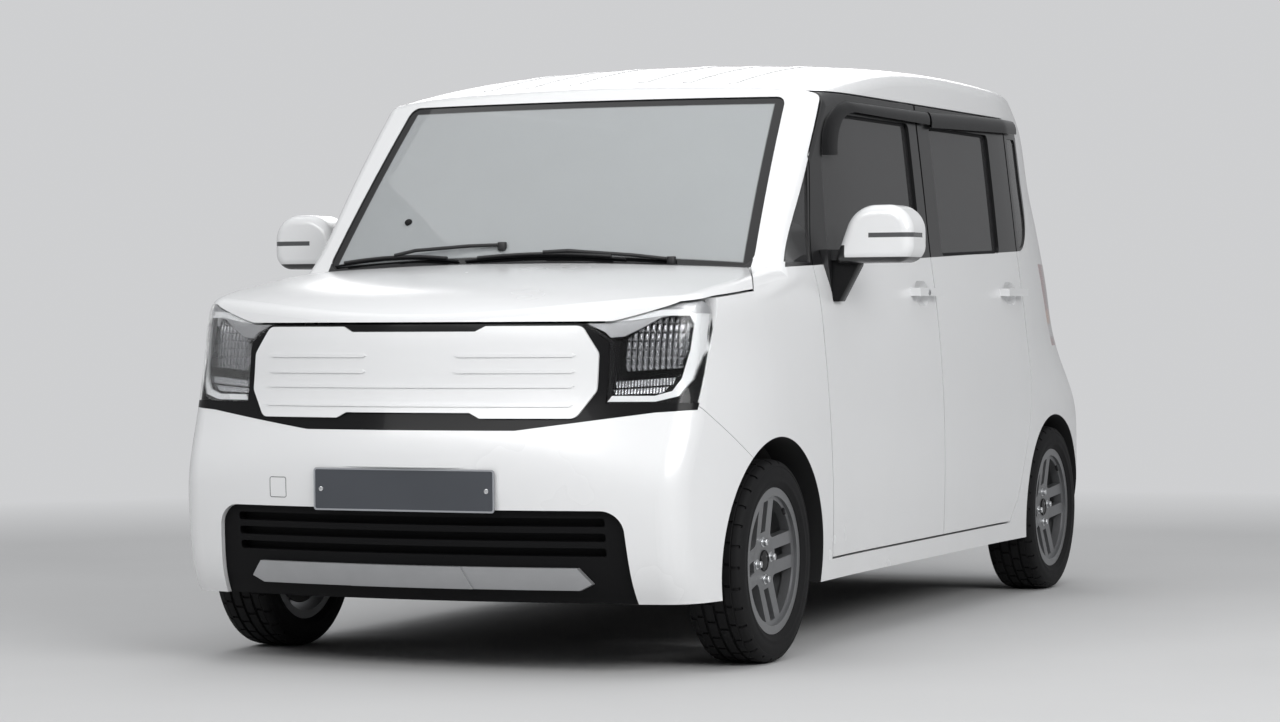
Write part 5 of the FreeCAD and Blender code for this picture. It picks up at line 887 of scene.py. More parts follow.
def finish(name):
    """The material of one finish, made when it is first asked for."""
    car = settings()
    makers = {
        "paint": lambda: white_paint("White paint"),
        "paint_band": lambda: white_paint("White paint with window band", band=True, lining="X"),
        "paint_roof": lambda: white_paint("White paint of the roof", lining="Z"),
        "paint_tailgate": lambda: white_paint("White paint of the tailgate", lining="Y"),
        "gloss_black": lambda: piano_black("Gloss black trim"),
        "grain_black": lambda: plastic("Grained black plastic", (0.016, 0.016, 0.017), 0.45, dusty=0.2,
                                       wear=0.2),
        "deep_black": lambda: dull(plastic("Deep black plastic", (0.004, 0.004, 0.0045), 0.62)),
        "satin_silver": lambda: metal("Satin silver trim", (0.40, 0.405, 0.415), 0.32, metallic=0.6,
                                      dirty=0.1),
        "chrome": lambda: metal("Bright plating", (0.78, 0.79, 0.8), 0.06, 200.0, 0.01),
        "paint_mirror": lambda: white_paint("White paint of the mirrors", mirror=True),
        "reflector": lambda: fluted_metal("Lamp reflector", (0.36, 0.365, 0.38), 0.1, 0.014, 0.022),
        "lamp_bars": lambda: fluted_metal("Fluted lamp bars", (0.6, 0.61, 0.63), 0.08, 0.0075),
        "light_guide": lambda: plastic("White light guide", (0.86, 0.88, 0.9), 0.12, 300.0, 0.02),
        "lens": lambda: glass("Clear lamp lens", (0.97, 0.975, 0.98), 1.0, 0.01, solid=0.3),
        "screen": lambda: glass("Windscreen glass", car.screen_tint, 0.55, 0.015, screen_border),
        "privacy": lambda: glass("Smoked side glass", car.glass_tint, 0.55, 0.03),
        "red": lambda: lamp_red("Red lamp lens", TAIL_WINDOWS),
        "stop_red": lambda: lamp_red("Red lens"),
        "alloy": lambda: metal("Dark alloy", car.alloy_colour, 0.32, 900.0, 0.08, dirty=0.1, metallic=0.7,
                               wear=0.3),
        "bolt": lambda: metal("Bright bolts", (0.7, 0.71, 0.72), 0.2, 300.0, 0.03),
        "tyre": lambda: rubber("Tyre rubber", (0.007, 0.007, 0.0075)),
        "seal": lambda: rubber("Rubber seal", (0.012, 0.012, 0.013)),
        "underbody": lambda: metal("Underbody paint", (0.05, 0.05, 0.052), 0.5, 200.0, 0.4, 0.5, 0.0, 0.15),
        "cast_iron": lambda: metal("Cast iron", (0.16, 0.15, 0.14), 0.55, 120.0, 0.7, 0.5, 0.8, 0.3),
        "cast_alloy": lambda: metal("Cast alloy", (0.42, 0.42, 0.43), 0.45, 150.0, 0.5, 0.4, 1.0, 0.2),
        "pipe": lambda: metal("Exhaust steel", (0.3, 0.27, 0.24), 0.35, 90.0, 0.2, 0.6, 1.0, 0.2),
        "dash": lambda: plastic("Dashboard plastic", (0.03, 0.03, 0.032), 0.55, 900.0, 0.5),
        "dash_trim": lambda: plastic("Pale dashboard trim", (0.28, 0.28, 0.29), 0.4, 900.0, 0.3),
        "leather": lambda: plastic("Grained leather", (0.022, 0.022, 0.023), 0.42, 260.0, 0.8, wear=0.1),
        "cloth": lambda: woven("Seat cloth", (0.05, 0.05, 0.055)),
        "front_cloth": lambda: woven("Front seat cloth", (0.045, 0.045, 0.05), panels=(0.135, 0.345)),
        "rear_cloth": lambda: woven("Rear seat cloth", (0.045, 0.045, 0.05), panels=(0.15, 0.26)),
        "plate": lambda: plastic("Blank plate", (0.055, 0.06, 0.07), 0.3, 700.0, 0.05),
        "plate_edge": lambda: plastic("Plate border", (0.3, 0.31, 0.33), 0.3, 700.0, 0.05),
        "visor": lambda: piano_black("Dark visor"),
        "mirror": lambda: metal("Mirror glass", (0.85, 0.86, 0.87), 0.01, 100.0, 0.0),
    }
    if name not in MATERIALS:
        MATERIALS[name] = makers[name]()
    return MATERIALS[name]


NODE_FINISHES = {
    "hood": "paint", "front_fenders": "paint", "front_bumper": "paint", "rear_bumper": "paint",
    "grille_panel": "paint", "roof_panel": "paint_roof", "side_frame_left": "paint_band",
    "side_frame_right": "paint_band", "front_door_left": "paint_band", "front_door_right": "paint_band",
    "rear_door_left": "paint_band", "sliding_door_right": "paint_band", "tailgate": "paint_tailgate",
    "mirror_left": "paint_mirror", "mirror_right": "paint_mirror", "grille_surround": "gloss_black",
    "headlamps": "gloss_black", "headlamp_lenses": "lens", "lower_intake": "deep_black",
    "cowl_panel": "grain_black", "skid_plate": "satin_silver", "windshield": "screen",
    "front_door_glass_left": "privacy", "front_door_glass_right": "privacy",
    "rear_door_glass_left": "privacy", "fixed_side_glass": "privacy", "tailgate_glass": "privacy",
    "tail_lamps": "red", "floor_pan": "underbody", "engine_block": "cast_alloy", "exhaust": "pipe",
    "fuel_tank": "grain_black", "front_suspension": "underbody", "knuckle_left": "cast_iron",
    "knuckle_right": "cast_iron", "rear_axle": "underbody", "dashboard": "dash",
    "steering_wheel": "leather", "front_seats": "cloth", "rear_seat": "cloth", "headrests": "cloth",
    "seat_frames": "dash",
}
for end in ("front", "rear"):
    for side in ("left", "right"):
        NODE_FINISHES["tyre_%s_%s" % (end, side)] = "tyre"
        NODE_FINISHES["rim_%s_%s" % (end, side)] = "alloy"


# Stage

BACKDROP = (0.62, 0.625, 0.635)
DOME_LOW = (0.07, 0.07, 0.073)
DOME_HIGH = (0.5, 0.51, 0.525)
FLOOR_DARK = (0.52, 0.52, 0.52)
FLOOR_PALE = (0.57, 0.57, 0.57)
# Where the floor starts to fade to the backdrop, and over what distance
FADE_START = 4.2
FADE_LENGTH = 3.0
# Each light's name, place, target, width, height and share of the light power
LIGHTS = (("Ceiling light", (0.5, -0.5, 5.6), (0, 0, 0.6), 7.0, 8.0, 0.58),
          ("Front light", (-1.5, -8.0, 5.4), (0, -1.4, 0.6), 6.0, 3.0, 1.3),
          ("Side light", (6.8, -4.6, 4.2), (0, -0.4, 0.7), 6.0, 2.6, 1.85),
          ("Rear light", (-3.0, 7.5, 4.4), (0, 1.0, 0.8), 5.0, 2.6, 0.6))


def seen_rays(tree):
    """Mask of the camera's rays and of those that glass and gloss send on."""
    path = node(tree, "ShaderNodeLightPath", "Ray")
    seen = math_node(tree, "MAXIMUM", path.outputs["Is Camera Ray"], path.outputs["Is Transmission Ray"],
                     "Seen")
    mirrored = math_node(tree, "MULTIPLY", path.outputs["Is Glossy Ray"], 0.5, "Dimmed in gloss")
    return math_node(tree, "MAXIMUM", seen, mirrored, "Seen or mirrored")


def build_world():
    world = bpy.data.worlds.new("Studio")
    bpy.context.scene.world = world
    world.use_nodes = True
    tree = world.node_tree
    background = tree.nodes["Background"]
    place = node(tree, "ShaderNodeTexCoord", "Direction").outputs["Generated"]
    height = node(tree, "ShaderNodeSeparateXYZ", "Height", {0: place}).outputs["Z"]
    dome = node(tree, "ShaderNodeMapRange", "Dome", {"Value": height, "From Min": 0.0, "From Max": 0.8})
    lit = blended(tree, dome.outputs["Result"], DOME_LOW, DOME_HIGH, "Soft dome")
    seen = blended(tree, seen_rays(tree), lit, BACKDROP, "Pale backdrop")
    tree.links.new(seen, background.inputs["Color"])
    background.inputs["Strength"].default_value = 1.0


def build_floor():
    deselect_all()
    bpy.ops.mesh.primitive_circle_add(vertices=96, radius=settings().floor_radius, fill_type="NGON",
                                      location=(0, 0, 0))
    floor = apply_place(named(bpy.context.object, "floor"))
    material, tree, surface = start_material("Pale floor")
    place = object_place(tree)
    grain = shared(tree, "Fine grain", "Floor grain", {"Vector": place, "Scale": 40.0, "Patches": 0.8})
    colour = blended(tree, grain.outputs["Mask"], FLOOR_DARK, FLOOR_PALE, "Pale floor")
    reach = node(tree, "ShaderNodeVectorMath", "From the middle", {0: place}, operation="LENGTH")
    far = between(tree, "Far floor", reach.outputs["Value"], FADE_START, 2 * settings().floor_radius,
                  FADE_LENGTH)
    fade = math_node(tree, "MULTIPLY", far, seen_rays(tree), "Fade to the backdrop")
    colour = blended(tree, fade, colour, (0, 0, 0), "Faded floor")
    tree.links.new(colour, surface.inputs["Base Color"])
    surface.inputs["Roughness"].default_value = 0.5
    surface.inputs["Specular IOR Level"].default_value = 0.0
    tree.links.new(fade, surface.inputs["Emission Strength"])
    surface.inputs["Emission Color"].default_value = (*BACKDROP, 1)
    floor.data.materials.append(material)


def build_camera():
    car = settings()
    data = bpy.data.cameras.new("Photo camera")
    camera = bpy.data.objects.new("Photo camera", data)
    bpy.context.collection.objects.link(camera)
    azimuth, dip, roll = car.camera_azimuth, car.camera_dip, car.camera_roll
    back = Vector((math.sin(azimuth) * math.cos(dip), -math.cos(azimuth) * math.cos(dip), math.sin(dip)))
    right = Vector((math.cos(azimuth), math.sin(azimuth), 0))
    up = back.cross(right)
    across = math.cos(roll) * right + math.sin(roll) * up
    above = back.cross(across)
    axes = Matrix((across, above, back)).transposed()
    camera.matrix_world = Matrix.Translation(car.camera_place) @ axes.to_4x4()
    data.sensor_width = SENSOR
    data.lens = SENSOR * FOCAL_PIXELS / PHOTO_WIDTH
    data.shift_x = (PHOTO_WIDTH / 2 - AXIS_PIXEL[0]) / PHOTO_WIDTH
    data.shift_y = (AXIS_PIXEL[1] - PHOTO_HEIGHT / 2) / PHOTO_WIDTH
    data.clip_end = 200
    bpy.context.scene.camera = camera


def soft_light(name, place, target, width, height, power):
    data = bpy.data.lights.new(name, "AREA")
    data.shape = "RECTANGLE"
    data.size, data.size_y = width, height
    data.energy = power
    light = bpy.data.objects.new(name, data)
    bpy.context.collection.objects.link(light)
    light.location = place
    light.rotation_euler = (Vector(target) - Vector(place)).to_track_quat("-Z", "Y").to_euler()


def build_lights():
    for name, place, target, width, height, share in LIGHTS:
        soft_light(name, place, target, width, height, share * settings().light_power)


# Wheels

FRONT_WHEEL_X = 0.703
REAR_WHEEL_X = 0.71
# Each wheel's name, place and side of the car
WHEELS = [(end + "_" + side, (x if side == "left" else -x), y, 1 if side == "left" else -1)
          for end, x, y in (("front", FRONT_WHEEL_X, FRONT_AXLE_Y), ("rear", REAR_WHEEL_X, REAR_AXLE_Y))
          for side in ("left", "right")]


def spun(name, profile, centre, steps, closed_profile=True):
    """Ring turned about the X axis through centre from (x, radius) points."""
    mesh = bpy.data.meshes.new(name)
    obj = bpy.data.objects.new(name, mesh)
    bpy.context.collection.objects.link(obj)
    count = len(profile)
    edges = [(i, (i + 1) % count) for i in range(count if closed_profile else count - 1)]
    mesh.from_pydata([(centre[0] + x, centre[1], centre[2] + r) for x, r in profile], edges, [])
    select_only(obj)
    bpy.ops.object.mode_set(mode="EDIT")
    bpy.ops.mesh.select_all(action="SELECT")
    bpy.ops.mesh.spin(steps=steps, angle=math.tau, center=centre, axis=(1, 0, 0), dupli=False)
    bpy.ops.mesh.select_all(action="SELECT")
    bpy.ops.mesh.remove_doubles(threshold=SPUN_MERGE)
    bpy.ops.mesh.normals_make_consistent(inside=False)
    bpy.ops.object.mode_set(mode="OBJECT")
    return obj


# Radii of the tyre's ribs, and its grooves' places and half widths
CROWN = 0.2697
INNER_RIB = 0.2694
OUTER_RIB = 0.2693
MIDDLE_GROOVE_HALF = 0.0042
SIDE_GROOVE_HALF = 0.0045
SIDE_GROOVE_X = 0.031
GROOVE_SLOPE = 0.001
# Shoulder, side wall and bead as (x, radius)
SIDE_WALL = [(0.0515, 0.2688), (0.0525, 0.2675), (0.0550, 0.2675), (0.0560, 0.2684), (0.0655, 0.2665),
             (0.0718, 0.2632), (0.0762, 0.2575), (0.0785, 0.2505), (0.0776, 0.2490), (0.0798, 0.2420),
             (0.0812, 0.2350), (0.0810, 0.2260), (0.0796, 0.2170), (0.0806, 0.2140), (0.0800, 0.2100),
             (0.0770, 0.2060), (0.0745, 0.2000), (0.0722, 0.1952), (0.0705, 0.1944), (0.0640, 0.1944)]
# Each rib's limits across the tyre, and the steps that its cross grooves are shifted by
RIBS = [(0.006, 0.026, 0), (-0.026, -0.006, 3), (0.0365, 0.050, 2), (-0.050, -0.0365, 5),
        (0.057, 0.0785, 1), (-0.0785, -0.057, 4)]
TREAD_EDGE = 0.2545
CROSS_GROOVE = 0.0045


def tyre_profile():
    """Section of a tyre: half of it from the middle groove to the bead, then its mirrored half."""
    deep = settings().groove_depth
    low, high = SIDE_GROOVE_X - SIDE_GROOVE_HALF, SIDE_GROOVE_X + SIDE_GROOVE_HALF
    half = [(0.0, CROWN - deep), (MIDDLE_GROOVE_HALF - GROOVE_SLOPE, CROWN - deep),
            (MIDDLE_GROOVE_HALF, CROWN),
            (low, INNER_RIB), (low + GROOVE_SLOPE, INNER_RIB - deep),
            (high - GROOVE_SLOPE, INNER_RIB - deep), (high, OUTER_RIB)]
    half += SIDE_WALL
    other = [(-x, r) for x, r in reversed(half) if x > 0]
    return half + other


def cut_tread(obj, centre, steps):
    """Press cross grooves into the ribs, staggered from rib to rib."""
    every = settings().tread_pitch
    mesh = obj.data
    select_only(obj)
    for polygon in mesh.polygons:
        middle = polygon.center - centre
        radius = math.hypot(middle.y, middle.z)
        index = int(round(math.atan2(middle.z, middle.y) / math.tau * steps - 0.5)) % steps
        inside = any(low < middle.x < high and (index + shift) % every == 0 for low, high, shift in RIBS)
        polygon.select = inside and radius > TREAD_EDGE
    for edge in mesh.edges:
        edge.select = False
    for vertex in mesh.vertices:
        vertex.select = False
    for polygon in mesh.polygons:
        if polygon.select:
            for vertex in polygon.vertices:
                mesh.vertices[vertex].select = True
    bpy.ops.object.mode_set(mode="EDIT")
    bpy.ops.mesh.select_mode(type="FACE")
    bpy.ops.object.mode_set(mode="OBJECT")
    bpy.ops.object.mode_set(mode="EDIT")
    bpy.ops.mesh.extrude_region_shrink_fatten(TRANSFORM_OT_shrink_fatten={"value": -CROSS_GROOVE})
    bpy.ops.object.mode_set(mode="OBJECT")


def build_tyres():
    steps = settings().tyre_steps
    for place, x, y, side in WHEELS:
        centre = Vector((x, y, WHEEL_HEIGHT))
        obj = spun("tyre_tread_" + place, tyre_profile(), centre, steps)
        cut_tread(obj, centre, steps)
        smooth(obj, 32)
        fitted(obj, "wheel_" + place, finish("tyre"))
        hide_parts("tyre_" + place)


# The outer face of the hub from the wheel's middle, and the four bolts on it
HUB_FACE = 0.042
BOLT_COUNT = 4
BOLT_TURN = 8
BOLT_CIRCLE = 0.05
BOLT_RADIUS = 0.0105
BOLT_DEPTH = 0.016
BOLT_OUT = 0.006
WASHER_RADIUS = 0.014
WASHER_IN = 0.002
WASHER_OUT = 0.0025
# Section of the blank centre cap as (out from the hub face, radius)
CAP = [(-0.004, 0.0), (-0.004, 0.0285), (0.003, 0.0285), (0.0045, 0.027), (0.0045, 0.0245), (0.003, 0.0235),
       (0.0035, 0.012), (0.0042, 0.0)]
# The valve's foot and tip, each as (out from the wheel's middle, radius)
VALVE_TURN = 53
VALVE_FOOT = (0.058, 0.166)
VALVE_TIP = (0.066, 0.148)
VALVE_RADIUS = 0.0042
SHIELD_IN = 0.049
SHIELD_THICK = 0.003
SHIELD_RADIUS = 0.150


def on_wheel(wheel, out, turn=0.0, radius=0.0):
    """Point on a wheel, so far out from its middle and so far round and away from its axle."""
    x, y, side = wheel[1:]
    return Vector((x + side * out, y + math.cos(turn) * radius, WHEEL_HEIGHT + math.sin(turn) * radius))


def build_wheel_bolts(wheel):
    nuts = []
    for i in range(BOLT_COUNT):
        turn = math.radians(BOLT_TURN + 360 / BOLT_COUNT * i)
        deselect_all()
        bpy.ops.mesh.primitive_cylinder_add(vertices=6, radius=BOLT_RADIUS, depth=BOLT_DEPTH,
                                            location=on_wheel(wheel, HUB_FACE + BOLT_OUT, turn, BOLT_CIRCLE),
                                            rotation=(0, math.pi / 2, 0))
        nut = round_edges(apply_place(bpy.context.object), 0.0025, 3)
        washer = rod("washer", on_wheel(wheel, HUB_FACE - WASHER_IN, turn, BOLT_CIRCLE),
                     on_wheel(wheel, HUB_FACE + WASHER_OUT, turn, BOLT_CIRCLE), WASHER_RADIUS, 24, 0.001)
        nuts += [nut, washer]
    bolts = closed(joined(nuts, "wheel_bolts_" + wheel[0]))
    fitted(bolts, "wheel_" + wheel[0], finish("bolt"))


def build_wheel_cap(wheel):
    place, side = wheel[0], wheel[3]
    profile = [(side * (HUB_FACE + out), radius) for out, radius in CAP]
    cap = spun("wheel_cap_" + place, profile, on_wheel(wheel, 0), 48, closed_profile=False)
    smooth(cap)
    fitted(cap, "wheel_" + place, finish("gloss_black"))


def build_valve(wheel):
    turn = math.radians(VALVE_TURN)
    low, tip = [on_wheel(wheel, out, turn, radius) for out, radius in (VALVE_FOOT, VALVE_TIP)]
    valve = rod("valve_" + wheel[0], low, tip, VALVE_RADIUS, 16, 0.0008)
    fitted(valve, "wheel_" + wheel[0], finish("seal"))


def build_brake_shield(wheel):
    """Thin shield behind a wheel; the front ones turn with the knuckles."""
    place, side = wheel[0], wheel[3]
    shield = rod("brake_shield_" + place, on_wheel(wheel, -SHIELD_IN),
                 on_wheel(wheel, -SHIELD_IN - SHIELD_THICK), SHIELD_RADIUS, 64, 0.001)
    carrier = "knuckle_left" if side > 0 else "knuckle_right"
    fitted(shield, carrier if place.startswith("front") else "body", finish("underbody"))


def build_wheel_details():
    """The bolts, the blank centre cap, the valve and the brake shield of each wheel."""
    for wheel in WHEELS:
        build_wheel_bolts(wheel)
        build_wheel_cap(wheel)
        build_valve(wheel)
        build_brake_shield(wheel)


# Headlamps

# Outlines of the left lamp's inner pieces, seen from the front as (x, z)
BLADE = [(0.452, 0.906), (0.478, 0.932), (0.561, 0.947), (0.671, 0.962), (0.712, 0.966), (0.742, 0.934),
         (0.738, 0.925), (0.700, 0.929), (0.639, 0.916), (0.592, 0.888), (0.554, 0.869), (0.521, 0.866),
         (0.506, 0.880)]
GUIDE = [(0.496, 0.914), (0.564, 0.925), (0.646, 0.936), (0.718, 0.938), (0.7352, 0.926), (0.7355, 0.900),
         (0.7355, 0.833), (0.722, 0.758), (0.697, 0.717), (0.643, 0.7035), (0.523, 0.7035), (0.533, 0.718),
         (0.640, 0.718), (0.682, 0.730), (0.702, 0.762), (0.715, 0.834), (0.7185, 0.900), (0.709, 0.921),
         (0.648, 0.921), (0.572, 0.909), (0.500, 0.903)]
BOWL = [(0.558, 0.862), (0.592, 0.886), (0.639, 0.914), (0.697, 0.918), (0.711, 0.905), (0.711, 0.838),
        (0.702, 0.788), (0.560, 0.780), (0.552, 0.800)]
EDGE = [(0.737, 0.945), (0.7365, 0.833), (0.724, 0.755), (0.700, 0.711), (0.660, 0.699), (0.78, 0.699),
        (0.78, 0.945)]
BARS = [[(0.536, 0.754), (0.688, 0.764), (0.681, 0.746), (0.540, 0.738)],
        [(0.532, 0.733), (0.672, 0.741), (0.655, 0.725), (0.536, 0.722)]]


# Each inner piece, how far it sits in and back from the lens, its slot and its finish
LAMP_PIECES = (("lamp_blade", BLADE, (0.006, 0.006), "silver_trim", "satin_silver"),
               ("lamp_guide", GUIDE, (0.009, 0.0035), "lamp_reflector", "light_guide"),
               ("lamp_edge", EDGE, (0.004, 0.004), "lamp_reflector", "gloss_black"),
               ("lamp_bowl", BOWL, (0.02, 0.03), "lamp_reflector", "reflector"),
               ("lamp_bar_1", BARS[0], (0.012, 0.014), "lamp_reflector", "lamp_bars"),
               ("lamp_bar_2", BARS[1], (0.012, 0.014), "lamp_reflector", "lamp_bars"))
LAMP_FRONT_Y = -1.75
LAMP_REAR_Y = -1.45
# Where the lens starts to wrap round the corner, and over what width
WRAP_START = 0.5
WRAP_LENGTH = 0.2
LENS_SKIN = 0.004
LEFT_LAMP_BOX = ((0.3, -1.8, 0.6), (0.8, -1.4, 1.0))


def lamp_part(name, points, shift, material):
    """A piece behind the headlamp lens that follows its curve, and its twin."""
    outline = [(x - shift[0] * min(1, max(0, (x - WRAP_START) / WRAP_LENGTH)), z) for x, z in points]
    left = skin_part(name + "_left", "headlamp_lenses", outline, "front", LAMP_FRONT_Y, LAMP_REAR_Y,
                     (-shift[0], shift[1], 0))
    right = mirrored_copy(left, name + "_right")
    for obj in (left, right):
        fitted(obj, "body", material)


def build_lamp_housing():
    """The open lamp housing, cleared of what closes its front behind the lens."""
    left = combine(copy_of("headlamps", "lamp_housing_left"), block("half", *LEFT_LAMP_BOX), "INTERSECT")
    skin = copy_of("headlamp_lenses", "lamp_front", (-LENS_SKIN, LENS_SKIN, 0))
    front = combine(skin, block("half", *LEFT_LAMP_BOX), "INTERSECT")
    left = smooth(combine(left, front, "DIFFERENCE"), 30)
    housing = joined([left, mirrored_copy(left, "lamp_housing_right")], "lamp_housings")
    fitted(housing, "body", finish("gloss_black"))
    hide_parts("headlamps")


def build_headlamps():
    build_lamp_housing()
    for name, outline, shift, slot, kind in LAMP_PIECES:
        lamp_part(name, outline, shift, finish(kind))


# Number plate and front trim

# The blank plate's height and seat on the bumper, its border and its screws
PLATE_MIDDLE_Z = 0.478
PLATE_SEAT_Y = -1.7891
PLATE_THICK = 0.0014
PLATE_CORNER = 0.008
BORDER_FRONT = 0.0022
BORDER_BACK = 0.001
BORDER_WIDTH = 0.0045
BORDER_CORNER = 0.005
BORDER_OVERCUT = 0.02
SCREW_X = 0.238
SCREW_RADIUS = 0.0065
SCREW_IN = 0.002
SCREW_OUT = 0.0042


def build_number_plate():
    """A blank plate on the bumper with a thin raised border and two screws."""
    car = settings()
    half, tall = car.plate_width / 2, car.plate_height / 2
    low, high = PLATE_MIDDLE_Z - tall, PLATE_MIDDLE_Z + tall
    corners = [(-half, low), (half, low), (half, high), (-half, high)]
    panel = cut_plate("front_plate", rounded(corners, PLATE_CORNER), "front", PLATE_SEAT_Y - PLATE_THICK,
                      PLATE_SEAT_Y)
    fitted(panel, "body", finish("plate"))
    outer = cut_plate("front_plate_border", rounded(corners, PLATE_CORNER), "front",
                      PLATE_SEAT_Y - BORDER_FRONT, PLATE_SEAT_Y - BORDER_BACK)
    inner = cut_plate("front_plate_hole", rounded(inset(corners, BORDER_WIDTH), BORDER_CORNER), "front",
                      PLATE_SEAT_Y - BORDER_OVERCUT, PLATE_SEAT_Y + BORDER_OVERCUT)
    fitted(smooth(combine(outer, inner, "DIFFERENCE")), "body", finish("plate_edge"))
    screws = [rod("screw", (x, PLATE_SEAT_Y + SCREW_IN, PLATE_MIDDLE_Z),
                  (x, PLATE_SEAT_Y - SCREW_OUT, PLATE_MIDDLE_Z), SCREW_RADIUS, 20, 0.0012)
              for x in (-SCREW_X, SCREW_X)]
    fitted(joined(screws, "front_plate_screws"), "body", finish("bolt"))


TOWING_COVER = [(-0.409, 0.452), (-0.355, 0.452), (-0.355, 0.506), (-0.409, 0.506)]
DOT_X = -0.425
DOT_Z = 1.186
DOT_RADIUS = 0.011


def build_front_trim():
    """Towing-eye cover in the bumper and a dark dot on the windscreen."""
    cover = skin_ring("towing_cover_line", "front_bumper", TOWING_COVER, 0.006, 0.0016, "front", -1.80, -1.70,
                      (0, -0.0003, 0))
    fitted(cover, "body", finish("seal"))
    place = surface_at((DOT_X, AHEAD, DOT_Z), (0, 1, 0), ["windshield"])
    dot = rod("screen_dot", place + Vector((0, 0.002, 0)), place + Vector((0, -0.003, 0.004)), DOT_RADIUS, 24,
              0.001)
    fitted(dot, "body", finish("gloss_black"))


# Side windows and mirrors

VISOR_FRONT_OUTER = [(-0.609, 1.366), (-0.598, 1.405), (-0.581, 1.437), (-0.551, 1.468), (-0.506, 1.492),
                     (-0.450, 1.514), (-0.378, 1.530), (0.332, 1.534)]
VISOR_FRONT_INNER = [(-0.520, 1.369), (-0.512, 1.402), (-0.490, 1.438), (-0.451, 1.472), (-0.405, 1.490),
                     (-0.347, 1.499), (0.318, 1.494)]
VISOR_REAR_OUTER = [(0.352, 1.535), (0.8, 1.545), (1.270, 1.551)]
VISOR_REAR_INNER = [(0.334, 1.486), (0.8, 1.497), (1.262, 1.507)]
FRONT_WINDOW = [(0.152, 1.088), (0.155, 1.490), (-0.505, 1.490), (-0.612, 1.361), (-0.644, 1.068)]
REAR_WINDOW = [(0.932, 1.110), (0.935, 1.490), (0.345, 1.490), (0.345, 1.094)]


VISOR_POINTS = 44
VISOR_THICK = 0.0022
# Share of the way from a visor's outer edge to its inner one, and the lift off the side there
VISOR_ROWS = ((0, 0.0012), (0.08, 0.0075), (0.3, 0.0125), (0.62, 0.0155), (1, 0.0145))
# The car's side under the roof rail: its place, its lean and how it draws in at the front and the rear
RAIL_X = 0.6926
RAIL_Z = 1.54
SIDE_LEAN = 0.1145
DRAW_FRONT = 0.0067
DRAW_FRONT_Y = -0.3
DRAW_FRONT_LENGTH = 0.3
DRAW_REAR = 0.0195
DRAW_REAR_Y = 1.1
DRAW_REAR_LENGTH = 0.19
SEAL_CORNER = 0.02
SEAL_WIDTH = 0.009
SEAL_LIFT = 0.0015
SIDE_NEAR_X = 0.5
SIDE_FAR_X = 0.9


def side_place(y, z, lift):
    """Point over the smooth side under the roof rail, lifted outwards; it draws in at both ends."""
    ahead = max(0, DRAW_FRONT_Y - y) / DRAW_FRONT_LENGTH
    behind = max(0, y - DRAW_REAR_Y) / DRAW_REAR_LENGTH
    x = RAIL_X + (RAIL_Z - z) * SIDE_LEAN - DRAW_FRONT * ahead - DRAW_REAR * behind + lift
    return Vector((x, y, z))


def build_visors():
    """Dark rain visors over the side windows, fixed at their outer edge."""
    for name, outer, inner, left_body, right_body in (
            ("visor_front", VISOR_FRONT_OUTER, VISOR_FRONT_INNER, "door_front_left", "door_front_right"),
            ("visor_rear", VISOR_REAR_OUTER, VISOR_REAR_INNER, "door_rear_left", "body")):
        outside, inside = resampled(outer, VISOR_POINTS), resampled(inner, VISOR_POINTS)
        rows = [[side_place(*a.lerp(b, share), lift) for a, b in zip(outside, inside)]
                for share, lift in VISOR_ROWS]
        left = lofted(name + "_left", rows, VISOR_THICK)
        right = mirrored_copy(left, name + "_right")
        fitted(left, left_body, finish("visor"))
        fitted(right, right_body, finish("visor"))


def build_window_seals():
    """Rubber frames round the door glass, with their twins on the right side."""
    for name, node, points, left_body, right_body in (
            ("front_seal", "front_door_glass_left", FRONT_WINDOW, "door_front_left", "door_front_right"),
            ("rear_seal", "rear_door_glass_left", REAR_WINDOW, "door_rear_left", "body")):
        left = skin_ring(name + "_left", node, points, SEAL_CORNER, SEAL_WIDTH, "side", SIDE_NEAR_X,
                         SIDE_FAR_X, (SEAL_LIFT, 0, 0))
        right = mirrored_copy(left, name + "_right")
        fitted(left, left_body, finish("seal"))
        fitted(right, right_body, finish("seal"))


# Outlines of the left mirror's glass and foot as (x, z, corner), and their limits along the car
MIRROR_GLASS = [(0.7785, 1.0725, 0.012), (0.8395, 1.2115, 0.080), (0.9895, 1.2115, 0.064),
                (0.9895, 1.0725, 0.038)]
MIRROR_FOOT = [(0.732, 1.071, 0.004), (0.832, 1.071, 0.004), (0.832, 1.056, 0.008), (0.776, 0.9555, 0.004),
               (0.752, 0.9555, 0.004)]
GLASS_FRONT_Y = -0.5798
GLASS_REAR_Y = -0.5768
WEDGE_FRONT_Y = -0.662
WEDGE_REAR_Y = -0.610


def build_mirror_feet():
    """Black wedge between the door and the mirror housing."""
    left = cut_plate("mirror_foot_left", MIRROR_FOOT, "front", WEDGE_FRONT_Y, WEDGE_REAR_Y, 0.003)
    right = mirrored_copy(left, "mirror_foot_right")
    fitted(left, "door_front_left", finish("gloss_black"))
    fitted(right, "door_front_right", finish("gloss_black"))


def build_mirror_glass():
    left = cut_plate("mirror_glass_left", MIRROR_GLASS, "front", GLASS_FRONT_Y, GLASS_REAR_Y)
    right = mirrored_copy(left, "mirror_glass_right")
    fitted(left, "door_front_left", finish("mirror"))
    fitted(right, "door_front_right", finish("mirror"))


LOCK_Y = 0.086
LOCK_Z = 0.982
LOCK_RADIUS = 0.0085


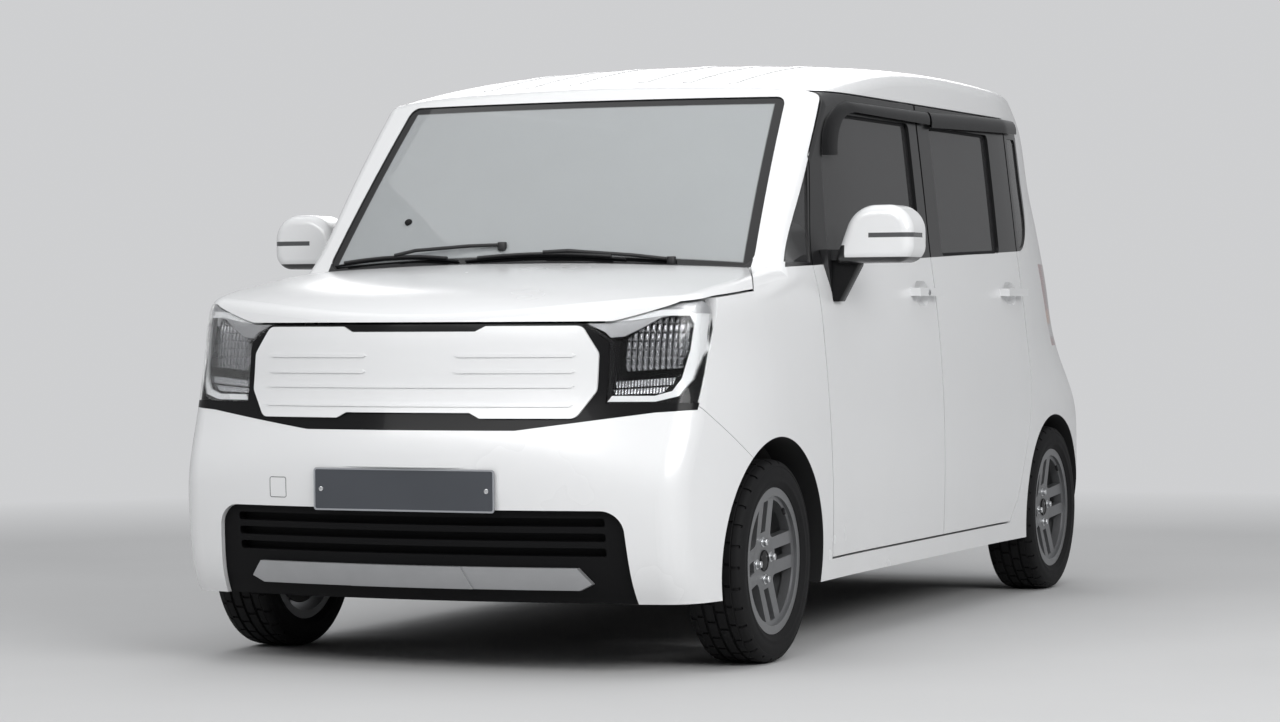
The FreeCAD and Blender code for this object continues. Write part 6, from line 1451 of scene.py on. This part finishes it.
def build_locks():
    """Key lock beside the front handle."""
    place = surface_at((1.5, LOCK_Y, LOCK_Z), (-1, 0, 0), ["front_door_left"])
    barrel = rod("door_lock", place - Vector((0.004, 0, 0)), place + Vector((0.0022, 0, 0)), LOCK_RADIUS, 24,
                 0.0008)
    fitted(barrel, "door_front_left", finish("satin_silver"))
    slot = block("door_lock_slot", place + Vector((0.0015, -0.0008, -0.005)),
                 place + Vector((0.0026, 0.0008, 0.005)))
    fitted(slot, "door_front_left", finish("grain_black"))


# Wipers

# Each front wiper's tip and inner end across the windscreen, and its pivot
WIPERS = (("left", -0.181, 0.301, 0.43), ("right", -0.628, -0.205, -0.08))
WIPER_STEPS = 12
WIPER_Z = 1.072
WIPER_BOW = 0.012
WIPER_DROP = 0.03
WIPER_DROP_START = 0.3
WIPER_LIFT = 0.004
SCREEN_OUT = Vector((0, -0.76, 0.65))
PIVOT_Y = -1.035
PIVOT_FROM_Z = 1.5


def screen_place(x, z, lift):
    place = surface_at((x, AHEAD, z), (0, 1, 0), ["windshield"])
    return place + SCREEN_OUT * lift


def wiper_line(tip, end):
    """Where a wiper's lip lies, bowed up in the middle and dropping towards the windscreen's sides."""
    line = []
    for i in range(WIPER_STEPS + 1):
        x = tip + (end - tip) * i / WIPER_STEPS
        bow = WIPER_BOW * math.sin(math.pi * i / WIPER_STEPS)
        drop = WIPER_DROP * max(0, abs(x) - WIPER_DROP_START)
        line.append(screen_place(x, WIPER_Z + bow - drop, WIPER_LIFT))
    return line


def build_wipers():
    """Two front wipers lying along the foot of the windscreen."""
    for name, tip, end, pivot in WIPERS:
        line = wiper_line(tip, end)
        fitted(tube("wiper_lip_" + name, line, 0.0032), "body", finish("seal"))
        back = tube("wiper_blade_" + name, [p + Vector((0, -0.0045, 0.0055)) for p in line[1:-1]], 0.0048)
        middle = line[WIPER_STEPS // 2] + Vector((0, -0.008, 0.010))
        foot = surface_at((pivot, PIVOT_Y, PIVOT_FROM_Z), (0, 0, -1), ["cowl_panel", "hood", "windshield"])
        arm = tube("wiper_arm_" + name, [foot + Vector((0, 0, 0.012)),
                                         foot.lerp(middle, 0.3) + Vector((0, -0.002, 0.014)),
                                         foot.lerp(middle, 0.8) + Vector((0, -0.004, 0.010)), middle], 0.0052)
        knob = rod("wiper_pivot_" + name, foot - Vector((0, 0, 0.004)), foot + Vector((0, 0, 0.02)), 0.013,
                   24, 0.003)
        fitted(joined([arm, back, knob], "wiper_" + name), "body", finish("grain_black"))


# Tail

HANDLE_Z = 0.868
# Sections of the raised strips on the tail as (z, lift)
STOP_LAMP = ((1.588, 0.0005), (1.584, 0.003), (1.566, 0.003), (1.562, 0.0005))
HANDLE_STRIP = ((HANDLE_Z, 0.0005), (HANDLE_Z + 0.004, 0.006), (HANDLE_Z + 0.02, 0.006),
                (HANDLE_Z + 0.024, 0.0005))
REFLECTOR = ((0.452, 0.0005), (0.449, 0.0028), (0.430, 0.0028), (0.427, 0.0005))
STRIP_THICK = 0.0015
REAR_PIVOT_Z = 1.072
REAR_WIPER_START = -0.02
REAR_WIPER_LENGTH = 0.36
REAR_WIPER_Z = 1.118
REAR_WIPER_BOW = 0.010
PLATE_LAMP_X = 0.11
PLATE_LAMP_Z = 0.84


TAIL_NODES = ("tailgate", "tailgate_glass", "rear_bumper")


def tail_place(x, z, lift=0.0):
    return surface_at((x, BEHIND, z), (0, -1, 0), TAIL_NODES) + Vector((0, lift, 0))


def tail_strip(name, start, length, steps, section):
    """Raised strip across the tail from x = start, over a section of heights and lifts."""
    places = [start + length * i / steps for i in range(steps + 1)]
    rows = [[tail_place(x, z, lift) for x in places] for z, lift in section]
    return lofted(name, rows, STRIP_THICK)


def build_rear_wiper():
    pivot = tail_place(0.0, REAR_PIVOT_Z)
    sweep = [tail_place(REAR_WIPER_START - REAR_WIPER_LENGTH * i / WIPER_STEPS,
                        REAR_WIPER_Z + REAR_WIPER_BOW * math.sin(math.pi * i / WIPER_STEPS), 0.008)
             for i in range(WIPER_STEPS + 1)]
    fitted(tube("rear_wiper_lip", sweep, 0.003), "tailgate", finish("seal"))
    knob = rod("rear_wiper_pivot", pivot - Vector((0, 0.004, 0)), pivot + Vector((0, 0.018, 0)), 0.018, 28,
               0.004)
    arm = tube("rear_wiper_arm", [pivot + Vector((0, 0.013, 0)), sweep[3] + Vector((0, 0.009, -0.01)),
                                  sweep[6] + Vector((0, 0.006, 0))], 0.0055)
    back = tube("rear_wiper_back", [p + Vector((0, 0.005, 0)) for p in sweep[1:-1]], 0.0045)
    fitted(joined([knob, arm, back], "rear_wiper"), "tailgate", finish("grain_black"))


def build_tail():
    """High stop lamp, rear wiper, handle strip, plate lamps and reflectors."""
    fitted(tail_strip("stop_lamp_high", -0.14, 0.28, 20, STOP_LAMP), "tailgate",
           finish("stop_red"))
    build_rear_wiper()
    fitted(tail_strip("tailgate_strip", -0.24, 0.48, 24, HANDLE_STRIP), "tailgate",
           finish("chrome"))
    for side, x in (("left", PLATE_LAMP_X), ("right", -PLATE_LAMP_X)):
        place = tail_place(x, PLATE_LAMP_Z)
        lamp = block("plate_lamp_" + side, place + Vector((-0.022, -0.002, -0.006)),
                     place + Vector((0.022, 0.004, 0.006)), 0.002)
        fitted(lamp, "tailgate", finish("light_guide"))
    left = tail_strip("reflector_left", 0.47, 0.11, 10, REFLECTOR)
    right = mirrored_copy(left, "reflector_right")
    for obj in (left, right):
        fitted(obj, "body", finish("stop_red"))


# Cabin

# Pressure and length of the cloth run that swells the cushions
PAD_PRESSURE = 4
PAD_FRAMES = 20
# Each padded piece's node, name, finish, shrink before the run, largest swell and fill
PADS = (("front_seats", "front_seat_pads", "front_cloth", 0.012, 0.022, 0.85),
        ("rear_seat", "rear_seat_pads", "rear_cloth", 0.012, 0.022, 0.85),
        ("headrests", "headrest_pads", "cloth", 0.006, 0.012, 0.9))


def puffed(node, name, material, shrink, cap):
    """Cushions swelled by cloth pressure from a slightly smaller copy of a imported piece."""
    obj = copy_of(node, name)
    bpy.ops.object.mode_set(mode="EDIT")
    bpy.ops.mesh.select_all(action="SELECT")
    bpy.ops.transform.shrink_fatten(value=-shrink)
    bpy.ops.object.mode_set(mode="OBJECT")
    remesh = obj.modifiers.new("Even mesh", "REMESH")
    remesh.mode = "VOXEL"
    remesh.voxel_size = settings().cushion_mesh
    apply_all(obj)
    start = [vertex.co.copy() for vertex in obj.data.vertices]
    cloth = obj.modifiers.new("Padding", "CLOTH")
    cloth.settings.use_pressure = True
    cloth.settings.uniform_pressure_force = PAD_PRESSURE
    cloth.settings.quality = 4
    cloth.settings.effector_weights.gravity = 0
    cloth.point_cache.frame_start = 1
    cloth.point_cache.frame_end = PAD_FRAMES
    for step in range(1, PAD_FRAMES + 1):
        bpy.context.scene.frame_set(step)
    apply_all(obj)
    bpy.context.scene.frame_set(1)
    for vertex, place in zip(obj.data.vertices, start):
        move = vertex.co - place
        if move.length > cap:
            vertex.co = place + move * (cap / move.length)
    relax = obj.modifiers.new("Relax", "SMOOTH")
    relax.factor = 0.5
    relax.iterations = 3
    finer = obj.modifiers.new("Finer", "SUBSURF")
    finer.levels = finer.render_levels = 1
    apply_all(obj)
    for polygon in obj.data.polygons:
        polygon.use_smooth = True
    fitted(obj, "body", material)
    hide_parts(node)


def build_seats():
    for node, name, kind, shrink, cap, fill in PADS:
        puffed(node, name, finish(kind), shrink, cap)


# The inner mirror's stem, shell and glass
STEM_Z = 1.43
STEM_REACH = 0.06
INNER_HALF = 0.115
INNER_LOW_Z = 1.375
INNER_TOP_Z = 1.438
INNER_DEPTH = 0.022
INNER_GLASS = [(-0.108, 1.381), (0.108, 1.381), (0.108, 1.432), (-0.108, 1.432)]


def build_inner_mirror():
    """Inner mirror on its stem."""
    foot = surface_at((0, AHEAD, STEM_Z), (0, 1, 0), ["windshield"])
    stem = rod("inner_mirror_stem", foot + Vector((0, 0.008, 0)), foot + Vector((0, STEM_REACH, -0.02)),
               0.008, 16, 0.001)
    fitted(stem, "body", finish("grain_black"))
    y = foot.y + STEM_REACH
    shell = block("inner_mirror", (-INNER_HALF, y, INNER_LOW_Z), (INNER_HALF, y + INNER_DEPTH, INNER_TOP_Z),
                  0.010, 4)
    fitted(shell, "body", finish("grain_black"))
    face = cut_plate("inner_mirror_glass", rounded(INNER_GLASS, 0.008), "front", y + 0.0222, y + 0.024)
    fitted(face, "body", finish("mirror"))


# Outlines on the dashboard as (x, z), the depth that they are cut over, and its small pieces
DISPLAY = [(-0.115, 0.912), (0.115, 0.912), (0.115, 0.990), (-0.115, 0.990)]
DASH_STRIP = [(-0.60, 0.888), (0.60, 0.888), (0.60, 0.898), (-0.60, 0.898)]
GLOVE_BOX = [(-0.56, 0.785), (-0.20, 0.785), (-0.20, 0.872), (-0.56, 0.872)]
DASH_FRONT_Y = -0.70
DASH_REAR_Y = -0.60
GLOVE_BOX_FRONT_Y = -0.72
FRAME_WIDTH = 0.006
VENT_PLACES = (-0.545, -0.165, 0.165, 0.545)
VENT_HALF = 0.04
VENT_LOW_Z = 0.918
VENT_TOP_Z = 0.982
VENT_CORNER = 0.012
SLAT_HALF = 0.034
SLAT_HEIGHTS = (0.932, 0.944, 0.956, 0.968)
LEVER_Z = 0.815


def dash_place(x, z, lift=0.0):
    return surface_at((x, 0, z), (0, -1, 0), ["dashboard"]) + Vector((0, lift, 0))


def dash_ring(name, points, radius, width, lift, near=DASH_FRONT_Y):
    return skin_ring(name, "dashboard", points, radius, width, "front", near, DASH_REAR_Y, (0, lift, 0))


def dash_part(name, points, radius, lift):
    return skin_part(name, "dashboard", rounded(points, radius), "front", DASH_FRONT_Y, DASH_REAR_Y,
                     (0, lift, 0))


def build_vents():
    """Four framed air vents with slats."""
    for i, x in enumerate(VENT_PLACES):
        corners = [(x - VENT_HALF, VENT_LOW_Z), (x + VENT_HALF, VENT_LOW_Z), (x + VENT_HALF, VENT_TOP_Z),
                   (x - VENT_HALF, VENT_TOP_Z)]
        ring = dash_ring("vent_frame_%d" % (i + 1), corners, VENT_CORNER, FRAME_WIDTH, 0.005)
        fitted(ring, "body", finish("dash_trim"))
        slats = [tube("slat", [dash_place(x - SLAT_HALF, z, 0.0005), dash_place(x + SLAT_HALF, z, 0.0005)],
                      0.0035) for z in SLAT_HEIGHTS]
        fitted(joined(slats, "vent_slats_%d" % (i + 1)), "body", finish("grain_black"))


def build_gear_lever():
    foot = dash_place(0.0, LEVER_Z)
    lever = rod("gear_lever", foot - Vector((0, 0.01, 0.004)), foot + Vector((0, 0.055, 0.035)), 0.007, 16,
                0.001)
    knob = rod("gear_knob", foot + Vector((0, 0.045, 0.028)), foot + Vector((0, 0.088, 0.056)), 0.019, 28,
               0.009)
    fitted(joined([lever, knob], "gear_lever"), "body", finish("leather"))


def build_dashboard_trim():
    """Display, instrument hood, air vents, trim strip, glove box line and gear lever."""
    fitted(dash_part("dash_display", DISPLAY, 0.008, 0.005), "body", finish("gloss_black"))
    fitted(dash_ring("dash_display_frame", inset(DISPLAY, -FRAME_WIDTH), 0.01, FRAME_WIDTH, 0.007),
           "body", finish("dash_trim"))
    hood = block("instrument_hood", (0.232, -0.822, 1.030), (0.468, -0.700, 1.088), 0.018, 4)
    fitted(hood, "body", finish("dash"))
    dial = block("instrument_glass", (0.252, -0.702, 1.046), (0.448, -0.698, 1.078), 0.0015)
    fitted(dial, "body", finish("gloss_black"))
    build_vents()
    fitted(dash_part("dash_strip", DASH_STRIP, 0.004, 0.0025), "body", finish("satin_silver"))
    fitted(dash_ring("glove_box_line", GLOVE_BOX, 0.012, 0.0025, 0.0004, GLOVE_BOX_FRONT_Y),
           "body", finish("seal"))
    build_gear_lever()


# The steering wheel's tilt and middle, its centre pad and its switches
WHEEL_TILT = 26
WHEEL_MIDDLE = (0.35, -0.52, 0.94)
PAD_RADIUS = 0.057
SWITCH_OUT = 0.075
SWITCH_DOWN = 0.095
SWITCH_BACK = 0.004
SWITCH_FRONT = 0.0095


def build_wheel_pad():
    """Centre pad and switches of the steering wheel."""
    tilt = math.radians(WHEEL_TILT)
    axis = Vector((0, math.cos(tilt), math.sin(tilt)))
    down = Vector((0, math.sin(tilt), -math.cos(tilt)))
    centre = Vector(WHEEL_MIDDLE)
    pad = rod("wheel_pad", centre + axis * 0.015, centre + axis * 0.029, PAD_RADIUS, 48, 0.007)
    fitted(pad, "steering_wheel", finish("leather"))
    back, front = centre + axis * SWITCH_BACK, centre + axis * SWITCH_FRONT
    trim = []
    for side in (-1, 1):
        across = Vector((side * SWITCH_OUT, 0, 0))
        trim.append(rod("trim", back + across, front + across, 0.013, 28, 0.002))
    trim.append(rod("trim", back + down * SWITCH_DOWN, front + down * SWITCH_DOWN, 0.012, 28, 0.002))
    fitted(joined(trim, "wheel_switches"), "steering_wheel", finish("satin_silver"))


# Each hinged door's node, the arm rest's two ends and the speaker's place along the door
DOOR_CARDS = (("front", "front_door_left", -0.38, 0.02, -0.40),
              ("rear", "rear_door_left", 0.42, 0.74, 0.46))
DOOR_FROM_X = 0.2
REST_Z = 0.84
REST_LOW_Z = 0.80
REST_TOP_Z = 0.855
REST_REACH = 0.042
SPEAKER_Z = 0.52
SPEAKER_RADIUS = 0.068
PULL_Z = 0.93
PULL_AHEAD = 0.05


def build_door_cards():
    """Arm rest, pull and speaker grille on the inner side of each hinged door."""
    for name, node, low, high, middle in DOOR_CARDS:
        face = surface_at((DOOR_FROM_X, (low + high) / 2, REST_Z), (1, 0, 0), [node])
        rest = block("arm_rest_%s_left" % name, (face.x - REST_REACH, low, REST_LOW_Z),
                     (face.x + 0.004, high, REST_TOP_Z), 0.014, 4)
        speaker = surface_at((DOOR_FROM_X, middle, SPEAKER_Z), (1, 0, 0), [node])
        grille = rod("speaker_%s_left" % name, speaker - Vector((0.006, 0, 0)),
                     speaker + Vector((0.004, 0, 0)), SPEAKER_RADIUS, 48, 0.003)
        pull = surface_at((DOOR_FROM_X, low + PULL_AHEAD, PULL_Z), (1, 0, 0), [node])
        grip = block("inner_pull_%s_left" % name, pull + Vector((-0.016, -0.045, -0.012)),
                     pull + Vector((0.002, 0.045, 0.012)), 0.005, 3)
        for obj, slot, kind in ((rest, "interior_leather", "leather"),
                                (grille, "black_plastic", "grain_black"),
                                (grip, "silver_trim", "satin_silver")):
            if name == "front":
                twin = mirrored_copy(obj, obj.name.replace("_left", "_right"))
                fitted(twin, "door_front_right", finish(kind))
            fitted(obj, "door_%s_left" % name, finish(kind))


SUN_VISOR_START = 0.13
SUN_VISOR_LENGTH = 0.36
SUN_VISOR_ROWS = (-0.54, -0.50, -0.46, -0.42)
SUN_VISOR_DROP = 0.016
SUN_VISOR_THICK = 0.012


def build_sun_visors():
    """Sun visors under the front edge of the roof."""
    places = [SUN_VISOR_START + SUN_VISOR_LENGTH * i / 12 for i in range(13)]
    rows = [[surface_at((x, y, 1.2), (0, 0, 1), ["roof_panel"]) - Vector((0, 0, SUN_VISOR_DROP))
             for x in places] for y in SUN_VISOR_ROWS]
    left = lofted("sun_visor_left", rows, SUN_VISOR_THICK)
    right = mirrored_copy(left, "sun_visor_right")
    for obj in (left, right):
        fitted(obj, "body", finish("cloth"))


# Add-on

class MiniCarSettings(bpy.types.PropertyGroup):
    """Sizes and colours of the dressed car."""

    paint: FloatVectorProperty(name="Paint", description="Body colour", subtype="COLOR", size=3,
                               default=(0.80, 0.805, 0.81), min=0, max=1)
    band_colour: FloatVectorProperty(name="Window band", description="Gloss black round the side windows",
                                     subtype="COLOR", size=3, default=(0.009, 0.009, 0.0095), min=0, max=1)
    lining_colour: FloatVectorProperty(name="Cabin lining", description="Grey lining of the doors and roof",
                                       subtype="COLOR", size=3, default=(0.18, 0.18, 0.185), min=0, max=1)
    dust_colour: FloatVectorProperty(name="Dust", description="Road dust", subtype="COLOR", size=3,
                                     default=(0.42, 0.40, 0.37), min=0, max=1)
    dust: FloatProperty(name="Dust amount", description="Share of dust along the sills", default=0.12,
                        min=0, max=1, subtype="FACTOR")
    glass_tint: FloatVectorProperty(name="Side glass", description="Tint of the smoked side glass",
                                    subtype="COLOR", size=3, default=(0.075, 0.075, 0.077), min=0, max=1)
    screen_tint: FloatVectorProperty(name="Windscreen", description="Tint of the windscreen",
                                     subtype="COLOR", size=3, default=(0.70, 0.73, 0.74), min=0, max=1)
    lamp_red: FloatVectorProperty(name="Tail lamp", description="Red of the tail lamps", subtype="COLOR",
                                  size=3, default=(0.33, 0.012, 0.014), min=0, max=1)
    alloy_colour: FloatVectorProperty(name="Wheels", description="Dark grey of the alloy wheels",
                                      subtype="COLOR", size=3, default=(0.24, 0.243, 0.25), min=0, max=1)
    belt_slope: FloatProperty(name="Belt slope", default=0.033,
                              description="Rise of the belt line for each metre to the rear")
    belt_height: FloatProperty(name="Belt height", description="Height of the belt line over the origin",
                               default=1.0805, unit="LENGTH", subtype="DISTANCE")
    band_rear: FloatProperty(name="Band rear end", description="Rear end of the black band", default=1.325,
                             unit="LENGTH", subtype="DISTANCE")
    band_corner: FloatProperty(name="Band corner", description="Radius of the lower rear corner of the band",
                               default=0.16, unit="LENGTH", subtype="DISTANCE")
    band_top: FloatProperty(name="Band top", description="Top of the black band under the roof rail",
                            default=1.5485, unit="LENGTH", subtype="DISTANCE")
    pillar_slope: FloatProperty(name="Pillar slope", description="Run of the windscreen pillar for its rise",
                                default=0.85)
    pillar_place: FloatProperty(name="Pillar place", description="Where the pillar line starts",
                                default=-1.848, unit="LENGTH", subtype="DISTANCE")
    plate_width: FloatProperty(name="Plate width", description="Width of a blank plate", default=0.52,
                               unit="LENGTH", subtype="DISTANCE")
    plate_height: FloatProperty(name="Plate height", description="Height of a blank plate", default=0.11,
                                unit="LENGTH", subtype="DISTANCE")
    groove_depth: FloatProperty(name="Groove depth", description="Depth of the grooves round the tyre",
                                default=0.0065, unit="LENGTH", subtype="DISTANCE")
    tread_pitch: IntProperty(name="Tread pitch", default=7, min=3,
                             description="Steps of the ring from one cross groove to the next")
    tyre_steps: IntProperty(name="Tyre steps", description="Steps of the tyre ring", default=210, min=60)
    cushion_mesh: FloatProperty(name="Cushion mesh", description="Mesh size of the padded seats",
                                default=0.013, min=0.004, unit="LENGTH", subtype="DISTANCE")
    floor_radius: FloatProperty(name="Floor radius", description="Radius of the studio floor", default=60.0,
                                unit="LENGTH", subtype="DISTANCE")
    light_power: FloatProperty(name="Light power", description="Watts that the lights take shares of",
                               default=200.0, min=0)
    camera_place: FloatVectorProperty(name="Camera place", description="Where the camera stands", size=3,
                                      subtype="TRANSLATION", unit="LENGTH", default=(4.026, -9.484, 0.94))
    camera_azimuth: FloatProperty(name="Camera azimuth", description="Turn of the camera from the car's nose",
                                  subtype="ANGLE", unit="ROTATION", default=math.radians(23.03))
    camera_dip: FloatProperty(name="Camera dip", description="How far the camera looks down", subtype="ANGLE",
                              unit="ROTATION", default=math.radians(0.95))
    camera_roll: FloatProperty(name="Camera roll", description="Roll of the camera", subtype="ANGLE",
                               unit="ROTATION", default=math.radians(-0.35))


def run_builders(builders):
    for builder in builders:
        builder()
    return {"FINISHED"}


class MINICAR_OT_stage(bpy.types.Operator):
    """Set up the floor, the lights, the world and the photo camera"""
    bl_idname = "mini_car.stage"
    bl_label = "Stage"

    def execute(self, context):
        return run_builders([build_world, build_floor, build_camera, build_lights])


class MINICAR_OT_finishes(bpy.types.Operator):
    """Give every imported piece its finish"""
    bl_idname = "mini_car.finishes"
    bl_label = "Finishes"

    def execute(self, context):
        for name, kind in NODE_FINISHES.items():
            NODES[name].data.materials.clear()
            NODES[name].data.materials.append(finish(kind))
        return {"FINISHED"}


class MINICAR_OT_tyres(bpy.types.Operator):
    """Build the grooved tyres"""
    bl_idname = "mini_car.tyres"
    bl_label = "Tyres"

    def execute(self, context):
        return run_builders([build_tyres])


class MINICAR_OT_wheel_details(bpy.types.Operator):
    """Build the wheel bolts, caps, valves and brake shields"""
    bl_idname = "mini_car.wheel_details"
    bl_label = "Wheel details"

    def execute(self, context):
        return run_builders([build_wheel_details])


class MINICAR_OT_headlamps(bpy.types.Operator):
    """Build the housings, blades, light guides, edges, bowls and bars of the headlamps"""
    bl_idname = "mini_car.headlamps"
    bl_label = "Headlamp insides"

    def execute(self, context):
        return run_builders([build_headlamps])


class MINICAR_OT_front_trim(bpy.types.Operator):
    """Build the blank plate, the towing cover, the dot on the screen and the wipers"""
    bl_idname = "mini_car.front_trim"
    bl_label = "Front trim"

    def execute(self, context):
        return run_builders([build_number_plate, build_front_trim, build_wipers])


class MINICAR_OT_side_trim(bpy.types.Operator):
    """Build the visors, the window seals, the mirror feet and glass, and the lock"""
    bl_idname = "mini_car.side_trim"
    bl_label = "Side trim"

    def execute(self, context):
        return run_builders([build_visors, build_window_seals, build_mirror_feet, build_mirror_glass,
                             build_locks])


class MINICAR_OT_tail(bpy.types.Operator):
    """Build the trim of the tailgate and the rear bumper"""
    bl_idname = "mini_car.tail"
    bl_label = "Tail"

    def execute(self, context):
        return run_builders([build_tail])


class MINICAR_OT_cabin(bpy.types.Operator):
    """Build the padded seats, the inner mirror, and the trim of the dashboard, wheel, doors and roof"""
    bl_idname = "mini_car.cabin"
    bl_label = "Cabin"

    def execute(self, context):
        return run_builders([build_seats, build_inner_mirror, build_dashboard_trim, build_wheel_pad,
                             build_door_cards, build_sun_visors])


STEPS = [MINICAR_OT_stage, MINICAR_OT_finishes, MINICAR_OT_tyres, MINICAR_OT_wheel_details,
         MINICAR_OT_headlamps, MINICAR_OT_front_trim, MINICAR_OT_side_trim, MINICAR_OT_tail,
         MINICAR_OT_cabin]


class MINICAR_PT_panel(bpy.types.Panel):
    """Steps and settings of the mini car"""
    bl_idname = "MINICAR_PT_panel"
    bl_label = "Mini Car"
    bl_space_type = "VIEW_3D"
    bl_region_type = "UI"
    bl_category = "Mini Car"

    def draw(self, context):
        for name in MiniCarSettings.__annotations__:
            self.layout.prop(context.scene.mini_car, name)
        for step in STEPS:
            self.layout.operator(step.bl_idname)


CLASSES = [MiniCarSettings] + STEPS + [MINICAR_PT_panel]


def register():
    for cls in CLASSES:
        bpy.utils.register_class(cls)
    bpy.types.Scene.mini_car = PointerProperty(type=MiniCarSettings)


def unregister():
    del bpy.types.Scene.mini_car
    for cls in reversed(CLASSES):
        bpy.utils.unregister_class(cls)


def call(step):
    group, name = step.bl_idname.split(".")
    getattr(getattr(bpy.ops, group), name)()


def main():
    register()
    bpy.context.scene.view_settings.view_transform = "Standard"
    for step in STEPS:
        call(step)


if __name__ == "__main__":
    main()
